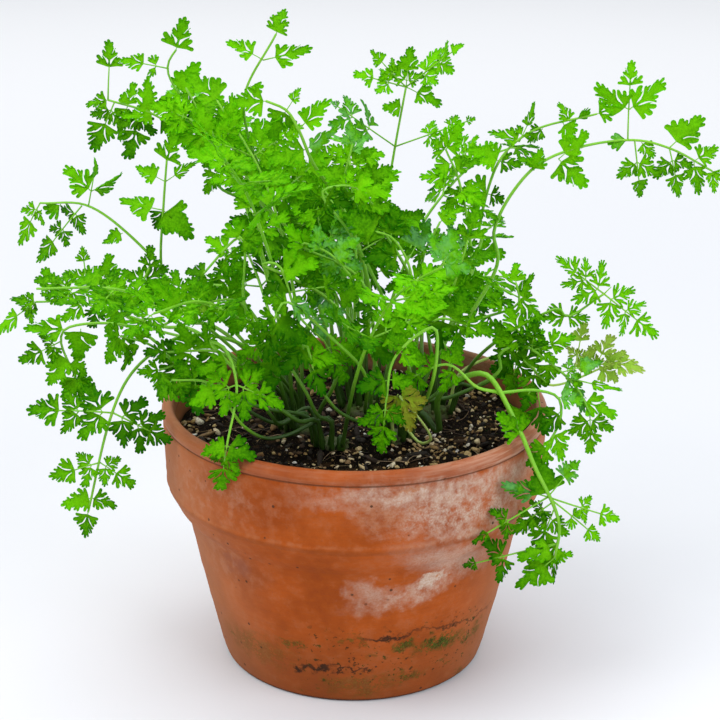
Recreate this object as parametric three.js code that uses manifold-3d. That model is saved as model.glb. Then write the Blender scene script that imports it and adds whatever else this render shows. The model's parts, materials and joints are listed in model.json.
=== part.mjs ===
// Potted chervil: a terracotta pot, its potting soil, five root crowns and the
// leaf fronds that rise from them.  Millimetres, +Z up, origin at the centre of
// the pot's foot, on the surface it stands on.
import * as THREE from 'three';
import { mergeVertices } from 'three/addons/utils/BufferGeometryUtils.js';
import Module from 'manifold-3d';

// ---- driving dimensions -------------------------------------------------
const RIM_R = 80;            // outer radius at the top of the rim band
const POT_H = 111.8;         // height to the top of the lip
const RIM_BAND_BOTTOM = 78.7;// lower edge of the rim band
const FOOT_R = 55;           // outer radius at the foot
const DRAIN_R = 9;           // drain hole radius
const FLOOR_T = 8;           // thickness of the pot's floor
const SOIL_Z = 97.6;         // soil level at the wall
const SOIL_RISE = 2.0;       // how much the soil is heaped in the middle
const GAP = 0.35;            // clearance between touching pieces
const CROWNS = [[-24, -6], [16, -16], [2, 16], [34, 12], [-9, -25]];
const CROWN_TOP = 101.5;     // crowns stand slightly proud of the soil
const LEAF_T = 0.8;          // thickness of the leaf plates
const PETIOLULE_R = 0.5;     // half width of a leaf plate where it joins its stalk
const ROOT = -0.7;           // a leaf plate starts this far back, inside its stalk
const STALK_SIDES = 3;
const HUB_SIDES = 6;            // a shoot's short common base
const POT_SEGMENTS = 40;
const MERGE_TOL = 0.07;         // slivers thinner than this are merged away

// ---- materials ------------------------------------------------------------
const terracotta = new THREE.MeshStandardMaterial({ color: 0xb05a32, roughness: 0.85, metalness: 0 });
const earth = new THREE.MeshStandardMaterial({ color: 0x1c140e, roughness: 0.95, metalness: 0 });
const crownGreen = new THREE.MeshStandardMaterial({ color: 0x6f9a3c, roughness: 0.6, metalness: 0 });
const leafGreen = new THREE.MeshStandardMaterial({ color: 0x4fa61e, roughness: 0.55, metalness: 0 });

// ---- solid helpers ----------------------------------------------------------
const wasm = await Module();
wasm.setup();

function toSolid(geometry) {
  const g = geometry.clone();
  for (const name of Object.keys(g.attributes)) if (name !== 'position') g.deleteAttribute(name);
  const m = mergeVertices(g, 1e-4);
  return new wasm.Manifold(new wasm.Mesh({
    numProp: 3,
    vertProperties: new Float32Array(m.attributes.position.array),
    triVerts: new Uint32Array(m.index.array),
  }));
}

function toGeometry(solid) {
  const mesh = solid.getMesh();
  const n = mesh.numProp;
  const count = mesh.vertProperties.length / n;
  const pos = new Float32Array(count * 3);
  for (let i = 0; i < count; i++) for (let k = 0; k < 3; k++) pos[i * 3 + k] = mesh.vertProperties[i * n + k];
  const g = new THREE.BufferGeometry();
  g.setAttribute('position', new THREE.BufferAttribute(pos, 3));
  g.setIndex(new THREE.BufferAttribute(new Uint32Array(mesh.triVerts), 1));
  g.computeVertexNormals();
  return g;
}

// A turned solid about +Z from a closed [radius, height] outline.
function turned(outline, segments) {
  const pts = outline.map(([r, z]) => new THREE.Vector2(r, z));
  if (outline[0][0] > 1e-6) pts.push(pts[0].clone());
  const g = new THREE.LatheGeometry(pts, segments);
  g.rotateX(Math.PI / 2);
  return g;
}

function indexed(points, faces) {
  let volume = 0;
  const a = new THREE.Vector3(), b = new THREE.Vector3(), c = new THREE.Vector3();
  for (const f of faces) {
    a.copy(points[f[0]]); b.copy(points[f[1]]); c.copy(points[f[2]]);
    volume += a.dot(b.cross(c));
  }
  const g = new THREE.BufferGeometry().setFromPoints(points);
  g.setIndex(faces.flatMap((f) => (volume < 0 ? [f[0], f[2], f[1]] : f)));
  return g;
}

// A tapered stalk through a run of points, with a few flat sides.
function stalk(points, r0, r1, sides) {
  const n = points.length;
  const along = [0];
  for (let i = 1; i < n; i++) along.push(along[i - 1] + points[i].distanceTo(points[i - 1]));
  const verts = [], faces = [];
  let side = null;
  for (let i = 0; i < n; i++) {
    const t = points[Math.min(i + 1, n - 1)].clone().sub(points[Math.max(i - 1, 0)]).normalize();
    if (!side) side = new THREE.Vector3().crossVectors(t, Math.abs(t.x) < 0.8 ? new THREE.Vector3(1, 0, 0) : new THREE.Vector3(0, 1, 0)).normalize();
    side.addScaledVector(t, -side.dot(t)).normalize();
    const other = new THREE.Vector3().crossVectors(t, side);
    const r = r0 + (r1 - r0) * along[i] / along[n - 1];
    for (let k = 0; k < sides; k++) {
      const a = 2 * Math.PI * k / sides;
      verts.push(points[i].clone().addScaledVector(side, r * Math.cos(a)).addScaledVector(other, r * Math.sin(a)));
    }
  }
  const m = sides;
  for (let i = 0; i < n - 1; i++) for (let k = 0; k < m; k++) {
    const a = i * m + k, b = i * m + (k + 1) % m;
    faces.push([a, b, b + m], [a, b + m, a + m]);
  }
  for (let k = 1; k < m - 1; k++) {
    faces.push([0, k + 1, k]);
    faces.push([(n - 1) * m, (n - 1) * m + k, (n - 1) * m + k + 1]);
  }
  return indexed(verts, faces);
}

// A leaflet group as one flat plate: a short stalk that widens to the blade.
// petiole is the share of the length that is bare stalk; kind is how many
// leaflets the plate stands for (0 is a bare stub, 1 a single leaflet).
function plate(base, tip, normal, width, petiole, kind) {
  const d = tip.clone().sub(base);
  const L = d.length();
  d.divideScalar(L);
  const n = normal.clone().addScaledVector(d, -normal.dot(d)).normalize();
  const v = new THREE.Vector3().crossVectors(n, d);
  const h = PETIOLULE_R, W = width / 2, q = (1 - petiole) * L, o = petiole * L;
  let half;
  if (kind === 0) half = [[ROOT, h], [L, h]];
  else if (petiole >= 0.2) half = [[ROOT, h], [o, h], [o + 0.45 * q, W * 0.95]];
  else if (kind <= 3) half = [[ROOT, h], [o + 0.45 * q, W]];
  else half = [[ROOT, h], [o + 0.3 * q, W * 0.95], [o + 0.72 * q, W * 0.8]];
  const outline = half.slice();
  if (kind !== 0) outline.push([L, 0]);
  for (const [x, y] of half.slice().reverse()) outline.push([x, -y]);
  const m = outline.length, verts = [], faces = [];
  for (const s of [1, -1]) for (const [x, y] of outline) {
    verts.push(base.clone().addScaledVector(d, x).addScaledVector(v, y).addScaledVector(n, s * LEAF_T / 2));
  }
  for (let i = 1; i < m - 1; i++) faces.push([0, i + 1, i], [m, m + i, m + i + 1]);
  for (let i = 0; i < m; i++) { const j = (i + 1) % m; faces.push([i, j, m + j], [i, m + j, m + i]); }
  return indexed(verts, faces);
}

// ---- the fronds ---------------------------------------------------------------
// Each row: name, stalks, leaf plates.
// A stalk is [base radius, tip radius, x, y, z, x, y, z, ...].
// A plate is [base x, y, z, tip x, y, z, normal x, y, z, width, bare share,
// leaflets, twist of the leaflets in degrees, flags (1 finely cut, 2 pale, 4 at
// the stalk's end)].
const FRONDS = [
  ['frond_front_left_drooping', [[1.1,0.5,-30.3,-9.6,101.8,-37.1,-16.2,130,-42,-20,140,-54.8,-23.5,146.6,-69.1,-26.9,147.4,-81.6,-30.6,140.4,-89.5,-34.2,132.4,-96.5,-38.5,116.6,-105.9,-45,79.5]], [
    [-95.3,-37.8,119.2,-129.4,-39.3,121.2,0.072,-0.77,0.634,19.8,0.08,5,0,0],
    [-95.3,-37.8,119.2,-72.4,-37.9,107,0.19,-0.913,0.362,18.2,0.08,5,0,0],
    [-100.8,-41.5,99.5,-121.6,-42.7,93.2,-0.159,-0.737,0.657,13.5,0.08,3,0,0],
    [-100.8,-41.5,99.5,-86.8,-41.9,89.2,0.364,-0.769,0.526,12.7,0.08,3,0,0],
    [-104.4,-44,85.2,-117.4,-42.6,81.5,-0.227,-0.855,0.467,8.8,0.08,1,0,0],
    [-104.4,-44,85.2,-94.5,-43,81.4,0.304,-0.749,0.589,8.8,0.08,1,0,0],
    [-105.9,-45,79.5,-107.8,-46.3,68.3,-0.059,-0.991,0.122,11.2,0.08,1,0,4]]],
  ['frond_left_outer', [[1.23,0.5,-31.3,-6,101.8,-34.3,-6.1,113.4,-41,-4.9,123.2,-67.6,-0.1,141.8,-78.4,4.1,141,-115.7,11.9,148.9,-133,16,147.5]], [
    [-121.4,13.3,148.4,-128.7,12.3,163.4,0.252,-0.966,0.062,11.6,0.08,3,0,0],
    [-133,16,147.5,-143.7,15.7,149.3,0.103,-0.864,0.492,8.3,0.08,1,0,0],
    [-133,16,147.5,-151.7,17.8,133.5,-0.282,-0.924,0.258,10,0.08,3,0,4],
    [-133,16,147.5,-139.8,20.9,138.3,-0.603,-0.798,0.019,5,0.08,1,0,0],
    [-109.9,10.7,147.7,-112.1,11,173.4,0.098,-0.995,0.021,14.9,0.35,5,0,0],
    [-104.2,9.5,146.5,-100.3,7.7,171,-0.012,-0.997,-0.073,14.9,0.2,3,0,0],
    [-112.8,11.3,148.3,-122.1,13,139.8,-0.425,-0.855,0.296,9.1,0.08,1,0,0],
    [-107.1,10.1,147.1,-109.3,9.7,137.5,-0.015,-0.999,0.04,10.8,0.08,3,0,0]]],
  ['frond_left_dark', [[1.1,0.5,-27.5,-7.1,101.8,-30,-8,116.1,-42.4,-12.2,127.8,-62.5,-11.9,140.2,-79.3,-7.7,143.4,-92.7,-8,149.4,-95.7,-8,153.9]], [
    [-94.2,-8,151.7,-103.9,-8.2,161.5,0.253,-0.939,0.234,12.1,0.08,3,0,0],
    [-94.2,-8,151.7,-89,-1.6,159.5,-0.006,-0.772,0.636,12.1,0.08,3,0,0],
    [-94.2,-8,151.7,-101.8,-8.3,142,-0.226,-0.951,0.21,8.9,0.08,1,0,0],
    [-95.7,-8,153.9,-96.1,-13.4,169.9,0.149,-0.938,-0.312,12.1,0.08,3,0,4]]],
  ['frond_left_up', [[1.1,0.5,-30.3,-2.4,101.8,-32.9,-0.9,113.4,-39.4,3.6,126.1,-58,10.6,143.9,-66.4,12.4,145.8,-84.8,14,136.2,-87.3,14.1,137.1,-88.4,14,155,-85.2,14,163.2]], [
    [-88.2,14,152,-75.9,13.8,154.7,-0.138,-0.829,0.542,10.8,0.08,3,0,0],
    [-88.2,14,152,-94.5,14.4,147.8,-0.252,-0.922,0.294,10,0.08,1,0,0],
    [-87.3,14,157.7,-77.4,14.1,164.1,-0.21,-0.914,0.346,10.8,0.08,3,0,0],
    [-87.3,14,157.7,-97.5,15.6,160.9,-0.002,-0.898,0.44,11.6,0.08,3,0,0],
    [-85.2,14,163.2,-83.6,12.7,173.1,-0.066,-0.991,-0.121,10.7,0.08,3,0,4]]],
  ['frond_left_second', [[1.1,0.5,-27.6,-12.3,101.8,-27.7,-14.1,110.7,-30.4,-16,115.5,-43.9,-21.4,119.2,-54.7,-23.4,124.2,-64.8,-24,130.7,-87.8,-24,150,-114.7,-24,149.3,-116.8,-24,144.2,-111.6,-26,130.3]], [
    [-108.7,-24,149.5,-110.6,-22.6,135.4,0.036,-0.994,-0.106,12.7,0.08,3,0,0],
    [-114.7,-24,149.3,-131.1,-22.5,148.4,-0.103,-0.745,0.659,10.3,0.08,3,0,0],
    [-116.8,-24,144.2,-133.6,-25.7,135.9,-0.181,-0.824,0.537,11.1,0.08,3,0,0],
    [-114.7,-24.8,138.6,-123,-25.8,126.3,-0.195,-0.958,0.21,11.1,0.08,3,0,0],
    [-113.7,-25.2,135.8,-106.6,-24.8,129.9,0.331,-0.884,0.33,8,0.08,1,0,0],
    [-111.6,-26,130.3,-116.4,-26.3,119.7,-0.128,-0.988,0.086,8.8,0.08,1,0,0],
    [-111.6,-26,130.3,-102.1,-24.5,123,0.565,-0.542,0.622,14.4,0.08,3,0,0],
    [-111.6,-26,130.3,-109.5,-19.1,116.5,0.035,-0.897,-0.441,9.6,0.08,3,0,4]]],
  ['frond_left_hanging', [[1.1,0.5,-15.3,-28.6,101.8,-16.3,-29.4,110.6,-19.3,-30.8,115.4,-34.6,-37.6,121.4,-45.5,-39.3,125.9,-58.8,-40.1,132.5,-79.6,-42,149.4,-90.1,-45,153.9]], [
    [-90.1,-45,153.9,-96,-46.7,143.8,-0.259,-0.915,0.309,11.6,0.08,3,0,0],
    [-90.1,-45,153.9,-86,-40.6,140.8,0.369,-0.91,-0.19,10,0.08,3,0,4],
    [-90.1,-45,153.9,-96.4,-46.1,155.9,0.29,-0.851,0.437,8.5,0.08,1,0,0],
    [-84.8,-43.5,151.6,-90.2,-45.3,139.2,-0.099,-0.977,0.188,3.9,0.08,1,0,0],
    [-84.8,-43.5,151.6,-78.9,-43.7,159.2,-0.288,-0.937,0.198,7.7,0.08,1,0,0]]],
  ['frond_upper_left_arch', [[1.14,0.5,-26.7,-3.5,101.8,-27.8,-2.6,113.7,-34.1,6.5,131.5,-49.4,11.6,153.1,-54.5,12.4,155.9,-75.1,14.5,156.3,-84.5,17.3,167.5,-110.6,23.8,186.8,-131.1,27,187.1]], [
    [-110.6,23.8,186.8,-106.1,22.7,207.5,-0.087,-0.996,-0.034,27.3,0.25,5,62,0],
    [-113.4,24.2,186.8,-133.9,25.8,161.5,-0.396,-0.879,0.267,14.1,0.08,5,0,0],
    [-122.3,25.6,187,-128.8,26.5,182.1,-0.429,-0.795,0.429,8.3,0.08,1,0,0],
    [-96.4,20.3,176.3,-105.1,20.4,172,-0.225,-0.869,0.44,6.6,0.08,1,0,0],
    [-131.1,27,187.1,-141.9,28.2,168.1,-0.242,-0.967,0.075,10,0.08,3,20,4]]],
  ['frond_vertical_left', [[1.1,0.5,-27.6,0.3,101.8,-28.7,2.9,113.5,-32.2,5.4,117.8,-60.3,17.5,137.2,-71.6,20,138.1,-77.2,20.1,145.1,-80.5,18.6,162.7,-79.1,18,186.9,-77,18,208]], [
    [-79.1,18,186.9,-97.7,19.2,190.7,0.072,-0.8,0.595,14,0.25,5,0,0],
    [-79.1,18,186.9,-82.8,18.9,177.7,-0.141,-0.989,-0.036,9,0.08,1,0,0],
    [-79.1,18,186.9,-67.2,14.1,176.2,0.134,-0.871,0.472,15.6,0.08,3,0,0],
    [-77.9,18,198.9,-89.7,18.1,205.4,0.283,-0.798,0.532,10.6,0.3,1,0,0],
    [-77.9,18,198.9,-65.2,18.3,207.6,-0.237,-0.895,0.377,4.9,0.3,1,40,0],
    [-77,18,208,-72.9,16.7,219.5,-0.194,-0.98,-0.042,11.4,0,3,0,4]]],
  ['frond_top_left_a', [[1.1,0.5,-4.3,19.6,101.8,-7.2,21.2,113.3,-13.2,29.4,147.7,-27.7,36.1,173,-38.3,38.8,183,-57.5,40.1,190.9,-65.6,42,206.6,-84.6,45.6,220.6,-104.3,50,225.8]], [
    [-104.3,50,225.8,-102.7,51.7,250.3,0,-0.998,0.07,11.8,0.55,3,0,0],
    [-104.3,50,225.8,-113.7,50.5,223.9,-0.144,-0.854,0.501,8.4,0.08,1,0,4],
    [-101.5,49.4,225.1,-111.2,47.8,203.9,-0.184,-0.97,0.158,14.3,0.08,5,0,0],
    [-95.9,48.1,223.6,-101.6,49.8,208.7,-0.389,-0.92,0.044,9.2,0.08,1,0,0],
    [-90.2,46.8,222.1,-95.9,42.7,201.8,-0.123,-0.965,0.233,13.4,0.08,5,0,0],
    [-95.9,48.1,223.6,-93.3,47.9,233.9,-0.03,-0.999,-0.018,7.5,0.08,1,0,0],
    [-87.4,46.2,221.3,-86.4,46,236,-0.041,-0.999,-0.012,9.2,0.08,3,0,0],
    [-84.6,45.6,220.6,-98.4,41.5,220.9,0.257,-0.831,0.494,9.2,0.08,1,0,0],
    [-82.2,45.2,218.9,-77.4,46.2,214.9,0.384,-0.892,0.238,8.4,0.08,1,0,0]]],
  ['frond_top_left_b', [[1.1,0.5,-1.6,22.3,101.8,-5.9,29.1,130.9,-8.7,32.7,145.3,-19,43.1,175,-26.3,46.8,183.6,-47,49.6,186,-52.1,50.3,188.8,-60.9,52.2,207.8,-79.2,57.2,234.8,-79.2,58.1,240.5,-76,58,245.5]], [
    [-76,58,245.5,-72.2,56.7,259.2,-0.189,-0.981,-0.043,19.3,0.08,3,0,4],
    [-79.2,57.7,237.7,-99.9,56.7,242.2,0.15,-0.847,0.511,8.4,0.2,3,0,0],
    [-74.2,55.8,227.4,-67.5,56,240.9,-0.184,-0.977,0.105,16.1,0.08,3,0,0],
    [-74.2,55.8,227.4,-84.1,57.2,225.2,-0.237,-0.798,0.554,7.6,0.08,1,0,0],
    [-69.2,54.5,220.1,-56.8,55,226.8,-0.248,-0.814,0.525,11,0.08,3,0,0],
    [-69.2,54.5,220.1,-79.9,55.2,216.2,-0.241,-0.833,0.499,9.3,0.08,3,0,0],
    [-64.2,53.1,212.7,-55,52,218,-0.41,-0.718,0.563,7.6,0.08,1,0,0]]],
  ['frond_top_left_c', [[1.5,0.57,-5.3,16,101.8,-8.6,16,113.4,-15.6,16,148.7,-23.7,17.2,168.1,-39.2,20.2,189.9,-46.1,22.8,202.8,-68,27,223]], [
    [-52.7,24.1,208.9,-62.6,22.8,192.6,-0.233,-0.948,0.217,14.8,0.12,3,0,0],
    [-57.1,24.9,212.9,-71.2,23.7,212.1,0.049,-0.88,0.472,13.9,0.08,3,0,0],
    [-54.9,24.5,210.9,-49,24.2,226.7,-0.277,-0.957,0.084,12.3,0.08,3,0,0],
    [-61.4,25.7,217,-63.7,25.8,229.5,0.214,-0.976,0.045,12.3,0.08,3,0,0],
    [-68,27,223,-84.2,27.1,229.5,0.194,-0.842,0.503,15.5,0.08,5,0,4],
    [-61.4,25.7,217,-76,22.5,214.4,0.092,-0.833,0.545,10.6,0.08,1,0,0]]],
  ['frond_top_centre_left', [[1.1,0.5,-0.7,18.5,101.8,-2,19.6,113.6,-3.5,25.3,146.1,-6.6,30.4,172.3,-10.1,33.3,186.5,-15.8,34.7,193.1,-36.3,35.9,196.4,-41.4,36.1,203.4,-46.3,36,229.8,-32.9,36,256.4]], [
    [-32.9,36,256.4,-29.6,35.5,266.7,-0.178,-0.984,0.014,14.7,0.08,3,0,4],
    [-38.3,36,245.7,-52.4,34.4,254.1,0.366,-0.805,0.467,9,0.3,3,0,0],
    [-38.3,36,245.7,-18.7,35.9,250.4,-0.119,-0.869,0.479,9,0.25,3,0,0],
    [-45.8,36,226.9,-55.6,37,223.8,-0.259,-0.779,0.571,11.6,0.08,3,0,0],
    [-43.7,36,235,-38.9,36.8,232.3,0.32,-0.9,0.297,6.6,0.08,1,0,0],
    [-43,36.1,212.2,-51.5,35.7,213.2,0.087,-0.886,0.455,14.1,0.08,3,0,0],
    [-43,36.1,212.2,-30.8,36.7,222.4,-0.368,-0.786,0.496,15,0.08,3,0,0]]],
  ['frond_top_centre', [[1.5,0.57,2,16,101.8,1.9,15.9,113.7,6,19.9,146.1,4.2,19.3,160.8,-6.1,13,191.3,-17.5,5.2,210.6,-23,4,224.3,-27.7,4,231.9,-35.7,4,235.5]], [
    [-35.7,4,235.5,-49.3,5.2,234.4,-0.113,-0.886,0.449,11.9,0.08,3,0,4],
    [-27.7,4,231.9,-34.4,5.2,219.6,-0.274,-0.96,0.055,11.9,0.08,3,0,0],
    [-27.7,4,231.9,-21.9,4.2,240.8,-0.35,-0.902,0.254,7.1,0.4,1,0,0],
    [-23,4,224.3,-28.3,4,221.9,-0.253,-0.8,0.544,7.1,0.08,1,0,0],
    [-23,4,224.3,-10.4,3,237.1,-0.391,-0.864,0.319,10.3,0.2,3,0,0],
    [-19.7,4.7,216.1,-6.5,4.3,224.8,-0.304,-0.856,0.418,6.4,0.08,1,0,0],
    [-19.7,4.7,216.1,-35.2,4.3,211.6,-0.161,-0.752,0.639,14.4,0.08,3,0,0]]],
  ['frond_top_mid_right', [[1.1,0.5,27.7,8.4,101.8,24.6,6.6,113.2,25.6,5.6,152.2,14.5,-1.8,179.1,-4.1,-4.1,202.4,-1.6,-4,219.9]], [
    [-1.6,-4,219.9,-2.5,-5.8,229.5,0.113,-0.979,-0.171,10.2,0.08,3,0,4],
    [-2,-4,217,4.3,-2.6,223.3,-0.264,-0.848,0.46,7.1,0.08,1,0,0],
    [-2.4,-4,214,7,-5.9,219.2,-0.41,-0.79,0.456,7.9,0.08,3,0,0],
    [-2.4,-4,214,-10.3,-4.9,220.5,0.293,-0.927,0.232,11.9,0.08,3,0,0],
    [-3.7,-4.1,205.3,-15.1,-3.2,210.4,0.137,-0.881,0.452,11.1,0.08,3,0,0],
    [-3.7,-4.1,205.3,6.3,-3.9,209,-0.183,-0.827,0.532,11.1,0.08,3,0,0],
    [-4.1,-4.1,202.4,14.3,-2.3,210.3,-0.114,-0.877,0.466,9.5,0.4,3,0,0]]],
  ['frond_far_back', [[1.14,0.52,30.4,18.3,101.8,28.8,19.4,110.5,28.4,25.2,120.8,28.1,44.1,147.6,25.7,61.3,167.9,22.4,68.8,168.9,13,79.8,153.9,11.6,81.7,152.2,10.9,83.8,153.5,15.9,91,188.1,21.9,94,223.2]], [
    [17.4,91.7,196.8,-11.6,86.6,218.3,0.51,-0.681,0.526,19.6,0.35,5,0,0],
    [17.4,91.7,196.8,53,90.1,210.3,-0.317,-0.554,0.77,13.4,0.35,3,0,0],
    [21.9,94,223.2,-1.2,89.7,230.5,0.333,-0.687,0.645,13.3,0.25,3,0,0],
    [21.9,94,223.2,5.8,92.4,239.8,0.434,-0.834,0.34,11.5,0.3,3,0,0],
    [21.9,94,223.2,23.4,94.5,241.3,-0.195,-0.98,0.045,13.3,0.1,3,0,4],
    [21.9,94,223.2,45.4,80.8,244.8,-0.733,-0.342,0.588,19.5,0.25,5,0,0],
    [21.9,94,223.2,37.8,90.4,216.4,0.08,-0.787,0.612,9.7,0.3,3,0,0],
    [20.4,93.2,214.4,11.4,93.6,213.8,-0.071,-0.879,0.472,8.9,0.08,1,0,0]]],
  ['frond_right_long', [[1.19,0.5,37.6,18.3,101.8,44,24.9,130.1,60.2,32.2,161,58.5,34.4,175,76.1,37.9,202.3,113.1,38,213,130.6,38,209.7,149.1,38,200]], [
    [113.1,38,213,112.4,36.6,245.9,0.061,-0.997,-0.042,24.2,0.32,3,0,0],
    [113.1,38,213,105.4,38.6,211.9,-0.147,-0.776,0.613,8.3,0.08,1,0,0],
    [118.9,38,211.9,124.7,39.5,205,0.378,-0.918,0.122,6.7,0.08,1,0,0],
    [116,38,212.5,119.8,36.5,188.5,0,-0.998,0.064,15,0.3,3,0,0],
    [130.6,38,209.7,143.7,37.9,223.3,-0.251,-0.939,0.236,14.2,0.2,3,0,0],
    [130.6,38,209.7,136.3,37.5,188.8,0.036,-0.999,0.035,14.2,0.2,3,0,0],
    [141.2,38,204.1,144.1,36.2,189.6,-0.017,-0.993,0.119,8.4,0.15,1,0,0],
    [141.2,38,204.1,150.7,37.3,210.8,-0.268,-0.92,0.287,9.2,0.2,1,0,0],
    [149.1,38,200,149.7,31.6,191.8,-0.07,-0.791,0.608,6.6,0.08,1,0,0],
    [149.1,38,200,152.7,38.2,197.4,0.099,-0.994,0.045,4.6,0.08,1,0,4],
    [84.6,37.9,204.7,97.1,36.7,216.1,-0.314,-0.917,0.245,10.9,0.2,3,0,0],
    [84.6,37.9,204.7,96.5,36.6,193.5,0.155,-0.948,0.277,15,0.1,3,0,0],
    [76.1,37.9,202.3,67.6,37.8,205,0.226,-0.708,0.669,10.9,0.08,3,0,0],
    [74.5,37.6,199.9,76.2,32.9,209.6,-0.119,-0.904,-0.411,8.4,0.08,1,0,0]]],
  ['frond_right_upper', [[1.1,0.5,34,19.3,101.8,34.3,23.3,116,44,30,140,52.9,40,166.5,54.3,43.3,171.1,53.2,47.9,168.4,53.2,51.4,171.1,61.3,55.9,199.2,73.9,58.1,211.3,102.3,58,219.5]], [
    [102.3,58,219.5,113.3,58.8,223.3,-0.092,-0.882,0.462,9.4,0.08,1,0,4],
    [93.8,58,217,99.3,58.7,221.9,-0.184,-0.92,0.346,5.1,0.08,1,50,0],
    [88.1,58.1,215.4,93.9,57.4,206.6,0.217,-0.952,0.216,11.1,0.08,3,0,0],
    [90.9,58,216.2,86.6,59.7,224.2,0.266,-0.905,0.333,6.8,0.08,1,0,0],
    [79.5,58.1,212.9,72.7,59.1,206.9,-0.386,-0.875,0.293,11.1,0.08,3,0,0],
    [69.7,57.4,207.3,77.1,58.6,223.9,-0.305,-0.931,0.202,6.8,0.08,1,45,0],
    [69.7,57.4,207.3,57,58.1,213.1,0.164,-0.867,0.471,9.4,0.08,3,0,0],
    [61.3,55.9,199.2,48.7,56.6,203.8,0.127,-0.868,0.479,12.8,0.08,3,0,0],
    [61.3,55.9,199.2,71,55.2,197.3,0.08,-0.736,0.673,10.3,0.08,3,0,0],
    [57.3,53.7,185.2,64,51.7,183.2,-0.02,-0.755,0.656,10.3,0.08,1,40,0],
    [57.3,53.7,185.2,41.3,54.5,186.7,0.005,-0.85,0.527,15.5,0.08,3,0,0]]],
  ['frond_right_back_low', [[1.1,0.5,34.8,15.6,101.8,36.9,21,127.9,48.2,26.4,157.8,43.1,32.2,195.7,37.3,34,209.1]], [
    [37.3,34,209.1,31.5,35.7,212.9,0.027,-0.899,0.437,10.8,0.08,1,0,0],
    [37.3,34,209.1,42.5,28.6,222.2,-0.474,-0.865,-0.166,13.3,0.08,3,0,4],
    [39.6,33.3,203.7,32.5,33.3,200.7,-0.254,-0.766,0.591,10.8,0.08,3,0,0],
    [40.8,32.9,201,51.4,32.5,205.3,-0.222,-0.859,0.462,11.6,0.08,3,0,0],
    [43.5,31.8,192.8,37.8,32.2,183,-0.413,-0.889,0.195,15,0.08,3,0,0],
    [43.5,31.8,192.8,53.1,24.3,188.3,-0.227,-0.697,0.68,11.7,0.08,3,0,0],
    [42,32.6,198.4,25.9,33.8,198,-0.074,-0.753,0.654,11.7,0.3,1,0,0]]],
  ['frond_right_fine', [[1.1,0.5,41.3,12,101.8,47.7,10.1,121.3,58.8,6.9,134.8,78.5,4.7,147.9,84,4,150,87,4,146.6,101.9,4,156.5]], [
    [101.9,4,156.5,81.8,5.8,171.6,0.168,-0.928,0.333,18,0.08,7,10,1],
    [101.9,4,156.5,125.6,3.9,138,0.26,-0.905,0.337,18,0.08,7,10,1],
    [87,4,146.6,74.5,4,145.9,-0.028,-0.87,0.493,14,0.08,5,0,1],
    [87,4,146.6,96.7,4.2,146,0.055,-0.776,0.628,9,0.08,3,0,1],
    [101.9,4,156.5,104.7,4.4,159.4,-0.342,-0.833,0.435,2,0.08,0,0,4]]],
  ['frond_pale', [[0.79,0.5,40.3,15.6,101.8,44.4,17.9,116.1,63.6,22.8,123.6,72.1,24.4,122.8,82.9,26,108.3,111,27,118.2]], [
    [102.4,26.7,115.2,109.2,25.2,131.9,-0.346,-0.937,0.054,12,0.08,3,0,2],
    [96.7,26.5,113.2,100.9,24.9,126.5,-0.411,-0.911,0.024,7.7,0.08,1,0,2],
    [93.8,26.4,112.1,97,25.2,137.2,-0.003,-0.999,-0.046,9.4,0.3,1,0,2],
    [105.3,26.8,116.2,113.8,26,109.9,0.277,-0.827,0.489,9.4,0.08,3,0,2],
    [111,27,118.2,124.6,25.5,115.6,0.046,-0.743,0.668,10.3,0.08,3,0,6],
    [108.1,26.9,117.2,115.9,27.9,123.8,-0.23,-0.881,0.414,7.7,0.08,1,0,2]]],
  ['frond_right_cluster', [[1.14,0.5,23.3,-16,101.8,27.9,-15.9,115.5,39.5,-14,117.8,55.4,-14,125.9,59.1,-14,130.3,58.3,-14,136.2,62.8,-13.9,139.5,68.7,-14.1,139.8,78.7,-15.6,133.5,89.7,-18.2,123.7,95.3,-21,113.9]], [
    [95.3,-21,113.9,96.4,-22.3,96.5,-0.049,-0.996,0.073,16.2,0.08,5,0,4],
    [92.5,-19.6,118.8,107.2,-20.4,112.9,0.15,-0.862,0.485,9.7,0.1,3,0,0],
    [85.3,-17.2,127.6,94.4,-18.6,114.2,0.386,-0.853,0.352,11.3,0.08,5,0,0],
    [83.1,-16.6,129.6,99.9,-15.3,133.8,-0.106,-0.749,0.654,8.9,0.08,3,0,0],
    [85.3,-17.2,127.6,107.9,-20,123.1,0.049,-0.711,0.702,5.7,0.08,3,0,0],
    [78.7,-15.6,133.5,77.4,-14.9,122.3,-0.106,-0.993,-0.046,12.1,0.08,3,0,0],
    [68.7,-14.1,139.8,61.1,-15.1,157.3,0.248,-0.967,0.055,13.7,0.08,5,0,0],
    [71.2,-14.5,138.2,88.9,-14.8,144.7,-0.16,-0.906,0.391,12.1,0.08,5,0,0],
    [71.2,-14.5,138.2,71.8,-22.9,153.2,-0.071,-0.872,-0.485,12.9,0.08,5,0,0],
    [62.8,-13.9,139.5,59.2,-12.2,125.5,-0.186,-0.98,-0.068,11.3,0.08,3,0,0],
    [62.8,-13.9,139.5,55.8,-14.1,150.2,0.196,-0.975,0.108,9.7,0.08,3,0,0]]],
  ['frond_right_cluster_up', [[1.1,0.5,22.3,-12.4,101.8,29.4,-8.6,124.7,42.9,-8,148.5,44.8,-8,150.9,46.2,-8,148.9,55.1,-8,150.9,66,-8,156.4,64.6,-8,164.7]], [
    [64.6,-8,164.7,64.4,-6.5,173.1,0.079,-0.981,0.176,8.8,0.08,1,0,4],
    [65.6,-8,158.8,47.9,-9.1,169.5,0.351,-0.795,0.495,7.3,0.4,3,30,1],
    [65.6,-8,158.8,71.2,-9.2,168.9,-0.257,-0.966,0.025,6.4,0.08,1,0,0],
    [60.5,-8,153.6,49.6,-8.3,155.8,0.146,-0.756,0.638,8.1,0.08,5,40,1],
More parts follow.
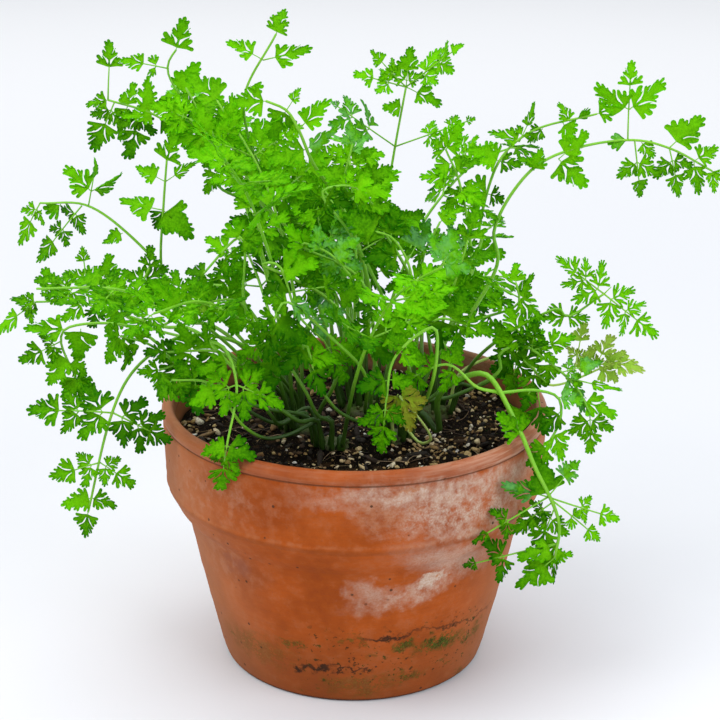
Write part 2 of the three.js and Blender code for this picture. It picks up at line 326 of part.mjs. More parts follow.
    [65.6,-8,158.8,77,-7.2,148,0.434,-0.811,0.394,10.5,0.08,3,0,1],
    [55.1,-8,150.9,50,-7.8,142.4,-0.357,-0.913,0.198,9.7,0.08,3,0,0]]],
  ['stem_right_front', [[1.76,0.66,22.3,-19.7,101.8,24.5,-21,113.5,26.6,-21.8,114.4,34.1,-24.1,106.3,33.2,-28.7,123.3,44.6,-35.9,135,51.9,-40,136.4,64.2,-49.5,118.3,70.2,-53.2,105.1,80.8,-55,80.5,79.9,-55,65.8],[0.79,0.5,55.548,-42.818,131.032,47.4,-45,133.6,36.3,-45,143,23,-45,138.2],[0.79,0.5,55.818,-43.026,130.635,71.6,-41.9,131.5,79.9,-43.2,129.1,80.8,-45.9,121,75.5,-48,110.5]], [
    [76.1,-54.2,91.4,71.4,-52.3,107.1,0.033,-0.991,0.131,17.3,0.1,5,0,0],
    [65.4,-50.2,115.7,56.4,-51.5,125.2,0.363,-0.904,0.227,14.8,0.1,5,0,0],
    [77.3,-54.4,88.7,62.2,-52.9,75.6,-0.283,-0.934,0.22,10.2,0.1,3,0,0],
    [76.1,-54.2,91.4,86.3,-57.8,107.9,-0.466,-0.88,0.097,11,0.55,3,0,0],
    [76.1,-54.2,91.4,104.8,-54.6,81.9,0.19,-0.777,0.6,11,0.4,5,0,0],
    [76.1,-54.2,91.4,98.2,-54.7,72.8,0.301,-0.875,0.38,7.8,0.35,3,0,0],
    [76.1,-54.2,91.4,46,-65.7,77.2,0.08,-0.85,0.52,11.8,0.45,3,40,0],
    [76.1,-54.2,91.4,57.8,-59.9,99.3,0.426,-0.811,0.4,8.6,0.3,3,20,0],
    [78.5,-54.6,85.9,72.1,-53.8,65.6,-0.255,-0.966,0.04,16.5,0.1,5,0,0],
    [80.3,-55,71.8,74.6,-54,59.6,-0.386,-0.916,0.106,11.1,0.1,3,0,0],
    [80.3,-55,71.8,43.1,-61.7,64.9,0.06,-0.858,0.51,15,0.5,3,0,0],
    [80.3,-55,71.8,65.4,-61.5,67.6,0.302,-0.895,0.328,10.3,0.2,3,0,0],
    [79.9,-55,65.8,64.5,-59.6,53.5,-0.134,-0.864,0.486,12.7,0.25,3,0,0],
    [79.9,-55,65.8,86.7,-56.6,68.4,-0.377,-0.785,0.492,5.5,0.08,1,0,0],
    [79.9,-55,65.8,79.4,-53.1,53,-0.014,-0.99,-0.144,3.2,0.08,1,0,4],
    [36.3,-45,143,41.3,-44.5,153.8,-0.117,-0.988,0.102,10.1,0.08,3,0,0],
    [31.1,-45,141.1,21.3,-46.8,148.7,0.423,-0.835,0.353,10.1,0.08,3,0,0],
    [25.7,-45,139.2,18.5,-44.1,128.7,-0.247,-0.966,0.083,10.9,0.08,3,0,4],
    [38.5,-45,141.1,33.4,-43.6,130.3,-0.39,-0.918,0.068,7.8,0.08,1,0,0],
    [68.6,-42.1,131.4,62.3,-40.1,112.7,-0.31,-0.951,0.003,11.7,0.45,3,0,0],
    [71.6,-41.9,131.5,74.9,-41.3,111.5,0.121,-0.993,-0.011,10.9,0.35,3,0,0],
    [79.9,-43.2,129.1,89.9,-42.2,126.8,0.206,-0.821,0.532,8.6,0.08,3,0,0],
    [75.5,-48,110.5,67.4,-50,102.3,-0.113,-0.934,0.338,11,0.08,3,0,4],
    [78.1,-47,115.7,82.3,-46.2,103.4,0.356,-0.933,0.06,10.2,0.08,3,0,0],
    [68.6,-42.1,131.4,65.3,-43.5,122.9,-0.2,-0.951,0.236,9.4,0.1,3,0,0],
    [80.5,-45,123.7,72.8,-45.7,115.4,-0.268,-0.905,0.332,13.3,0.1,5,0,0]]],
  ['frond_front_over_rim', [[1.1,0.5,-12.7,-31.3,101.8,-15.2,-35.4,115.7,-21.4,-41.6,117.6,-27.6,-45.1,123.1,-41.2,-51.6,137.9,-54.4,-58.7,156.7,-49.4,-60,154.9,-44.6,-63.9,141.2,-48.4,-68,117.9]], [
    [-48.4,-68,117.9,-58.3,-67.5,115.1,-0.198,-0.789,0.581,9.9,0.08,3,0,0],
    [-48.4,-68,117.9,-37.4,-68.1,113,0.238,-0.796,0.557,10.6,0.08,3,0,0],
    [-48.4,-68,117.9,-51.7,-64.4,96.8,-0.306,-0.945,-0.113,12.2,0.15,5,0,4],
    [-44.6,-63.9,141.2,-63.1,-64.7,134.4,-0.12,-0.895,0.429,17.4,0.08,5,0,0],
    [-44.6,-63.9,141.2,-26.9,-59.6,131.1,0.398,-0.854,0.334,18.9,0.08,5,0,0],
    [-47.5,-61.6,149.5,-60.1,-60.8,145.1,-0.23,-0.818,0.527,9.8,0.08,3,0,0],
    [-46.2,-54.3,145,-35.5,-52.6,144.7,0.137,-0.796,0.589,9.9,0.08,3,0,0]]],
  ['frond_front_centre', [[1.1,0.5,19.7,-22.3,101.8,21.9,-26.3,115.7,24.5,-31.2,117.3,30.6,-46.9,138,30.9,-53.6,160.5,28.7,-54.6,161.3,15.1,-57.5,150.3,12,-59.7,133]], [
    [12,-59.7,133,10.3,-61.4,111.8,0.063,-0.995,0.076,15.3,0.08,5,0,4],
    [13.6,-58.6,141.7,0.5,-57.8,137.9,-0.213,-0.791,0.574,12.2,0.15,3,0,0],
    [13.6,-58.6,141.7,22.6,-57.9,140.6,0.134,-0.794,0.593,9.9,0.08,3,0,0],
    [17.3,-57,152.1,24.9,-56.5,146.5,0.325,-0.878,0.351,9.9,0.08,3,0,0],
    [19.6,-56.5,154,12.5,-56.7,159.4,0.272,-0.906,0.325,10.6,0.08,3,0,0]]],
  ['frond_centre_left', [[1.06,0.5,-12.5,-26.1,101.8,-14.4,-26.3,113.5,-7.7,-34,131.2,-4.2,-31.8,148.6,-4.9,-30.3,157.4,-12.6,-29.7,166.1,-36.3,-30,178.7,-30,-30.9,178.5,-22.3,-36.5,160.5,-12,-41,151]], [
    [-12,-41,151,-2.6,-40.6,133.1,0.411,-0.89,0.196,19.4,0.08,5,0,4],
    [-25.7,-34,168.4,-2,-35.7,173,-0.148,-0.883,0.446,11.6,0.2,5,0,0],
    [-16.1,-39.2,154.8,-25.3,-39.2,141.6,-0.435,-0.847,0.304,14,0.08,3,0,0],
    [-20.3,-37.4,158.7,-3.9,-37.3,161.7,-0.078,-0.898,0.434,14.8,0.08,3,0,0],
    [-27.9,-32.4,173.7,-36.3,-31.6,166.1,-0.406,-0.839,0.363,10.9,0.08,3,0,0],
    [-29,-31.6,176.2,-14.5,-30.7,179.8,-0.086,-0.833,0.547,15.5,0.08,5,0,0]]],
  ['frond_centre_bluish', [[1.1,0.5,9.7,-19.6,101.8,6.6,-21.3,113.3,8,-24,140,3.8,-22.1,166.5,-1.6,-22.1,173.6,-21,-24.2,184.2,-21.4,-24.8,185.8,-10.5,-25.5,181.9,-2.1,-28,173.8]], [
    [-13.3,-25.2,182.6,-14.78,-26.61,193.2,0.191,-0.975,-0.118,10.154,0.08,3,0,0],
    [-8.4,-26.1,179.9,0.38,-25.61,188.1,-0.325,-0.866,0.381,10.154,0.08,3,0,0],
    [-8.4,-26.1,179.9,-12.38,-26.31,171.2,-0.089,-0.993,0.074,10.154,0.08,3,0,0],
    [-2.1,-28,173.8,3.58,-29.01,166.4,0.284,-0.895,0.343,9.454,0.08,3,0,4],
    [-19.8,-24.1,183.6,-21.88,-23.01,170.1,-0.101,-0.993,-0.06,15.654,0.08,5,0,0],
    [-19.37,-24.05,183.36,-26.82,-25.11,193,0.502,-0.814,0.292,11.754,0.08,3,0,0]]],
  ['frond_centre_right', [[1.14,0.5,19.5,-14.9,101.8,23.5,-14,137.6,32,-14,160,26.6,-14,149.6,20.7,-14,175.5,13.9,-14,185.4,8.5,-14,187.3]], [
    [20.7,-14,175.5,29.3,-14.4,192,-0.427,-0.881,0.202,11.1,0.35,3,0,0],
    [8.5,-14,187.3,-4.6,-12.4,194.1,0.18,-0.821,0.541,13.4,0.08,3,0,4],
    [19,-14,177.9,2.6,-15.3,176.9,0.04,-0.873,0.486,10.3,0.15,5,0,0],
    [22.7,-14,166.7,34.5,-13.6,171.7,-0.14,-0.904,0.404,12,0.08,3,0,0],
    [22.7,-14,166.7,11.5,-14.2,163.4,-0.136,-0.848,0.511,13.6,0.08,3,0,0],
    [13.9,-14,185.4,16.6,-15.6,198.4,-0.182,-0.979,-0.087,13.4,0.08,3,0,0],
    [25.4,-14,155.1,38.8,-13.4,159.1,-0.149,-0.769,0.621,13.6,0.08,3,0,0],
    [26,-14,152.2,12.4,-15.8,152.1,0.116,-0.872,0.475,12,0.08,3,0,0]]],
  ['frond_centre_arch', [[1.1,0.5,13.3,-13.5,101.8,11.9,-12.3,113.7,14.6,-10.6,140.7,13.3,-9.8,152.7,-2.2,-8,185.3,-12.9,-8,199.9,-12.9,-8,202.7,-10.1,-8,203.8,-1.2,-8,204.2,9.6,-8,193.8]], [
    [-12.9,-8,202.7,-11,-8.4,185.6,0.093,-0.995,0.035,17.4,0.08,5,0,0],
    [-4.1,-8,204.1,-1.6,-7.5,210.7,-0.295,-0.938,0.18,7.1,0.08,1,0,0],
    [-1.2,-8,204.2,14.3,-9.9,200.9,-0.012,-0.889,0.458,10.3,0.08,3,0,0],
    [0.9,-8,202.1,-3.1,-2.5,188.1,-0.451,-0.867,-0.212,13.4,0.08,3,0,0],
    [9.6,-8,193.8,15.3,-9.2,184.3,0.297,-0.909,0.293,11.1,0.08,3,0,4],
    [5.3,-8,198,18.4,-7.9,193.8,0.216,-0.718,0.662,9.5,0.08,3,0,0]]],
  ['frond_left_mid_a', [[1.1,0.5,-24.8,-9.6,101.8,-24.9,-11.1,113.7,-35.4,-19.7,133.8,-40.8,-21.7,147.8,-44.3,-22,162.5,-44.6,-19.9,186.6,-62.5,-25,169.6]], [
    [-62.5,-25,169.6,-62.6,-26,161.6,0.167,-0.979,0.118,11.8,0.08,3,0,4],
    [-51.8,-22,179.7,-41.4,-22.3,170.5,0.339,-0.846,0.413,14.1,0.08,5,0,0],
    [-58.3,-23.8,173.6,-67.4,-22,173.5,-0.15,-0.723,0.675,10.2,0.08,3,0,0],
    [-45.5,-20.2,185.7,-49.9,-19.9,192.6,0.207,-0.964,0.165,10.2,0.08,3,0,0],
    [-49.7,-21.4,181.7,-58.6,-20.4,187,0.252,-0.782,0.57,7.8,0.08,1,0,0],
    [-45.5,-20.2,185.7,-33.6,-19.1,186.8,0.015,-0.804,0.594,10.2,0.08,3,0,0]]],
  ['frond_low_left_a', [[1.1,0.5,-16.3,-25,101.8,-19.1,-24.5,113.5,-21,-25.8,115.2,-29.5,-33.8,113.1,-33.1,-39,119.4,-49.1,-41.9,144.7,-54.3,-42.6,147.2,-72.4,-42.9,146.7]], [
    [-54.3,-42.6,147.2,-60.1,-45.5,134.1,-0.258,-0.912,0.319,15.5,0.08,5,0,0],
    [-57.3,-42.6,147.1,-57.6,-41.2,158.5,-0.124,-0.984,0.126,14.7,0.08,5,0,0],
    [-63.3,-42.7,147,-69.2,-47.6,135.2,-0.205,-0.866,0.457,14,0.08,5,0,0],
    [-63.3,-42.7,147,-68.1,-43.9,158.5,0.221,-0.975,-0.008,14,0.08,5,0,0],
    [-72.4,-42.9,146.7,-81.3,-46.4,148.7,0.411,-0.812,0.414,14,0.08,5,0,4]]],
  ['frond_low_left_b', [[1.1,0.5,-9.8,-28.6,101.8,-9.1,-29.7,113.6,-11.2,-30.9,115,-26.9,-38.5,110.4,-34.9,-42.4,110.8,-43.4,-46.7,117.8,-55.6,-52.5,137.6,-70,-54,139.3]], [
    [-61.2,-53.1,138.3,-61.3,-52.7,123.2,0.002,-1,-0.023,14.6,0.08,5,0,0],
    [-61.2,-53.1,138.3,-68.4,-52.7,146.2,0.309,-0.895,0.321,10,0.08,3,0,0],
    [-67.1,-53.7,139,-66.3,-55.6,130.1,0.183,-0.957,0.223,9.2,0.08,3,0,0],
    [-70,-54,139.3,-77.7,-49.1,128.3,-0.511,-0.86,-0.022,15.3,0.08,5,0,4]]],
  ['frond_mid_left', [[1.1,0.5,-24,-6,101.8,-23.7,-5.6,113.5,-31.2,-16.3,129.2,-45.6,-15.9,158,-50.7,-17.2,160,-59.3,-18.9,158.9]], [
    [-48.1,-16.5,159,-47.6,-17.5,144.7,0.194,-0.978,0.075,15.9,0.08,5,0,0],
    [-50.7,-17.2,160,-45.5,-19,172.8,-0.213,-0.976,-0.054,14.3,0.08,5,0,0],
    [-56.4,-18.3,159.3,-57,-21.2,146.7,0.082,-0.973,0.217,13.5,0.08,5,0,0],
    [-56.4,-18.3,159.3,-61.5,-17.6,169.7,0.386,-0.888,0.25,11.9,0.08,3,0,0],
    [-59.3,-18.9,158.9,-66.7,-21.1,154.6,-0.131,-0.768,0.627,11.1,0.08,3,0,6]]],
  ['frond_centre_low_a', [[1.1,0.5,-9,-32.3,101.8,-9.6,-36.4,115.8,-14.2,-38.2,118.4,-19.8,-41.9,131.6,-36.5,-45.8,159.2,-38.1,-46.7,161,-33.3,-50,147.5]], [
    [-38.1,-46.7,161,-47.2,-45.7,160.1,-0.138,-0.886,0.443,13,0.08,5,0,0],
    [-36.5,-45.8,159.2,-25.7,-45.9,155.5,0.179,-0.822,0.541,13.1,0.08,3,0,0],
    [-35.2,-48.7,152.9,-44.9,-48.5,146.4,-0.225,-0.922,0.315,13,0.08,5,0,0],
    [-34.3,-49.3,150.2,-22.4,-54.2,153.5,-0.443,-0.777,0.446,13.8,0.08,5,0,0],
    [-33.3,-50,147.5,-31.1,-49.7,133.8,0.249,-0.968,0.017,17.7,0.08,5,0,4]]],
  ['frond_centre_low_b', [[1.1,0.5,12.3,-22.3,101.8,10.3,-26.5,115.3,7.7,-34.6,114,-7.1,-44.5,123.7,-20,-49.4,151.5,-18.6,-50.4,152.9,-16,-52.5,144]], [
    [-19.2,-50.1,151.8,-27.8,-54.9,143.2,-0.155,-0.793,0.59,13,0.08,5,0,0],
    [-17.4,-48.8,147.8,-4.9,-48.5,145.1,0.162,-0.715,0.68,13.8,0.08,5,0,0],
    [-16,-52.5,144,-11.8,-52.8,132.6,0.264,-0.957,0.12,11.5,0.08,3,0,4]]],
  ['frond_mid_right_a', [[1.1,0.5,15.2,-19.6,101.8,14.5,-21.2,113.6,22.2,-24.4,125.4,20.9,-27.4,136.8,11.8,-29.9,158.7,9.7,-30.7,159.4,3.6,-33,149.5]], [
    [11.8,-29.9,158.7,21,-28.9,147.4,0.355,-0.911,0.209,14.9,0.08,5,0,0],
    [9.7,-30.7,159.4,-0.4,-29.3,162.3,0.023,-0.875,0.484,14.1,0.08,5,0,0],
    [6.7,-31.8,154.5,-4.3,-32.8,152.7,-0.033,-0.765,0.643,13.3,0.08,3,0,0],
    [5.1,-32.4,152,14.7,-32.4,138.6,0.308,-0.926,0.219,14.1,0.08,5,0,0],
    [3.6,-33,149.5,-1.9,-33.8,138.1,0.187,-0.982,-0.022,17.3,0.08,5,0,4]]],
  ['frond_mid_right_b', [[1.1,0.5,18.7,-18.5,101.8,19.4,-19.7,113.7,32.5,-19.9,120.7,37.8,-20.7,131.2,37.5,-22.7,139.9,29.5,-30.2,154.2,34.1,-30.9,157.2,42.7,-32,155.3]], [
    [29.5,-30.2,154.2,25.4,-28.3,166.3,0.254,-0.938,0.235,13.4,0.08,5,0,0],
    [34.1,-30.9,157.2,33.6,-30,142.9,-0.105,-0.993,-0.059,14.1,0.08,5,0,0],
    [36.9,-31.3,156.6,42.3,-33.2,169.6,-0.196,-0.979,-0.063,13.3,0.08,5,0,0],
    [39.8,-31.6,155.9,39.7,-34.9,143.8,-0.069,-0.963,0.26,13.3,0.08,5,0,0],
    [42.7,-32,155.3,55.2,-33.5,152.6,-0.008,-0.892,0.452,13.3,0.08,5,0,4]]],
  ['frond_mid_right_c', [[1.1,0.5,33.2,8.4,101.8,33,6.2,116.7,38,0,154.9,39.6,-1.9,159.9,45.4,1,179.9]], [
    [39.6,-1.9,159.9,28.7,-0.8,165.1,0.159,-0.843,0.514,13.8,0.08,5,0,0],
    [39.6,-1.9,159.9,52.6,-6.3,165.3,-0.434,-0.811,0.392,14.6,0.08,5,0,0],
    [42.9,-0.2,171.3,31.8,1,175.6,0.075,-0.887,0.456,13.8,0.08,5,0,0],
    [42.9,-0.2,171.3,56,1,175.8,-0.153,-0.736,0.659,13.8,0.08,5,0,0],
    [44.6,0.6,177.1,36.4,2,185.4,0.146,-0.942,0.301,12.1,0.08,5,0,0],
    [45.4,1,179.9,48.3,0.8,193.3,-0.002,-1,-0.012,16.2,0.08,5,0,4]]],
  ['frond_mid_right_d', [[1.1,0.5,34,12,101.8,34.1,11.9,113.6,30.1,15.9,139.6,27.9,18.1,166,34.9,21,181.8]], [
    [29,18.6,168.6,19.3,18.5,170.4,0.131,-0.735,0.665,12.4,0.08,5,0,0],
    [31.4,19.5,173.8,41.6,20.4,176,-0.027,-0.879,0.476,14.1,0.08,5,0,0],
    [32.5,20,176.5,22.4,19.4,183.9,0.386,-0.796,0.466,12.4,0.08,3,0,0],
    [34.9,21,181.8,43.8,21.4,188.6,-0.219,-0.914,0.341,14.1,0.08,5,0,4]]],
  ['frond_centre_mid', [[1.1,0.5,12.5,-17.1,101.8,8.1,-20,134.5,-6.7,-20,160.7,-11.5,-22,174.7]], [
    [-7.6,-20.4,163.5,5.1,-17.1,164.2,0.125,-0.666,0.735,14.3,0.08,5,0,0],
    [-7.6,-20.4,163.5,-19.5,-18.5,160.3,-0.263,-0.833,0.488,14.3,0.08,5,0,0],
    [-9.6,-21.2,169.1,2.6,-15.6,175.4,0.108,-0.836,0.539,13.4,0.08,5,0,0],
    [-9.6,-21.2,169.1,-21.8,-20.4,174.2,-0.05,-0.998,0.04,13.4,0.08,5,0,0],
    [-11.5,-22,174.7,-14.8,-17.9,185,0.145,-0.903,0.404,15.7,0.08,5,0,4]]],
  ['frond_centre_back_a', [[1.1,0.5,-1.5,14.9,101.8,-3.3,14.5,113.7,-0.1,10.2,146.5,-0.6,10.2,158.5,-4.5,12.2,172.9,-12.4,14.1,176.1,-16.3,16,190.5]], [
    [-12.4,14.1,176.1,-26,12.7,179.5,0.211,-0.837,0.505,14.8,0.08,5,0,0],
    [-12.4,14.1,176.1,1,6.7,183.9,-0.591,-0.746,0.309,15.6,0.08,5,0,0],
    [-14.7,15.2,184.7,-26.9,14.6,189.9,0.306,-0.723,0.619,13.9,0.08,5,0,0],
    [-13.9,14.9,181.8,-1.6,21.6,190.8,0.085,-0.85,0.519,13.9,0.08,5,0,0],
    [-16.3,16,190.5,-20.4,17.9,203.4,0.062,-0.985,0.163,17.2,0.08,5,0,4]]],
  ['frond_left_mid_b', [[1.1,0.5,-23.2,-2.4,101.8,-22.7,-0.7,113.6,-27.6,0,143.2,-36.4,0.1,178,-42.5,2,191.6]], [
    [-36.4,0.1,178,-48.4,1.9,176.5,-0.195,-0.779,0.596,14.5,0.08,5,0,0],
    [-36.4,0.1,178,-25.7,1.9,179.2,0.033,-0.69,0.723,14.5,0.08,5,0,0],
    [-38.8,0.9,183.4,-50.6,2.3,188.1,0.06,-0.9,0.432,13.7,0.08,5,0,0],
    [-38.8,0.9,183.4,-27.2,0.6,191.2,-0.448,-0.62,0.644,13.7,0.08,5,0,0],
    [-42.5,2,191.6,-46.4,3.6,203.5,0.034,-0.989,0.142,16.9,0.08,5,0,4]]],
  ['frond_left_rim', [[1.1,0.5,-15.3,-21.4,101.8,-17.4,-19.1,113.4,-19.4,-20.2,115.1,-30,-30,112,-35.3,-31.9,114.2,-47.1,-34.3,123.1,-62.5,-38.1,141.1,-76.3,-38,137.5]], [
    [-62.5,-38.1,141.1,-65.5,-38.6,126,-0.001,-1,0.032,14.9,0.08,5,0,0],
    [-67.6,-38.1,139.8,-77,-40.6,128.4,-0.256,-0.878,0.406,14.9,0.08,5,0,0],
    [-70.4,-38,139,-72.7,-38.8,151,0.025,-0.998,-0.061,11.7,0.08,5,0,0],
    [-76.3,-38,137.5,-76,-43.5,128.7,-0.228,-0.83,0.509,12.5,0.08,5,0,0],
    [-76.3,-38,137.5,-84.4,-42.1,138.1,0.351,-0.593,0.725,13.3,0.08,5,0,4]]],
  ['frond_centre_low_c', [[1.1,0.5,8.7,-16,101.8,5.5,-15.4,113.2,4.8,-17,115.4,4.6,-22.8,114.3,4.4,-27.6,117.5,4.8,-36.7,132.8,0.5,-41.3,142.7,-24.9,-51.6,170,-27.3,-52.7,170.3,-32.2,-54.2,159.9]], [
    [-24.9,-51.6,170,-35.2,-52.8,171.4,0.166,-0.855,0.492,14.4,0.08,5,0,0],
    [-24.9,-51.6,170,-13.4,-48.3,165.2,0.408,-0.804,0.433,14.4,0.08,5,0,0],
    [-29.7,-53.4,165.1,-39.8,-55.3,160.2,-0.124,-0.817,0.563,14.4,0.08,5,0,0],
    [-29.7,-53.4,165.1,-18.7,-52.1,154.4,0.675,-0.333,0.659,14.4,0.08,5,0,0],
    [-32.2,-54.2,159.9,-34.5,-57.2,147.2,0.035,-0.974,0.223,16.7,0.08,5,0,4]]],
  ['frond_right_rim', [[1.1,0.5,40.3,8.3,101.8,44.1,5.5,115.6,50.4,-4.2,118.3,62.6,-6.3,126.7,66.3,-10.3,133.5,77.8,-14,124.5]], [
    [65.1,-9.1,131.4,57.8,-10.5,146.4,0.18,-0.984,-0.005,14.7,0.08,5,0,0],
    [66.3,-10.3,133.5,63,-8.7,117.2,-0.087,-0.993,-0.08,15.4,0.08,5,0,0],
    [68.5,-11,131.8,77.4,-10.9,141.5,-0.213,-0.955,0.207,13.8,0.08,5,0,0],
    [73.1,-12.5,128.1,71.8,-11.3,114.8,-0.193,-0.979,-0.068,14.6,0.08,5,0,0]]],
  ['frond_old_yellow', [[0.79,0.5,16,-23.3,101.8,15.4,-26,113.6,17,-27.8,114.5,24.7,-33,106.8,26.9,-34.8,106,30.3,-38.4,109,28.9,-40.9,114.2,16.9,-46,131,19.2,-48,128.5]], [
    [16.9,-46,131,12.4,-44.3,119.5,-0.406,-0.913,0.026,10.1,0.08,3,0,2],
    [17.5,-46.5,130.3,28.3,-52.9,130.5,-0.429,-0.713,0.555,10.1,0.08,3,0,2],
    [19.2,-48,128.5,22.6,-47,115.6,0.042,-0.997,-0.069,11.7,0.08,3,0,6]]],
  ['shoot_back_1', [[2,1.7,2,23.3,101.8,2,23.3,106.8],[1,0.5,1.4,24.3,103.3,-1.4,30.4,132.6,-5.8,39.1,154.6,-12.5,51.8,173.7,-21.9,68.5,188.1],[1,0.5,1.5,24.3,103.3,-8.5,38.2,135.1,-19.2,51.4,159.8,-33,66.6,181.8,-48.2,81.8,198.3],[1,0.5,1.9,24.4,103.3,1.2,28.8,136.4,0,37.4,165.5,-1.8,50.3,189.5,-3.7,66.2,207.7]], [
    [-6,39.5,155.2,12.9,60.9,172.2,0.542,-0.762,0.355,22,0.14,5,0,0],
    [-6,39.5,155.2,-27.8,22.8,166.4,0.674,-0.558,0.483,20.4,0.14,5,0,0],
    [-11.6,50,171,3,69.3,179,0.479,-0.62,0.621,18,0.08,5,0,0],
    [-11.6,50,171,-38,45.6,175.6,0.225,-0.46,0.859,18.4,0.08,5,0,0],
    [-17.1,60,180.8,-8.8,72.7,185.3,0.172,-0.433,0.885,12.6,0.08,3,0,0],
    [-17.1,60,180.8,-34,60.9,189.2,0.352,-0.541,0.764,13.8,0.08,3,0,0],
    [-21.9,68.5,188.1,-29.1,81.1,194.7,0.206,-0.36,0.91,15.1,0.05,3,0,4],
    [-22.1,54.6,164.4,-9.3,82.1,177.1,0.42,-0.533,0.734,19.5,0.14,5,0,0],
    [-22.1,54.6,164.4,-49.9,44.8,177.5,0.504,-0.597,0.624,22.4,0.14,5,0,0],
    [-31.9,65.4,180,-22.8,86.9,187.9,0.522,-0.479,0.705,15.4,0.08,5,0,0],
    [-31.9,65.4,180,-55.5,54.3,186.8,0.463,-0.571,0.678,18.6,0.08,5,0,0],
    [-40.8,74.4,190.2,-34.6,90,196.6,0.555,-0.494,0.67,12.6,0.08,3,0,0],
    [-40.8,74.4,190.2,-55.3,67.6,191.5,0.287,-0.46,0.84,12,0.08,3,0,0],
    [-48.2,81.8,198.3,-60.1,93.4,206.8,0.327,-0.318,0.89,17.7,0.05,3,0,4],
    [0.1,36.7,163,29.9,53.8,176.8,0.254,-0.835,0.489,24.2,0.14,5,0,0],
    [-1.3,46.9,183.2,17.5,56.8,194,0.218,-0.879,0.423,15.6,0.08,5,0,0],
    [-1.3,46.9,183.2,-28.2,43.1,188.4,0.194,-0.927,0.321,18.8,0.08,5,0,0],
    [-2.6,57,197.1,12.2,64.8,200.7,0.287,-0.794,0.536,12.4,0.08,3,0,0],
    [-2.6,57,197.1,-19,59.7,203.1,0.117,-0.741,0.661,12.6,0.08,3,0,0]]],
  ['shoot_back_3', [[2,1.7,-24,1.3,101.8,-24,1.3,106.8],[1,0.5,-24.5,2.3,103.3,-28.7,10.3,125.3,-33,18.2,144.1,-43.5,36,176.6,-56.7,56.6,202.5,-72,78.7,221],[1,0.5,-24.4,2.4,103.3,-32.6,20,129.5,-40.2,38.9,146.8,-48.3,62,157.3,-55.2,84.6,159.1],[1,0.5,-24.8,2.1,103.3,-28.6,5.7,126.7,-32.9,9.8,146.8,-42.7,19.4,180,-55.3,31.7,207.8,-71.3,47.8,231.6]], [
    [-51.8,49,192.9,-33.1,75.6,202.7,0.381,-0.541,0.75,21.3,0.14,5,0,0],
    [-59.5,60.7,205.9,-46.4,83.3,212.1,0.174,-0.352,0.92,18.1,0.08,5,0,0],
    [-59.5,60.7,205.9,-82,56.7,211.6,0.296,-0.551,0.78,15.3,0.08,5,0,0],
    [-66.4,70.6,214.2,-57.4,84.8,218.5,0.414,-0.492,0.766,12.7,0.08,3,0,0],
    [-66.4,70.6,214.2,-80.9,69.9,220.1,0.351,-0.453,0.819,10.5,0.08,3,0,0],
    [-72,78.7,221,-80.7,91,227.3,0.221,-0.313,0.924,15.5,0.05,3,0,4],
    [-40.6,40,147.3,-23.5,63.6,159.4,0.364,-0.62,0.695,21.2,0.14,5,0,0],
    [-40.6,40,147.3,-71.5,50.9,147.9,-0.232,-0.7,0.676,22.5,0.14,5,0,0],
    [-46.9,57.9,155.4,-31,72.2,154.3,0.137,-0.075,0.988,13.4,0.08,3,0,0],
    [-46.9,57.9,155.4,-64.4,57,159.8,0.248,-0.223,0.943,11.3,0.08,3,0,0],
    [-51.5,72.4,158.1,-40.8,83.3,157.6,0.296,-0.247,0.923,11.2,0.08,3,0,0],
    [-50.2,26.7,196.6,-34.9,53.7,204,0.752,-0.534,0.387,20.2,0.14,5,0,0],
    [-58.3,34.7,212.2,-48.4,55.6,221.5,0.657,-0.543,0.523,15.9,0.08,3,0,0],
    [-58.3,34.7,212.2,-78.2,31.7,227.2,0.563,-0.518,0.644,16.3,0.08,3,0,0],
    [-65.5,41.9,222.9,-57.7,54.4,227.1,0.587,-0.558,0.586,10.5,0.08,3,0,0],
    [-65.5,41.9,222.9,-82.9,37.6,227.5,0.338,-0.699,0.631,14.9,0.08,3,0,0]]],
  ['shoot_back_4', [[2,1.7,5.6,22.3,101.8,5.6,22.3,106.8],[1,0.5,5.2,23.4,103.3,0,35.3,129.9,-4.4,46.6,150.2,-8.9,60.1,169.1,-13,73.9,184],[1,0.5,5.4,23.4,103.3,4.1,30.2,135.2,2.1,40.6,162.9,-0.8,54.4,185.4,-4.3,70.6,202.4],[1,0.5,5.3,23.4,103.3,0.3,39,124.4,-5.7,54.7,145,-13.1,70.9,164.8,-20.9,85.6,181.7]], [
    [-4.7,47.6,151.5,18.7,63.9,163.1,0.369,-0.828,0.421,18.4,0.14,5,0,0],
    [-4.7,47.6,151.5,-31.4,45.2,162.2,0.284,-0.794,0.538,18.3,0.14,5,0,0],
    [-8.1,57.8,165.9,7.7,71.7,173.8,0.24,-0.67,0.703,14.3,0.08,3,0,0],
    [-8.1,57.8,165.9,-22.4,57.7,176.1,0.446,-0.645,0.62,12.9,0.08,3,0,0],
    [-10.8,66.5,176,-0.6,76.7,181.5,0.065,-0.525,0.849,10.4,0.08,3,0,0],
    [-10.8,66.5,176,-25.1,68,181.7,0.264,-0.533,0.804,11.3,0.08,3,0,0],
    [-13,73.9,184,-16.3,85.2,193.2,0.169,-0.589,0.79,14.2,0.05,3,0,4],
    [1.3,44.6,169.4,30,56.8,175.3,0.215,-0.787,0.578,20.8,0.14,5,0,0],
    [-0.7,53.9,184.6,18.9,67.5,193,0.046,-0.575,0.817,15.7,0.08,5,0,0],
    [-0.7,53.9,184.6,-24.7,55.7,192.2,0.194,-0.626,0.755,18.1,0.08,5,0,0],
    [-2.7,63,194.5,9.9,73.9,201.2,0.199,-0.672,0.713,14.4,0.08,3,0,0],
    [-2.7,63,194.5,-17,66.8,199.7,0.217,-0.414,0.884,12,0.08,3,0,0],
    [-4.3,70.6,202.4,-5.3,86.1,203.4,0.299,-0.044,0.953,14.8,0.05,3,0,4],
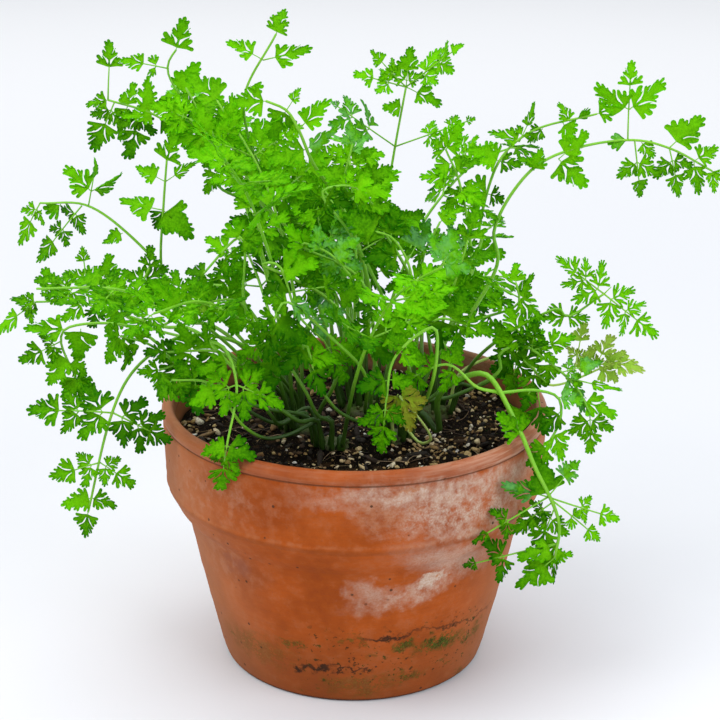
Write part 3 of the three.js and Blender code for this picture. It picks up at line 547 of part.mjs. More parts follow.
    [-5.3,53.5,143.5,19.6,74.7,147.7,0.442,-0.643,0.626,19.6,0.14,5,0,0],
    [-5.3,53.5,143.5,-34.6,56.6,153,0.183,-0.623,0.761,18.2,0.14,5,0,0],
    [-11.3,66.9,159.9,4.7,83.4,164.7,0.427,-0.608,0.669,15.4,0.08,3,0,0],
    [-11.3,66.9,159.9,-33.9,72.7,171,0.26,-0.53,0.807,15.9,0.08,3,0,0],
    [-16.4,77.2,172,-5.9,90.4,177.7,0.333,-0.584,0.74,13.1,0.08,3,0,0],
    [-16.4,77.2,172,-32.9,78,177.3,0.186,-0.704,0.686,13.3,0.08,3,0,0],
    [-20.9,85.6,181.7,-11.8,95.1,193,0.061,-0.788,0.612,16.5,0.05,3,0,4]]],
  ['shoot_back_6', [[2,1.7,8.3,19.6,101.8,8.3,19.6,106.8],[1,0.5,9,20.6,103.3,21.6,37.2,124.5,34.6,52.8,136.7,50.1,70,141.9,66.6,86.6,138],[1,0.5,9.1,20.5,103.3,11.5,22.8,127.2,15,26,144.6,26.8,37,173.5,36.3,45.9,186,45.7,54.7,193.9,56.1,64.4,198.8,67,74.6,200.4],[1,0.5,9.3,20.3,103.3,19.1,28.6,129.9,30.2,38.8,148.1,44.1,52.8,161,59.7,69.7,166.1]], [
    [37.6,56.1,137.7,68.5,45.4,139.6,-0.092,-0.089,0.992,21.1,0.14,5,0,0],
    [37.6,56.1,137.7,30.3,87.2,137.9,-0.173,-0.046,0.984,19.9,0.14,5,0,0],
    [49.3,69.2,141.6,70.8,66.4,136.8,0.236,0.149,0.96,16.3,0.08,3,0,0],
    [49.3,69.2,141.6,41,91.7,141.8,0.12,0.04,0.992,16.1,0.08,3,0,0],
    [58.8,78.8,139.8,72.5,73.8,136.9,0.242,0.09,0.966,10.3,0.08,3,0,0],
    [58.8,78.8,139.8,53.2,92.9,138.8,0.045,0.09,0.995,11.3,0.08,3,0,0],
    [66.6,86.6,138,76.6,92.3,132.1,0.342,0.311,0.887,12.3,0.05,3,0,4],
    [37,46.6,186.6,59.8,29.3,182.1,-0.073,-0.34,0.938,17,0.14,5,0,0],
    [37,46.6,186.6,38.9,73.6,192.6,-0.705,-0.107,0.701,18.7,0.14,5,0,0],
    [48.8,57.6,195.4,44.8,81.2,204.9,-0.624,-0.383,0.681,15.8,0.08,3,0,0],
    [58.7,66.8,199.2,50.1,80.3,199.4,-0.191,-0.134,0.972,12.3,0.08,3,0,0],
    [67,74.6,200.4,80.2,86.9,199.1,0.054,0.05,0.997,17.2,0.05,3,0,4],
    [32.3,40.9,150.1,62.7,37.3,144.6,0.044,-0.703,0.709,21.2,0.14,5,0,0],
    [32.3,40.9,150.1,33.3,65.9,146.3,-0.302,0.155,0.941,15.5,0.14,5,0,0],
    [43.1,51.8,160.1,64.2,45.4,161.6,-0.219,-0.522,0.825,13.9,0.08,3,0,0],
    [43.1,51.8,160.1,33,72.9,159.9,-0.207,-0.09,0.974,17.2,0.08,3,0,0],
    [52.2,61.6,163.6,68.6,57.2,165,-0.041,0.161,0.986,13.6,0.08,3,0,0],
    [52.2,61.6,163.6,48.8,76.4,163.1,-0.128,0.011,0.992,12,0.08,3,0,0],
    [59.7,69.7,166.1,64.7,80.7,168,-0.041,-0.154,0.987,11.7,0.05,3,0,4]]],
  ['shoot_left_back', [[2,1.7,-20.5,-4.9,101.8,-20.5,-4.9,106.8],[1,0.5,-21.1,-4,103.3,-21.9,-2.8,127.4,-23.4,-0.8,145.3,-29.3,6.4,177.2,-40.4,18.4,206,-57.4,34.9,229]], [
    [-34.8,12.3,191.4,-12.4,37.6,206.9,0.64,-0.724,0.257,23.6,0.14,5,0,0],
    [-34.8,12.3,191.4,-54.2,12.7,213.3,0.61,-0.571,0.55,19.6,0.14,5,0,0],
    [-42.5,20.5,208.9,-21.8,31.8,220.3,0.292,-0.888,0.354,18.1,0.08,5,0,0],
    [-42.5,20.5,208.9,-58.6,4.1,221.1,0.623,-0.027,0.781,17,0.08,5,0,0],
    [-50.8,28.5,220,-51.2,29.5,233.4,0.034,-0.996,0.077,9.3,0.08,3,0,0],
    [-57.4,34.9,229,-69.3,37.3,239.6,0.52,-0.497,0.695,15.3,0.05,3,0,4]]],
  ['shoot_inner_front', [[2,1.7,-5.4,-31.3,101.8,-5.4,-31.3,106.8],[1,0.5,-4.8,-32.3,103.3,0.2,-41.2,134.5,7.7,-53.2,160.6,17.7,-68,180.6,31,-86.1,195.1]], [
    [6.3,-51,155.7,-11.1,-74.1,174.1,0.632,0.131,0.764,21.9,0.14,5,0,0],
    [6.3,-51,155.7,35.5,-40.6,166.6,-0.127,-0.521,0.844,19.5,0.14,5,0,0],
    [14.9,-63.9,175,2.9,-82.5,182.6,0.366,0.14,0.92,15.8,0.08,3,0,0],
    [14.9,-63.9,175,38.6,-59.5,179.2,-0.035,-0.584,0.811,16.3,0.08,3,0,0],
    [23.4,-75.7,186.8,14.6,-91,191.5,0.388,0.061,0.919,14,0.08,3,0,0],
    [23.4,-75.7,186.8,37.9,-74.7,191.1,-0.186,-0.608,0.772,11.4,0.08,3,0,0],
    [31,-86.1,195.1,34.8,-94.4,209.8,-0.74,-0.65,-0.177,16.4,0.05,3,0,4]]],
  ['shoot_inner_left', [[2,1.7,-24,-13.3,101.8,-24,-13.3,106.8],[1,0.5,-24.7,-14.2,103.3,-26,-16.3,127.2,-27.9,-19.5,147.8,-33.4,-29.3,182,-40.9,-44.4,210.2,-50.6,-65.7,233.5],[1,0.5,-24.9,-14.1,103.3,-33.4,-20.5,121.2,-43.5,-27.6,138,-63.4,-40.4,160.5,-88.5,-54.6,175.6,-117.3,-69,180.4],[1,0.5,-24.7,-14.2,103.3,-33.4,-24.4,136.3,-44.9,-39.2,159.2,-58.4,-58,172.3,-73.1,-80,174.8]], [
    [-38.4,-39.4,200.9,-16.9,-64.6,219.3,-0.555,0.128,0.822,23.6,0.14,5,0,0],
    [-43.1,-49.2,215.5,-56,-41.5,229.3,-0.076,-0.9,0.43,13.1,0.08,5,0,0],
    [-43.1,-49.2,215.5,-24.9,-68,223.1,-0.376,0.013,0.927,18.5,0.08,5,0,0],
    [-47.2,-58.3,225.4,-60.8,-62.2,232.3,0.503,-0.505,0.702,12.3,0.08,3,0,0],
    [-47.2,-58.3,225.4,-37.6,-70,227.8,-0.338,-0.089,0.937,11,0.08,3,0,0],
    [-50.6,-65.7,233.5,-56.6,-79.2,243,0.779,0.093,0.62,16.7,0.05,3,0,4],
    [-73.2,-45.9,166.4,-100,-23.7,169.5,-0.249,-0.423,0.871,22.8,0.14,5,0,0],
    [-73.2,-45.9,166.4,-76.1,-77.3,176.4,0.647,0.177,0.742,21.8,0.14,5,0,0],
    [-90.4,-55.6,175.9,-108.1,-41.9,177.2,-0.288,-0.452,0.844,13.8,0.08,3,0,0],
    [-90.4,-55.6,175.9,-94.8,-77.8,175.7,0.404,-0.09,0.91,14.1,0.08,3,0,0],
    [-105.3,-63,178.4,-120,-55.1,180.4,-0.17,-0.531,0.83,12.4,0.08,3,0,0],
    [-105.3,-63,178.4,-107,-81.1,177.9,0.209,-0.045,0.977,12.8,0.08,3,0,0],
    [-55.5,-54,169.5,-79.1,-52.1,178.2,0.204,-0.686,0.698,18.2,0.08,3,0,0],
    [-55.5,-54,169.5,-43.4,-76.8,173.9,-0.436,-0.061,0.898,18.1,0.08,3,0,0],
    [-65.1,-68,173.4,-76.5,-68.4,183.9,0.224,-0.952,0.211,11.7,0.08,3,0,0],
    [-65.1,-68,173.4,-59.5,-83.7,172.6,-0.26,-0.144,0.955,11.4,0.08,3,0,0],
    [-73.1,-80,174.8,-82.2,-94,171.8,0.277,-0.371,0.887,16.1,0.05,3,0,4]]]
];

// ---- build ------------------------------------------------------------------------
const group = new THREE.Group();

function add(name, geometry, material) {
  const mesh = new THREE.Mesh(geometry, material);
  mesh.name = name;
  group.add(mesh);
}

// pot: thick rolled lip, straight rim band, rounded shoulder under the band,
// tapering body, flat floor with one drain hole
const potOutline = [
  [DRAIN_R, 0], [FOOT_R - 1.2, 0], [FOOT_R, 1.0], [56.4, 5.3], [60.1, 20], [65.5, 42.6], [68.9, 58.4],
  [70.2, 64.4], [73.3, 68.2], [75.8, 72.7], [77.6, 75.7], [78.6, RIM_BAND_BOTTOM],
  [79.3, 96], [RIM_R, 108], [79.4, 110.6], [77.9, POT_H], [76.0, 111.5], [74.9, 109.6],
  [74.2, 104], [73.2, 88], [69.4, 76], [63.0, 62], [57.6, 40], [48.8, FLOOR_T + 2], [46.6, FLOOR_T], [DRAIN_R, FLOOR_T],
];
add('pot', toGeometry(toSolid(turned(potOutline, POT_SEGMENTS))), terracotta);

// soil: fills the pot, gently heaped, with a socket for each root crown
const soilOutline = [
  [0, FLOOR_T + GAP], [46.4 - GAP, FLOOR_T + GAP], [48.4 - GAP, FLOOR_T + 2.3], [57.1 - GAP, 40.2], [62.5 - GAP, 62.2],
  [68.9 - GAP, 76.3], [72.7 - GAP, 88.3], [73.5 - GAP, SOIL_Z], [66, SOIL_Z + SOIL_RISE * 0.3], [50, SOIL_Z + SOIL_RISE * 0.65],
  [28, SOIL_Z + SOIL_RISE * 0.92], [0, SOIL_Z + SOIL_RISE],
];
let soil = toSolid(turned(soilOutline, 24));
const crownOutline = [[0, 84], [2.2, 86], [4.6, 91], [7.6, 96], [9.0, 98.8], [8.8, 100.4], [7.8, CROWN_TOP], [0, CROWN_TOP]];
const socketOutline = [[0, 84 - GAP], [2.2 + GAP, 86 - GAP], [4.6 + GAP, 91 - GAP], [7.6 + GAP, 96 - GAP], [9.0 + GAP, 98.8 - GAP], [9.0 + GAP, 110], [0, 110]];
for (const [x, y] of CROWNS) {
  const socket = turned(socketOutline, 10);
  socket.translate(x, y, 0);
  soil = soil.subtract(toSolid(socket));
}
add('soil', toGeometry(soil), earth);
CROWNS.forEach(([x, y], i) => {
  const g = turned(crownOutline, 10);
  g.translate(x, y, 0);
  add(`root_crown_${i + 1}`, toGeometry(toSolid(g)), crownGreen);
});

// A pocket closed in where plates of one frond cross is filled: only the
// outer skin of the joined solid is kept.
const largest = (shells) => shells.reduce((best, s) => (s.volume() > best.volume() ? s : best), shells[0]);

function outerSkin(solid) {
  return largest(largest(solid.decompose()).asOriginal().simplify(MERGE_TOL).decompose());
}

// fronds: stalks and leaf plates joined into one solid each
for (const [name, stalks, plates] of FRONDS) {
  let solid = null;
  const join = (g) => { const s = toSolid(g); solid = solid ? solid.add(s) : s; };
  for (const [r0, r1, ...xyz] of stalks) {
    const pts = [];
    for (let i = 0; i < xyz.length; i += 3) pts.push(new THREE.Vector3(xyz[i], xyz[i + 1], xyz[i + 2]));
    join(stalk(pts, r0, r1, r0 >= 2 && pts.length === 2 ? HUB_SIDES : STALK_SIDES));
  }
  for (const [bx, by, bz, tx, ty, tz, nx, ny, nz, width, petiole, kind] of plates) {
    join(plate(new THREE.Vector3(bx, by, bz), new THREE.Vector3(tx, ty, tz), new THREE.Vector3(nx, ny, nz), width, petiole, kind));
  }
  add(name, toGeometry(outerSkin(solid)), leafGreen);
}

export default group;
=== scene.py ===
import json
import math
import bpy
import numpy as np
from mathutils import Matrix, Vector, geometry

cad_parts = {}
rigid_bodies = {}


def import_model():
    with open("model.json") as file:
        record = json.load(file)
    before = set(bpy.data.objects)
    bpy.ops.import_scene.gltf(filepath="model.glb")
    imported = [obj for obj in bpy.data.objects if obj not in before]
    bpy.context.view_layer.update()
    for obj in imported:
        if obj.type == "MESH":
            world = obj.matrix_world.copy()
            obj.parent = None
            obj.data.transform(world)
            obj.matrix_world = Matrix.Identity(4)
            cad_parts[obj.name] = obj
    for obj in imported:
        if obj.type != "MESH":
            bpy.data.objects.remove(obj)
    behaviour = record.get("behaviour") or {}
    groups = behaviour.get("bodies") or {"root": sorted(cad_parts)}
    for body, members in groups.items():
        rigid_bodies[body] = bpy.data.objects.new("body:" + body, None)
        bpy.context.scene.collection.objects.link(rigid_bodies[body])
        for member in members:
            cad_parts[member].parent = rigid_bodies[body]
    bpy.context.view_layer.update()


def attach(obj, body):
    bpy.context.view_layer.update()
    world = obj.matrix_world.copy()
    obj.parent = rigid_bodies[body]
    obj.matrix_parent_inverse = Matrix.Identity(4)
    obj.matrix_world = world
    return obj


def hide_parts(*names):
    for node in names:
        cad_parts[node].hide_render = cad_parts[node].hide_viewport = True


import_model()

MM = 0.001
scene = bpy.context.scene
collection = scene.collection


# ---------------------------------------------------------------- small maths
def unit(v):
    v = np.asarray(v, float)
    n = np.linalg.norm(v)
    return v / n if n > 1e-12 else v


def turn(v, axis, angle):
    """v turned about axis by angle, in radians."""
    axis = unit(axis)
    c, s = math.cos(angle), math.sin(angle)
    return v * c + np.cross(axis, v) * s + axis * (axis @ v) * (1 - c)


def hash01(*k):
    """A repeatable number from 0 to 1 for a tuple of integers."""
    h = 2166136261
    for x in k:
        h = ((h ^ (int(x) & 0xFFFFFFFF)) * 16777619) & 0xFFFFFFFF
        h ^= h >> 13
    return ((h * 2654435761) & 0xFFFFFFFF) / 4294967296.0


def lattice(seed, n=64):
    return np.random.RandomState(seed).uniform(-1, 1, (n, n, n))


LATTICE = {}


def noise3(p, scale, seed=1, octaves=1, gain=0.5):
    """Smooth value noise, about -1 to 1, at points p (n, 3) with features about `scale` long."""
    if seed not in LATTICE:
        LATTICE[seed] = lattice(seed)
    g = LATTICE[seed]
    out, amp, total = 0.0, 1.0, 0.0
    q = np.asarray(p, float) / scale + 17.3
    for _ in range(octaves):
        i = np.floor(q).astype(int)
        f = q - i
        f = f * f * (3 - 2 * f)
        v = 0.0
        for a in (0, 1):
            for b in (0, 1):
                for c in (0, 1):
                    w = ((f[:, 0] if a else 1 - f[:, 0]) * (f[:, 1] if b else 1 - f[:, 1]) * (f[:, 2] if c else 1 - f[:, 2]))
                    v = v + w * g[(i[:, 0] + a) % 64, (i[:, 1] + b) % 64, (i[:, 2] + c) % 64]
        out = out + amp * v
        total += amp
        amp *= gain
        q = q * 2.03 + 5.1
    return out / total


def catmull(points, per=8):
    """A smooth line through points, with `per` steps between each two."""
    p = np.asarray(points, float)
    if len(p) == 2:
        t = np.linspace(0, 1, per + 1)[:, None]
        return p[0] * (1 - t) + p[1] * t
    q = np.vstack([2 * p[0] - p[1], p, 2 * p[-1] - p[-2]])
    out = []
    for i in range(1, len(q) - 2):
        a, b, c, d = q[i - 1], q[i], q[i + 1], q[i + 2]
        # centripetal spacing keeps uneven points from looping
        ta = max(np.linalg.norm(b - a), 1e-6) ** 0.5
        tb = max(np.linalg.norm(c - b), 1e-6) ** 0.5
        tc = max(np.linalg.norm(d - c), 1e-6) ** 0.5
        m1 = (c - b) + tb * ((b - a) / ta - (c - a) / (ta + tb))
        m2 = (c - b) + tb * ((d - c) / tc - (d - b) / (tb + tc))
        for j in range(per):
            t = j / per
            out.append((2 * (b - c) + m1 + m2) * t ** 3 + (3 * (c - b) - 2 * m1 - m2) * t ** 2 + m1 * t + b)
    out.append(p[-1])
    return np.array(out)


def resampled(line, step):
    d = np.r_[0, np.cumsum(np.linalg.norm(np.diff(line, axis=0), axis=1))]
    n = max(2, int(round(d[-1] / step)))
    s = np.linspace(0, d[-1], n + 1)
    return np.stack([np.interp(s, d, line[:, k]) for k in range(3)], -1)


# ---------------------------------------------------------------- meshes
class Soup:
    """Collects vertices and faces, in millimetres, for one piece."""

    def __init__(self):
        self.v, self.f, self.m, self.n = [], [], [], 0
        self.attr = {}          # corner attributes: name -> list of arrays, one value a triangle corner
        self.sharp = []

    def add(self, verts, tris, material=0, sharp=None, **corner):
        verts = np.asarray(verts, float)
        tris = np.asarray(tris, int)
        self.v.append(verts)
        self.f.append(tris + self.n)
        self.m.append(np.full(len(tris), material, int))
        if sharp is not None and len(sharp):
            self.sharp.append(np.asarray(sharp, int) + self.n)
        names = set(self.attr) | set(corner)
        had = sum(len(x) for x in self.f[:-1])
        for name in names:
            if name not in self.attr:
                self.attr[name] = [np.zeros((had, 3))] if had else []
            value = corner.get(name, 0.0)
            value = np.asarray(value, float)
            if value.ndim == 0:
                value = np.full((len(tris), 3), float(value))
            elif value.ndim == 1:           # one value a vertex
                value = value[tris]
            self.attr[name].append(value)
        self.n += len(verts)

    def build(self, name, materials, smooth=True):
        v = np.vstack(self.v) * MM
        f = np.vstack(self.f)
        me = bpy.data.meshes.new(name)
        me.vertices.add(len(v))
        me.vertices.foreach_set("co", v.astype(np.float32).ravel())
        me.loops.add(len(f) * 3)
        me.loops.foreach_set("vertex_index", f.astype(np.int32).ravel())
        me.polygons.add(len(f))
        me.polygons.foreach_set("loop_start", np.arange(0, len(f) * 3, 3, dtype=np.int32))
        for mat in materials:
            me.materials.append(mat)
        me.polygons.foreach_set("material_index", np.concatenate(self.m).astype(np.int32))
        me.update(calc_edges=True)
        me.polygons.foreach_set("use_smooth", np.full(len(me.polygons), smooth))
        if self.sharp:
            want = {tuple(sorted(e)) for e in np.vstack(self.sharp).tolist()}
            ev = np.zeros(len(me.edges) * 2, np.int32)
            me.edges.foreach_get("vertices", ev)
            ev = ev.reshape(-1, 2)
            ev.sort(axis=1)
            flags = np.fromiter((tuple(e) in want for e in ev.tolist()), bool, len(ev))
            attribute = me.attributes.get("sharp_edge") or me.attributes.new("sharp_edge", "BOOLEAN", "EDGE")
            attribute.data.foreach_set("value", flags)
        for key, parts in self.attr.items():
            value = np.vstack(parts).ravel().astype(np.float32)
            a = me.attributes.new(key, "FLOAT", "CORNER")
            a.data.foreach_set("value", value)
        me.update()
        ob = bpy.data.objects.new(name, me)
        collection.objects.link(ob)
        return ob


def grid_tris(rows, cols, wrap=False):
    """Triangles of a grid of rows x cols vertices; the columns close on themselves if wrap."""
    i, j = np.meshgrid(np.arange(rows - 1), np.arange(cols if wrap else cols - 1), indexing="ij")
    a = (i * cols + j).ravel()
    b = (i * cols + (j + 1) % cols).ravel()
    c, d = a + cols, b + cols
    return np.vstack([np.stack([a, b, d], 1), np.stack([a, d, c], 1)])


def tube(soup, line, radius, sides=8, material=0, ridges=0, ridge=0.0, phase=0.0, cap=True, **corner):
    """A round or ridged stalk along a line, with one radius a point, closed at both ends."""
    line = np.asarray(line, float)
    n = len(line)
    t = np.gradient(line, axis=0)
    t /= np.maximum(np.linalg.norm(t, axis=1), 1e-9)[:, None]
    side = np.cross(t[0], [0, 0, 1.0] if abs(t[0][2]) < 0.9 else [1.0, 0, 0])
    side = unit(side)
    ring = np.arange(sides) * 2 * math.pi / sides + phase
    verts = []
    for i in range(n):
        side = unit(side - t[i] * (side @ t[i]))
        other = np.cross(t[i], side)
        r = radius[i] * (1 + ridge * np.cos(ridges * ring)) if ridges else np.full(sides, radius[i])
        verts.append(line[i] + (np.cos(ring) * r)[:, None] * side + (np.sin(ring) * r)[:, None] * other)
    verts = np.vstack(verts)
    tris = grid_tris(n, sides, wrap=True)
    along = np.repeat(np.linspace(0, 1, n), sides)
    around = np.tile(np.cos(ring * 1.0) * 0.5 + 0.5, n)
    if cap:
        verts = np.vstack([verts, line[0] - t[0] * radius[0] * 0.3, line[-1] + t[-1] * radius[-1] * 0.8])
        j = np.arange(sides)
        k = (j + 1) % sides
        base = (n - 1) * sides
        tris = np.vstack([tris, np.stack([np.full(sides, n * sides), k, j], 1),
                          np.stack([np.full(sides, n * sides + 1), base + j, base + k], 1)])
        along = np.r_[along, 0, 1]
        around = np.r_[around, 0.5, 0.5]
    # faces point outwards
    a, b, c = verts[tris[0]]
    if np.dot(np.cross(b - a, c - a), a - line[0]) < 0:
        tris = tris[:, ::-1]
    soup.add(verts, tris, material, along=along, around=around, **corner)


# ---------------------------------------------------------------- leaves
# A leaf is drawn from its veins. Rays fan out from the base of each part; neighbouring rays fuse into a
# blade and each ends in a small tooth. Narrow gaps part the side parts from the middle one. Lengths are
# in leaf lengths, x along the midrib and y across.
def finger_plan(kind, rs):
    """Veins and gaps as (x0, y0, r0, x1, y1, r1) with tapering half widths, for one leaf."""
    veins, gaps = [], []

    def way(a):
        return np.array([math.cos(a), math.sin(a)])

    def fan(base, angle, length, half, count, point=0.16, neck=0.02, bite=1.0, bend=0.0, fat=1.0):
        """A wedge that parts into `count` blunt fingers; the middle one is longest. `bite` parts them deeper."""
        base = np.asarray(base, float)
        a, h = math.radians(angle), math.radians(half)
        gap = 2 * h / max(count - 1, 1)
        for k in range(count):
            t = k / (count - 1) * 2 - 1 if count > 1 else 0.0
            fa = a + h * t + gap * rs.uniform(-0.13, 0.13)
            reach = length * (1 - point * abs(t) ** 1.5) * rs.uniform(0.90, 1.05)
            f1 = (0.70 if k % 2 else 0.64) - 0.16 * (bite - 1)
            wide = reach * f1 * gap * 0.515 * fat
            part_at = base + way(fa) * reach * f1
            tip = base + way(fa + bend * t * 0.25 + rs.uniform(-0.05, 0.05)) * max(reach - wide, reach * f1 + 0.02)
            veins.append((base[0], base[1], neck, part_at[0], part_at[1], max(neck, wide)))
            veins.append((part_at[0], part_at[1], wide, tip[0], tip[1], wide * rs.uniform(0.92, 1.06)))

    def part(points, widths, side, f=1.0):
        for k in range(len(points) - 1):
            gaps.append((points[k][0], side * points[k][1], widths[k] * f, points[k + 1][0], side * points[k + 1][1], widths[k + 1] * f))

    tilt = rs.uniform(-4, 4)
    if kind == "fan":
        # a small leaf: one wedge of blunt fingers, now and then parted once on each side
        n = rs.randint(5, 7)
        fan((0.02, 0), tilt, 0.98, 9.2 * n - 6, n, 0.26, 0.030, 1.12)
        for side in (1, -1):
            if rs.uniform() < 0.55:
                a = math.radians(rs.uniform(17, 26))
                part([(0.34 * math.cos(a), 0.34 * math.sin(a)), (0.80 * math.cos(a), 0.80 * math.sin(a))], [0.006, 0.026], side)
        return veins, gaps
    if kind == "five":
        for side in (1, -1):
            fan((0.0, 0), side * rs.uniform(54, 62), rs.uniform(0.44, 0.50), 22, 3, 0.14, 0.018, 1.1, bend=0.2)
            fan((0.27, side * 0.012), side * rs.uniform(44, 52), rs.uniform(0.40, 0.45), 20, 3, 0.14, 0.018, 1.1)
            fan((0.53, side * 0.012), side * rs.uniform(34, 40), rs.uniform(0.28, 0.33), 11, 2, 0.05, 0.026, 1.0)
        fan((0.56, 0), tilt, rs.uniform(0.42, 0.47), 20, 3, 0.20, 0.032, 1.1)
        veins.append((0, 0, 0.020, 0.30, 0, 0.022))
        veins.append((0.30, 0, 0.022, 0.60, 0, 0.040))
        return veins, gaps
    bite = {"broad": 0.85, "plain": 1.15, "fine": 1.5}[kind]
    fat = {"broad": 1.14, "plain": 1.08, "fine": 0.92}[kind]
    gapw = {"broad": 0.55, "plain": 0.78, "fine": 1.15}[kind]
    for side in (1, -1):
        w = gapw * rs.uniform(0.7, 1.25)
        n = rs.randint(3, 5)
        fan((0.0, side * 0.004), side * rs.uniform(46, 54), rs.uniform(0.56, 0.64), 8.3 * n - 5.5, n, 0.11, 0.024, bite, bend=0.25, fat=fat)
        m = rs.randint(2, 4)
        fan((0.25, side * 0.006), side * rs.uniform(31, 37), rs.uniform(0.42, 0.50), 6.4 * m - 3, m, 0.10, 0.030, bite, fat=fat)
        # the eye-shaped gap beside the midrib, running out between the side part and the middle part
        k = rs.randint(1, 3) if kind == "broad" else 0
        lean = math.radians(rs.uniform(-4, 3))
        cl, sl = math.cos(lean), math.sin(lean)
        path = [(0.09, 0.052), (0.17, 0.078), (0.26, 0.115), (0.33, 0.172), (0.39, 0.245), (0.44, 0.33), (0.52, 0.46)]
        path = [(x * cl - y * sl, y * cl + x * sl) for x, y in path]
        part(path[k:], [0.008, 0.024, 0.028, 0.020, 0.013, 0.014, 0.022][k:], side, w)
        a = math.radians(rs.uniform(24, 31))
        if rs.uniform() < {"broad": 0.4, "plain": 0.8, "fine": 1.0}[kind]:
            part([(0.45, 0.088), (0.45 + 0.36 * math.cos(a), 0.088 + 0.36 * math.sin(a))], [0.005, 0.019], side, w)
    veins.append((0, 0, 0.028, 0.24, 0, 0.036))
    veins.append((0.24, 0, 0.036, 0.52, 0, 0.066 * fat))
    for side in (1, -1):
        if rs.uniform() < 0.75:
            fan((0.50, side * 0.012), side * rs.uniform(33, 40), rs.uniform(0.27, 0.33), 9, 2, 0.05, 0.036, bite, fat=fat)
    n = rs.randint(3, 5)
    fan((0.48, 0), tilt, rs.uniform(0.47, 0.52), 9.5 * (n - 1), n, 0.13, 0.048 * fat, bite, fat=fat)
    return veins, gaps


def blade_field(veins, x, y, k=0.008):
    """Signed distance (below 0 inside) to the blended fingers, and the plain distance to the nearest vein."""
    d, v = None, None
    for x0, y0, r0, x1, y1, r1 in veins:
        ax, ay = x1 - x0, y1 - y0
        t = np.clip(((x - x0) * ax + (y - y0) * ay) / (ax * ax + ay * ay), 0, 1)
        u = np.hypot(x - x0 - t * ax, y - y0 - t * ay)
        f = u - (r0 + (r1 - r0) * t)
        if d is None:
            d, v = f, u
        else:
            h = np.clip(0.5 + 0.5 * (d - f) / k, 0, 1)
            d = f * h + d * (1 - h) - k * h * (1 - h)
            v = np.minimum(v, u)
    return d, v


def cut_field(veins, slits, x, y):
    d, v = blade_field(veins, x, y)
    if slits:
        c, _ = blade_field(slits, x, y, 0.004)
        d = np.maximum(d, -c)
    return d, v


def outline_of(veins, slits, step=0.0105):
    """The blade's outer edge as one closed loop of points, by marching squares."""
    xs = np.arange(-0.06, 1.10, step)
    ys = np.arange(-0.82, 0.82 + step, step)
    X, Y = np.meshgrid(xs, ys, indexing="ij")
    D, _ = cut_field(veins, slits, X, Y)
    inside = D < 0
    links = {}

    def cross(i, j, horizontal):
        a = D[i, j]
        b = D[i + 1, j] if horizontal else D[i, j + 1]
        t = a / (a - b)
        return (xs[i] + step * t, ys[j]) if horizontal else (xs[i], ys[j] + step * t)

    code = (inside[:-1, :-1].astype(int) + 2 * inside[1:, :-1] + 4 * inside[1:, 1:] + 8 * inside[:-1, 1:])
    table = {1: [(3, 0)], 2: [(0, 1)], 3: [(3, 1)], 4: [(1, 2)], 5: [(3, 2), (1, 0)], 6: [(0, 2)], 7: [(3, 2)],
             8: [(2, 3)], 9: [(2, 0)], 10: [(0, 3), (2, 1)], 11: [(2, 1)], 12: [(1, 3)], 13: [(1, 0)], 14: [(0, 3)]}
    for i, j in zip(*np.nonzero((code > 0) & (code < 15))):
        keys = [("h", i, j), ("v", i + 1, j), ("h", i, j + 1), ("v", i, j)]
        for a, b in table[code[i, j]]:
            links[keys[a]] = keys[b]
    loops = []
    left = dict(links)
    while left:
        start = next(iter(left))
        loop, at = [], start
        while at in left:
            loop.append(at)
            at = left.pop(at)
        loops.append(loop)
    best, area = None, 0
    for loop in loops:
        pts = np.array([cross(k[1], k[2], k[0] == "h") for k in loop])
        s = 0.5 * np.sum(pts[:, 0] * np.roll(pts[:, 1], -1) - np.roll(pts[:, 0], -1) * pts[:, 1])
        if abs(s) > abs(area):
            best, area = pts, s
    return best if area > 0 else best[::-1]


def thinned(loop, tol, most):
    """Fewer points on a closed loop: none moves the edge by more than tol, and no gap is longer than `most`."""
    n = len(loop)
    far = int(np.argmax(np.hypot(*(loop - loop[0]).T)))
    keep = {0, far}

    def split(a, b):
        if b - a < 2:
            return
        p, q = loop[a % n], loop[b % n]
        idx = np.arange(a + 1, b) % n
        d = q - p
        L = math.hypot(*d)
        r = loop[idx] - p
        off = np.abs(r[:, 0] * d[1] - r[:, 1] * d[0]) / max(L, 1e-9) if L > 1e-9 else np.hypot(*r.T)
        k = int(np.argmax(off))
        if off[k] > tol:
            keep.add((a + 1 + k) % n)
            split(a, a + 1 + k)
            split(a + 1 + k, b)
        elif L > most:
            m = (a + b) // 2
            keep.add(m % n)
            split(a, m)
            split(m, b)

    split(0, far)
    split(far, n)
    return loop[sorted(keep)]


def in_loop(loop, pts):
    x, y = pts[:, 0], pts[:, 1]
    inside = np.zeros(len(pts), bool)
    for (x0, y0), (x1, y1) in zip(loop, np.roll(loop, -1, axis=0)):
        if y0 == y1:
            continue
        hit = ((y0 > y) != (y1 > y)) & (x < (x1 - x0) * (y - y0) / (y1 - y0) + x0)
        inside ^= hit
    return inside


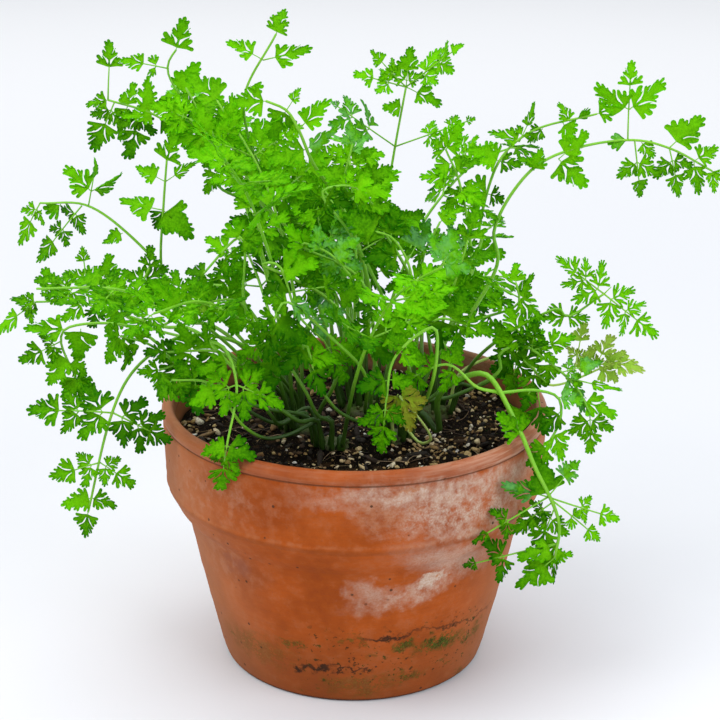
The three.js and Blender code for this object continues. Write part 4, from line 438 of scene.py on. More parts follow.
def leaflet(kind, seed, tol=0.0096):
    """One leaflet's flat mesh: points, triangles, vein share (1 on a vein), edge flags."""
    rs = np.random.RandomState(seed)
    veins, slits = finger_plan(kind, rs)
    loop = thinned(outline_of(veins, slits), tol, 0.08)
    inner = []
    for x0, y0, r0, x1, y1, r1 in veins:
        L = math.hypot(x1 - x0, y1 - y0)
        for t in np.linspace(0, 1, max(2, int(round(L / 0.10)) + 1)):
            inner.append((x0 + (x1 - x0) * t, y0 + (y1 - y0) * t))
    inner = np.array(inner)
    d, _ = cut_field(veins, slits, inner[:, 0], inner[:, 1])
    inner = inner[d < -0.014]
    keep = []
    for p in inner:
        if all(math.hypot(*(p - q)) > 0.050 for q in keep) and np.hypot(*(loop - p).T).min() > 0.012:
            keep.append(p)
    pts = np.vstack([loop, keep])
    n = len(loop)
    edges = [(i, (i + 1) % n) for i in range(n)]
    co, _, faces, _, _, _ = geometry.delaunay_2d_cdt([Vector(p) for p in pts], edges, [], 1, 1e-7)
    co = np.array([tuple(c) for c in co])
    tris = np.array([f for f in faces if len(f) == 3], int)
    mid = co[tris].mean(axis=1)
    tris = tris[in_loop(loop, mid)]
    a, b, c = co[tris[:, 0]], co[tris[:, 1]], co[tris[:, 2]]
    flip = ((b - a)[:, 0] * (c - a)[:, 1] - (b - a)[:, 1] * (c - a)[:, 0]) < 0
    tris[flip] = tris[flip][:, ::-1]
    # keep the one sheet that holds the base; drop crumbs left by the gaps
    sides, group = {}, list(range(len(tris)))

    def root_of(i):
        while group[i] != i:
            group[i] = group[group[i]]
            i = group[i]
        return i

    for i, t in enumerate(tris.tolist()):
        for e in ((t[0], t[1]), (t[1], t[2]), (t[2], t[0])):
            e = (min(e), max(e))
            if e in sides:
                group[root_of(i)] = root_of(sides[e])
            sides[e] = i
    roots = [root_of(i) for i in range(len(tris))]
    most = max(set(roots), key=roots.count)
    tris = tris[[r == most for r in roots]]
    used = np.unique(tris)
    index = -np.ones(len(co), int)
    index[used] = np.arange(len(used))
    co, tris = co[used], index[tris]
    count = {}
    for t in tris.tolist():
        for e in ((t[0], t[1]), (t[1], t[2]), (t[2], t[0])):
            k = (min(e), max(e))
            count[k] = count.get(k, 0) + 1
    border = np.array([e for t in tris.tolist() for e in ((t[0], t[1]), (t[1], t[2]), (t[2], t[0]))
                       if count[(min(e), max(e))] == 1])
    edge = np.zeros(len(co), bool)
    edge[border.ravel()] = True
    _, v = blade_field(veins, co[:, 0], co[:, 1])
    near = np.exp(-(v / 0.02) ** 2)
    near[edge] = 0.0
    return {"p": co, "t": tris, "vein": near, "edge": edge, "border": border,
            "half": np.abs(co[:, 1]).max()}


LEAFLETS = {kind: [leaflet(kind, 100 * i + 11 * j) for j in range(8)]
            for i, kind in enumerate(("broad", "plain", "fine", "five", "fan"))}


# ---------------------------------------------------------------- fronds
# Each row: name, stalks, leaves. A stalk is [base radius, tip radius, x, y, z, ...]. A leaf is
# [base x, y, z, tip x, y, z, facing x, y, z, width, bare share, leaflets, twist of the leaflets in
# degrees, flags (1 finely cut, 2 pale, 4 at the stalk's end)]. Millimetres.
FRONDS = [
  ['frond_front_left_drooping', [[1.1,0.5,-30.3,-9.6,101.8,-37.1,-16.2,130,-42,-20,140,-54.8,-23.5,146.6,-69.1,-26.9,147.4,-81.6,-30.6,140.4,-89.5,-34.2,132.4,-96.5,-38.5,116.6,-105.9,-45,79.5]], [
    [-95.3,-37.8,119.2,-129.4,-39.3,121.2,0.072,-0.77,0.634,19.8,0.08,5,0,0],
    [-95.3,-37.8,119.2,-72.4,-37.9,107,0.19,-0.913,0.362,18.2,0.08,5,0,0],
    [-100.8,-41.5,99.5,-121.6,-42.7,93.2,-0.159,-0.737,0.657,13.5,0.08,3,0,0],
    [-100.8,-41.5,99.5,-86.8,-41.9,89.2,0.364,-0.769,0.526,12.7,0.08,3,0,0],
    [-104.4,-44,85.2,-117.4,-42.6,81.5,-0.227,-0.855,0.467,8.8,0.08,1,0,0],
    [-104.4,-44,85.2,-94.5,-43,81.4,0.304,-0.749,0.589,8.8,0.08,1,0,0],
    [-105.9,-45,79.5,-107.8,-46.3,68.3,-0.059,-0.991,0.122,11.2,0.08,1,0,4]]],
  ['frond_left_outer', [[1.23,0.5,-31.3,-6,101.8,-34.3,-6.1,113.4,-41,-4.9,123.2,-67.6,-0.1,141.8,-78.4,4.1,141,-115.7,11.9,148.9,-133,16,147.5]], [
    [-121.4,13.3,148.4,-128.7,12.3,163.4,0.252,-0.966,0.062,11.6,0.08,3,0,0],
    [-133,16,147.5,-143.7,15.7,149.3,0.103,-0.864,0.492,8.3,0.08,1,0,0],
    [-133,16,147.5,-151.7,17.8,133.5,-0.282,-0.924,0.258,10,0.08,3,0,4],
    [-133,16,147.5,-139.8,20.9,138.3,-0.603,-0.798,0.019,5,0.08,1,0,0],
    [-109.9,10.7,147.7,-112.1,11,173.4,0.098,-0.995,0.021,14.9,0.35,5,0,0],
    [-104.2,9.5,146.5,-100.3,7.7,171,-0.012,-0.997,-0.073,14.9,0.2,3,0,0],
    [-112.8,11.3,148.3,-122.1,13,139.8,-0.425,-0.855,0.296,9.1,0.08,1,0,0],
    [-107.1,10.1,147.1,-109.3,9.7,137.5,-0.015,-0.999,0.04,10.8,0.08,3,0,0]]],
  ['frond_left_dark', [[1.1,0.5,-27.5,-7.1,101.8,-30,-8,116.1,-42.4,-12.2,127.8,-62.5,-11.9,140.2,-79.3,-7.7,143.4,-92.7,-8,149.4,-95.7,-8,153.9]], [
    [-94.2,-8,151.7,-103.9,-8.2,161.5,0.253,-0.939,0.234,12.1,0.08,3,0,0],
    [-94.2,-8,151.7,-89,-1.6,159.5,-0.006,-0.772,0.636,12.1,0.08,3,0,0],
    [-94.2,-8,151.7,-101.8,-8.3,142,-0.226,-0.951,0.21,8.9,0.08,1,0,0],
    [-95.7,-8,153.9,-96.1,-13.4,169.9,0.149,-0.938,-0.312,12.1,0.08,3,0,4]]],
  ['frond_left_up', [[1.1,0.5,-30.3,-2.4,101.8,-32.9,-0.9,113.4,-39.4,3.6,126.1,-58,10.6,143.9,-66.4,12.4,145.8,-84.8,14,136.2,-87.3,14.1,137.1,-88.4,14,155,-85.2,14,163.2]], [
    [-88.2,14,152,-75.9,13.8,154.7,-0.138,-0.829,0.542,10.8,0.08,3,0,0],
    [-88.2,14,152,-94.5,14.4,147.8,-0.252,-0.922,0.294,10,0.08,1,0,0],
    [-87.3,14,157.7,-77.4,14.1,164.1,-0.21,-0.914,0.346,10.8,0.08,3,0,0],
    [-87.3,14,157.7,-97.5,15.6,160.9,-0.002,-0.898,0.44,11.6,0.08,3,0,0],
    [-85.2,14,163.2,-83.6,12.7,173.1,-0.066,-0.991,-0.121,10.7,0.08,3,0,4]]],
  ['frond_left_second', [[1.1,0.5,-27.6,-12.3,101.8,-27.7,-14.1,110.7,-30.4,-16,115.5,-43.9,-21.4,119.2,-54.7,-23.4,124.2,-64.8,-24,130.7,-87.8,-24,150,-114.7,-24,149.3,-116.8,-24,144.2,-111.6,-26,130.3]], [
    [-108.7,-24,149.5,-110.6,-22.6,135.4,0.036,-0.994,-0.106,12.7,0.08,3,0,0],
    [-114.7,-24,149.3,-131.1,-22.5,148.4,-0.103,-0.745,0.659,10.3,0.08,3,0,0],
    [-116.8,-24,144.2,-133.6,-25.7,135.9,-0.181,-0.824,0.537,11.1,0.08,3,0,0],
    [-114.7,-24.8,138.6,-123,-25.8,126.3,-0.195,-0.958,0.21,11.1,0.08,3,0,0],
    [-113.7,-25.2,135.8,-106.6,-24.8,129.9,0.331,-0.884,0.33,8,0.08,1,0,0],
    [-111.6,-26,130.3,-116.4,-26.3,119.7,-0.128,-0.988,0.086,8.8,0.08,1,0,0],
    [-111.6,-26,130.3,-102.1,-24.5,123,0.565,-0.542,0.622,14.4,0.08,3,0,0],
    [-111.6,-26,130.3,-109.5,-19.1,116.5,0.035,-0.897,-0.441,9.6,0.08,3,0,4]]],
  ['frond_left_hanging', [[1.1,0.5,-15.3,-28.6,101.8,-16.3,-29.4,110.6,-19.3,-30.8,115.4,-34.6,-37.6,121.4,-45.5,-39.3,125.9,-58.8,-40.1,132.5,-79.6,-42,149.4,-90.1,-45,153.9]], [
    [-90.1,-45,153.9,-96,-46.7,143.8,-0.259,-0.915,0.309,11.6,0.08,3,0,0],
    [-90.1,-45,153.9,-86,-40.6,140.8,0.369,-0.91,-0.19,10,0.08,3,0,4],
    [-90.1,-45,153.9,-96.4,-46.1,155.9,0.29,-0.851,0.437,8.5,0.08,1,0,0],
    [-84.8,-43.5,151.6,-90.2,-45.3,139.2,-0.099,-0.977,0.188,3.9,0.08,1,0,0],
    [-84.8,-43.5,151.6,-78.9,-43.7,159.2,-0.288,-0.937,0.198,7.7,0.08,1,0,0]]],
  ['frond_upper_left_arch', [[1.14,0.5,-26.7,-3.5,101.8,-27.8,-2.6,113.7,-34.1,6.5,131.5,-49.4,11.6,153.1,-54.5,12.4,155.9,-75.1,14.5,156.3,-84.5,17.3,167.5,-110.6,23.8,186.8,-131.1,27,187.1]], [
    [-110.6,23.8,186.8,-106.1,22.7,207.5,-0.087,-0.996,-0.034,27.3,0.25,5,62,0],
    [-113.4,24.2,186.8,-133.9,25.8,161.5,-0.396,-0.879,0.267,14.1,0.08,5,0,0],
    [-122.3,25.6,187,-128.8,26.5,182.1,-0.429,-0.795,0.429,8.3,0.08,1,0,0],
    [-96.4,20.3,176.3,-105.1,20.4,172,-0.225,-0.869,0.44,6.6,0.08,1,0,0],
    [-131.1,27,187.1,-141.9,28.2,168.1,-0.242,-0.967,0.075,10,0.08,3,20,4]]],
  ['frond_vertical_left', [[1.1,0.5,-27.6,0.3,101.8,-28.7,2.9,113.5,-32.2,5.4,117.8,-60.3,17.5,137.2,-71.6,20,138.1,-77.2,20.1,145.1,-80.5,18.6,162.7,-79.1,18,186.9,-77,18,208]], [
    [-79.1,18,186.9,-97.7,19.2,190.7,0.072,-0.8,0.595,14,0.25,5,0,0],
    [-79.1,18,186.9,-82.8,18.9,177.7,-0.141,-0.989,-0.036,9,0.08,1,0,0],
    [-79.1,18,186.9,-67.2,14.1,176.2,0.134,-0.871,0.472,15.6,0.08,3,0,0],
    [-77.9,18,198.9,-89.7,18.1,205.4,0.283,-0.798,0.532,10.6,0.3,1,0,0],
    [-77.9,18,198.9,-65.2,18.3,207.6,-0.237,-0.895,0.377,4.9,0.3,1,40,0],
    [-77,18,208,-72.9,16.7,219.5,-0.194,-0.98,-0.042,11.4,0,3,0,4]]],
  ['frond_top_left_a', [[1.1,0.5,-4.3,19.6,101.8,-7.2,21.2,113.3,-13.2,29.4,147.7,-27.7,36.1,173,-38.3,38.8,183,-57.5,40.1,190.9,-65.6,42,206.6,-84.6,45.6,220.6,-104.3,50,225.8]], [
    [-104.3,50,225.8,-102.7,51.7,250.3,0,-0.998,0.07,11.8,0.55,3,0,0],
    [-104.3,50,225.8,-113.7,50.5,223.9,-0.144,-0.854,0.501,8.4,0.08,1,0,4],
    [-101.5,49.4,225.1,-111.2,47.8,203.9,-0.184,-0.97,0.158,14.3,0.08,5,0,0],
    [-95.9,48.1,223.6,-101.6,49.8,208.7,-0.389,-0.92,0.044,9.2,0.08,1,0,0],
    [-90.2,46.8,222.1,-95.9,42.7,201.8,-0.123,-0.965,0.233,13.4,0.08,5,0,0],
    [-95.9,48.1,223.6,-93.3,47.9,233.9,-0.03,-0.999,-0.018,7.5,0.08,1,0,0],
    [-87.4,46.2,221.3,-86.4,46,236,-0.041,-0.999,-0.012,9.2,0.08,3,0,0],
    [-84.6,45.6,220.6,-98.4,41.5,220.9,0.257,-0.831,0.494,9.2,0.08,1,0,0],
    [-82.2,45.2,218.9,-77.4,46.2,214.9,0.384,-0.892,0.238,8.4,0.08,1,0,0]]],
  ['frond_top_left_b', [[1.1,0.5,-1.6,22.3,101.8,-5.9,29.1,130.9,-8.7,32.7,145.3,-19,43.1,175,-26.3,46.8,183.6,-47,49.6,186,-52.1,50.3,188.8,-60.9,52.2,207.8,-79.2,57.2,234.8,-79.2,58.1,240.5,-76,58,245.5]], [
    [-76,58,245.5,-72.2,56.7,259.2,-0.189,-0.981,-0.043,19.3,0.08,3,0,4],
    [-79.2,57.7,237.7,-99.9,56.7,242.2,0.15,-0.847,0.511,8.4,0.2,3,0,0],
    [-74.2,55.8,227.4,-67.5,56,240.9,-0.184,-0.977,0.105,16.1,0.08,3,0,0],
    [-74.2,55.8,227.4,-84.1,57.2,225.2,-0.237,-0.798,0.554,7.6,0.08,1,0,0],
    [-69.2,54.5,220.1,-56.8,55,226.8,-0.248,-0.814,0.525,11,0.08,3,0,0],
    [-69.2,54.5,220.1,-79.9,55.2,216.2,-0.241,-0.833,0.499,9.3,0.08,3,0,0],
    [-64.2,53.1,212.7,-55,52,218,-0.41,-0.718,0.563,7.6,0.08,1,0,0]]],
  ['frond_top_left_c', [[1.5,0.57,-5.3,16,101.8,-8.6,16,113.4,-15.6,16,148.7,-23.7,17.2,168.1,-39.2,20.2,189.9,-46.1,22.8,202.8,-68,27,223]], [
    [-52.7,24.1,208.9,-62.6,22.8,192.6,-0.233,-0.948,0.217,14.8,0.12,3,0,0],
    [-57.1,24.9,212.9,-71.2,23.7,212.1,0.049,-0.88,0.472,13.9,0.08,3,0,0],
    [-54.9,24.5,210.9,-49,24.2,226.7,-0.277,-0.957,0.084,12.3,0.08,3,0,0],
    [-61.4,25.7,217,-63.7,25.8,229.5,0.214,-0.976,0.045,12.3,0.08,3,0,0],
    [-68,27,223,-84.2,27.1,229.5,0.194,-0.842,0.503,15.5,0.08,5,0,4],
    [-61.4,25.7,217,-76,22.5,214.4,0.092,-0.833,0.545,10.6,0.08,1,0,0]]],
  ['frond_top_centre_left', [[1.1,0.5,-0.7,18.5,101.8,-2,19.6,113.6,-3.5,25.3,146.1,-6.6,30.4,172.3,-10.1,33.3,186.5,-15.8,34.7,193.1,-36.3,35.9,196.4,-41.4,36.1,203.4,-46.3,36,229.8,-32.9,36,256.4]], [
    [-32.9,36,256.4,-29.6,35.5,266.7,-0.178,-0.984,0.014,14.7,0.08,3,0,4],
    [-38.3,36,245.7,-52.4,34.4,254.1,0.366,-0.805,0.467,9,0.3,3,0,0],
    [-38.3,36,245.7,-18.7,35.9,250.4,-0.119,-0.869,0.479,9,0.25,3,0,0],
    [-45.8,36,226.9,-55.6,37,223.8,-0.259,-0.779,0.571,11.6,0.08,3,0,0],
    [-43.7,36,235,-38.9,36.8,232.3,0.32,-0.9,0.297,6.6,0.08,1,0,0],
    [-43,36.1,212.2,-51.5,35.7,213.2,0.087,-0.886,0.455,14.1,0.08,3,0,0],
    [-43,36.1,212.2,-30.8,36.7,222.4,-0.368,-0.786,0.496,15,0.08,3,0,0]]],
  ['frond_top_centre', [[1.5,0.57,2,16,101.8,1.9,15.9,113.7,6,19.9,146.1,4.2,19.3,160.8,-6.1,13,191.3,-17.5,5.2,210.6,-23,4,224.3,-27.7,4,231.9,-35.7,4,235.5]], [
    [-35.7,4,235.5,-49.3,5.2,234.4,-0.113,-0.886,0.449,11.9,0.08,3,0,4],
    [-27.7,4,231.9,-34.4,5.2,219.6,-0.274,-0.96,0.055,11.9,0.08,3,0,0],
    [-27.7,4,231.9,-21.9,4.2,240.8,-0.35,-0.902,0.254,7.1,0.4,1,0,0],
    [-23,4,224.3,-28.3,4,221.9,-0.253,-0.8,0.544,7.1,0.08,1,0,0],
    [-23,4,224.3,-10.4,3,237.1,-0.391,-0.864,0.319,10.3,0.2,3,0,0],
    [-19.7,4.7,216.1,-6.5,4.3,224.8,-0.304,-0.856,0.418,6.4,0.08,1,0,0],
    [-19.7,4.7,216.1,-35.2,4.3,211.6,-0.161,-0.752,0.639,14.4,0.08,3,0,0]]],
  ['frond_top_mid_right', [[1.1,0.5,27.7,8.4,101.8,24.6,6.6,113.2,25.6,5.6,152.2,14.5,-1.8,179.1,-4.1,-4.1,202.4,-1.6,-4,219.9]], [
    [-1.6,-4,219.9,-2.5,-5.8,229.5,0.113,-0.979,-0.171,10.2,0.08,3,0,4],
    [-2,-4,217,4.3,-2.6,223.3,-0.264,-0.848,0.46,7.1,0.08,1,0,0],
    [-2.4,-4,214,7,-5.9,219.2,-0.41,-0.79,0.456,7.9,0.08,3,0,0],
    [-2.4,-4,214,-10.3,-4.9,220.5,0.293,-0.927,0.232,11.9,0.08,3,0,0],
    [-3.7,-4.1,205.3,-15.1,-3.2,210.4,0.137,-0.881,0.452,11.1,0.08,3,0,0],
    [-3.7,-4.1,205.3,6.3,-3.9,209,-0.183,-0.827,0.532,11.1,0.08,3,0,0],
    [-4.1,-4.1,202.4,14.3,-2.3,210.3,-0.114,-0.877,0.466,9.5,0.4,3,0,0]]],
  ['frond_far_back', [[1.14,0.52,30.4,18.3,101.8,28.8,19.4,110.5,28.4,25.2,120.8,28.1,44.1,147.6,25.7,61.3,167.9,22.4,68.8,168.9,13,79.8,153.9,11.6,81.7,152.2,10.9,83.8,153.5,15.9,91,188.1,21.9,94,223.2]], [
    [17.4,91.7,196.8,-11.6,86.6,218.3,0.51,-0.681,0.526,19.6,0.35,5,0,0],
    [17.4,91.7,196.8,53,90.1,210.3,-0.317,-0.554,0.77,13.4,0.35,3,0,0],
    [21.9,94,223.2,-1.2,89.7,230.5,0.333,-0.687,0.645,13.3,0.25,3,0,0],
    [21.9,94,223.2,5.8,92.4,239.8,0.434,-0.834,0.34,11.5,0.3,3,0,0],
    [21.9,94,223.2,23.4,94.5,241.3,-0.195,-0.98,0.045,13.3,0.1,3,0,4],
    [21.9,94,223.2,45.4,80.8,244.8,-0.733,-0.342,0.588,19.5,0.25,5,0,0],
    [21.9,94,223.2,37.8,90.4,216.4,0.08,-0.787,0.612,9.7,0.3,3,0,0],
    [20.4,93.2,214.4,11.4,93.6,213.8,-0.071,-0.879,0.472,8.9,0.08,1,0,0]]],
  ['frond_right_long', [[1.19,0.5,37.6,18.3,101.8,44,24.9,130.1,60.2,32.2,161,58.5,34.4,175,76.1,37.9,202.3,113.1,38,213,130.6,38,209.7,149.1,38,200]], [
    [113.1,38,213,112.4,36.6,245.9,0.061,-0.997,-0.042,24.2,0.32,3,0,0],
    [113.1,38,213,105.4,38.6,211.9,-0.147,-0.776,0.613,8.3,0.08,1,0,0],
    [118.9,38,211.9,124.7,39.5,205,0.378,-0.918,0.122,6.7,0.08,1,0,0],
    [116,38,212.5,119.8,36.5,188.5,0,-0.998,0.064,15,0.3,3,0,0],
    [130.6,38,209.7,143.7,37.9,223.3,-0.251,-0.939,0.236,14.2,0.2,3,0,0],
    [130.6,38,209.7,136.3,37.5,188.8,0.036,-0.999,0.035,14.2,0.2,3,0,0],
    [141.2,38,204.1,144.1,36.2,189.6,-0.017,-0.993,0.119,8.4,0.15,1,0,0],
    [141.2,38,204.1,150.7,37.3,210.8,-0.268,-0.92,0.287,9.2,0.2,1,0,0],
    [149.1,38,200,149.7,31.6,191.8,-0.07,-0.791,0.608,6.6,0.08,1,0,0],
    [149.1,38,200,152.7,38.2,197.4,0.099,-0.994,0.045,4.6,0.08,1,0,4],
    [84.6,37.9,204.7,97.1,36.7,216.1,-0.314,-0.917,0.245,10.9,0.2,3,0,0],
    [84.6,37.9,204.7,96.5,36.6,193.5,0.155,-0.948,0.277,15,0.1,3,0,0],
    [76.1,37.9,202.3,67.6,37.8,205,0.226,-0.708,0.669,10.9,0.08,3,0,0],
    [74.5,37.6,199.9,76.2,32.9,209.6,-0.119,-0.904,-0.411,8.4,0.08,1,0,0]]],
  ['frond_right_upper', [[1.1,0.5,34,19.3,101.8,34.3,23.3,116,44,30,140,52.9,40,166.5,54.3,43.3,171.1,53.2,47.9,168.4,53.2,51.4,171.1,61.3,55.9,199.2,73.9,58.1,211.3,102.3,58,219.5]], [
    [102.3,58,219.5,113.3,58.8,223.3,-0.092,-0.882,0.462,9.4,0.08,1,0,4],
    [93.8,58,217,99.3,58.7,221.9,-0.184,-0.92,0.346,5.1,0.08,1,50,0],
    [88.1,58.1,215.4,93.9,57.4,206.6,0.217,-0.952,0.216,11.1,0.08,3,0,0],
    [90.9,58,216.2,86.6,59.7,224.2,0.266,-0.905,0.333,6.8,0.08,1,0,0],
    [79.5,58.1,212.9,72.7,59.1,206.9,-0.386,-0.875,0.293,11.1,0.08,3,0,0],
    [69.7,57.4,207.3,77.1,58.6,223.9,-0.305,-0.931,0.202,6.8,0.08,1,45,0],
    [69.7,57.4,207.3,57,58.1,213.1,0.164,-0.867,0.471,9.4,0.08,3,0,0],
    [61.3,55.9,199.2,48.7,56.6,203.8,0.127,-0.868,0.479,12.8,0.08,3,0,0],
    [61.3,55.9,199.2,71,55.2,197.3,0.08,-0.736,0.673,10.3,0.08,3,0,0],
    [57.3,53.7,185.2,64,51.7,183.2,-0.02,-0.755,0.656,10.3,0.08,1,40,0],
    [57.3,53.7,185.2,41.3,54.5,186.7,0.005,-0.85,0.527,15.5,0.08,3,0,0]]],
  ['frond_right_back_low', [[1.1,0.5,34.8,15.6,101.8,36.9,21,127.9,48.2,26.4,157.8,43.1,32.2,195.7,37.3,34,209.1]], [
    [37.3,34,209.1,31.5,35.7,212.9,0.027,-0.899,0.437,10.8,0.08,1,0,0],
    [37.3,34,209.1,42.5,28.6,222.2,-0.474,-0.865,-0.166,13.3,0.08,3,0,4],
    [39.6,33.3,203.7,32.5,33.3,200.7,-0.254,-0.766,0.591,10.8,0.08,3,0,0],
    [40.8,32.9,201,51.4,32.5,205.3,-0.222,-0.859,0.462,11.6,0.08,3,0,0],
    [43.5,31.8,192.8,37.8,32.2,183,-0.413,-0.889,0.195,15,0.08,3,0,0],
    [43.5,31.8,192.8,53.1,24.3,188.3,-0.227,-0.697,0.68,11.7,0.08,3,0,0],
    [42,32.6,198.4,25.9,33.8,198,-0.074,-0.753,0.654,11.7,0.3,1,0,0]]],
  ['frond_right_fine', [[1.1,0.5,41.3,12,101.8,47.7,10.1,121.3,58.8,6.9,134.8,78.5,4.7,147.9,84,4,150,87,4,146.6,101.9,4,156.5]], [
    [101.9,4,156.5,81.8,5.8,171.6,0.168,-0.928,0.333,18,0.08,7,10,1],
    [101.9,4,156.5,125.6,3.9,138,0.26,-0.905,0.337,18,0.08,7,10,1],
    [87,4,146.6,74.5,4,145.9,-0.028,-0.87,0.493,14,0.08,5,0,1],
    [87,4,146.6,96.7,4.2,146,0.055,-0.776,0.628,9,0.08,3,0,1],
    [101.9,4,156.5,104.7,4.4,159.4,-0.342,-0.833,0.435,2,0.08,0,0,4]]],
  ['frond_pale', [[0.79,0.5,40.3,15.6,101.8,44.4,17.9,116.1,63.6,22.8,123.6,72.1,24.4,122.8,82.9,26,108.3,111,27,118.2]], [
    [102.4,26.7,115.2,109.2,25.2,131.9,-0.346,-0.937,0.054,12,0.08,3,0,2],
    [96.7,26.5,113.2,100.9,24.9,126.5,-0.411,-0.911,0.024,7.7,0.08,1,0,2],
    [93.8,26.4,112.1,97,25.2,137.2,-0.003,-0.999,-0.046,9.4,0.3,1,0,2],
    [105.3,26.8,116.2,113.8,26,109.9,0.277,-0.827,0.489,9.4,0.08,3,0,2],
    [111,27,118.2,124.6,25.5,115.6,0.046,-0.743,0.668,10.3,0.08,3,0,6],
    [108.1,26.9,117.2,115.9,27.9,123.8,-0.23,-0.881,0.414,7.7,0.08,1,0,2]]],
  ['frond_right_cluster', [[1.14,0.5,23.3,-16,101.8,27.9,-15.9,115.5,39.5,-14,117.8,55.4,-14,125.9,59.1,-14,130.3,58.3,-14,136.2,62.8,-13.9,139.5,68.7,-14.1,139.8,78.7,-15.6,133.5,89.7,-18.2,123.7,95.3,-21,113.9]], [
    [95.3,-21,113.9,96.4,-22.3,96.5,-0.049,-0.996,0.073,16.2,0.08,5,0,4],
    [92.5,-19.6,118.8,107.2,-20.4,112.9,0.15,-0.862,0.485,9.7,0.1,3,0,0],
    [85.3,-17.2,127.6,94.4,-18.6,114.2,0.386,-0.853,0.352,11.3,0.08,5,0,0],
    [83.1,-16.6,129.6,99.9,-15.3,133.8,-0.106,-0.749,0.654,8.9,0.08,3,0,0],
    [85.3,-17.2,127.6,107.9,-20,123.1,0.049,-0.711,0.702,5.7,0.08,3,0,0],
    [78.7,-15.6,133.5,77.4,-14.9,122.3,-0.106,-0.993,-0.046,12.1,0.08,3,0,0],
    [68.7,-14.1,139.8,61.1,-15.1,157.3,0.248,-0.967,0.055,13.7,0.08,5,0,0],
    [71.2,-14.5,138.2,88.9,-14.8,144.7,-0.16,-0.906,0.391,12.1,0.08,5,0,0],
    [71.2,-14.5,138.2,71.8,-22.9,153.2,-0.071,-0.872,-0.485,12.9,0.08,5,0,0],
    [62.8,-13.9,139.5,59.2,-12.2,125.5,-0.186,-0.98,-0.068,11.3,0.08,3,0,0],
    [62.8,-13.9,139.5,55.8,-14.1,150.2,0.196,-0.975,0.108,9.7,0.08,3,0,0]]],
  ['frond_right_cluster_up', [[1.1,0.5,22.3,-12.4,101.8,29.4,-8.6,124.7,42.9,-8,148.5,44.8,-8,150.9,46.2,-8,148.9,55.1,-8,150.9,66,-8,156.4,64.6,-8,164.7]], [
    [64.6,-8,164.7,64.4,-6.5,173.1,0.079,-0.981,0.176,8.8,0.08,1,0,4],
    [65.6,-8,158.8,47.9,-9.1,169.5,0.351,-0.795,0.495,7.3,0.4,3,30,1],
    [65.6,-8,158.8,71.2,-9.2,168.9,-0.257,-0.966,0.025,6.4,0.08,1,0,0],
    [60.5,-8,153.6,49.6,-8.3,155.8,0.146,-0.756,0.638,8.1,0.08,5,40,1],
    [65.6,-8,158.8,77,-7.2,148,0.434,-0.811,0.394,10.5,0.08,3,0,1],
    [55.1,-8,150.9,50,-7.8,142.4,-0.357,-0.913,0.198,9.7,0.08,3,0,0]]],
  ['stem_right_front', [[1.76,0.66,22.3,-19.7,101.8,24.5,-21,113.5,26.6,-21.8,114.4,34.1,-24.1,106.3,33.2,-28.7,123.3,44.6,-35.9,135,51.9,-40,136.4,64.2,-49.5,118.3,70.2,-53.2,105.1,80.8,-55,80.5,79.9,-55,65.8],[0.79,0.5,55.548,-42.818,131.032,47.4,-45,133.6,36.3,-45,143,23,-45,138.2],[0.79,0.5,55.818,-43.026,130.635,71.6,-41.9,131.5,79.9,-43.2,129.1,80.8,-45.9,121,75.5,-48,110.5]], [
    [76.1,-54.2,91.4,71.4,-52.3,107.1,0.033,-0.991,0.131,17.3,0.1,5,0,0],
    [65.4,-50.2,115.7,56.4,-51.5,125.2,0.363,-0.904,0.227,14.8,0.1,5,0,0],
    [77.3,-54.4,88.7,62.2,-52.9,75.6,-0.283,-0.934,0.22,10.2,0.1,3,0,0],
    [76.1,-54.2,91.4,86.3,-57.8,107.9,-0.466,-0.88,0.097,11,0.55,3,0,0],
    [76.1,-54.2,91.4,104.8,-54.6,81.9,0.19,-0.777,0.6,11,0.4,5,0,0],
    [76.1,-54.2,91.4,98.2,-54.7,72.8,0.301,-0.875,0.38,7.8,0.35,3,0,0],
    [76.1,-54.2,91.4,46,-65.7,77.2,0.08,-0.85,0.52,11.8,0.45,3,40,0],
    [76.1,-54.2,91.4,57.8,-59.9,99.3,0.426,-0.811,0.4,8.6,0.3,3,20,0],
    [78.5,-54.6,85.9,72.1,-53.8,65.6,-0.255,-0.966,0.04,16.5,0.1,5,0,0],
    [80.3,-55,71.8,74.6,-54,59.6,-0.386,-0.916,0.106,11.1,0.1,3,0,0],
    [80.3,-55,71.8,43.1,-61.7,64.9,0.06,-0.858,0.51,15,0.5,3,0,0],
    [80.3,-55,71.8,65.4,-61.5,67.6,0.302,-0.895,0.328,10.3,0.2,3,0,0],
    [79.9,-55,65.8,64.5,-59.6,53.5,-0.134,-0.864,0.486,12.7,0.25,3,0,0],
    [79.9,-55,65.8,86.7,-56.6,68.4,-0.377,-0.785,0.492,5.5,0.08,1,0,0],
    [79.9,-55,65.8,79.4,-53.1,53,-0.014,-0.99,-0.144,3.2,0.08,1,0,4],
    [36.3,-45,143,41.3,-44.5,153.8,-0.117,-0.988,0.102,10.1,0.08,3,0,0],
    [31.1,-45,141.1,21.3,-46.8,148.7,0.423,-0.835,0.353,10.1,0.08,3,0,0],
    [25.7,-45,139.2,18.5,-44.1,128.7,-0.247,-0.966,0.083,10.9,0.08,3,0,4],
    [38.5,-45,141.1,33.4,-43.6,130.3,-0.39,-0.918,0.068,7.8,0.08,1,0,0],
    [68.6,-42.1,131.4,62.3,-40.1,112.7,-0.31,-0.951,0.003,11.7,0.45,3,0,0],
    [71.6,-41.9,131.5,74.9,-41.3,111.5,0.121,-0.993,-0.011,10.9,0.35,3,0,0],
    [79.9,-43.2,129.1,89.9,-42.2,126.8,0.206,-0.821,0.532,8.6,0.08,3,0,0],
    [75.5,-48,110.5,67.4,-50,102.3,-0.113,-0.934,0.338,11,0.08,3,0,4],
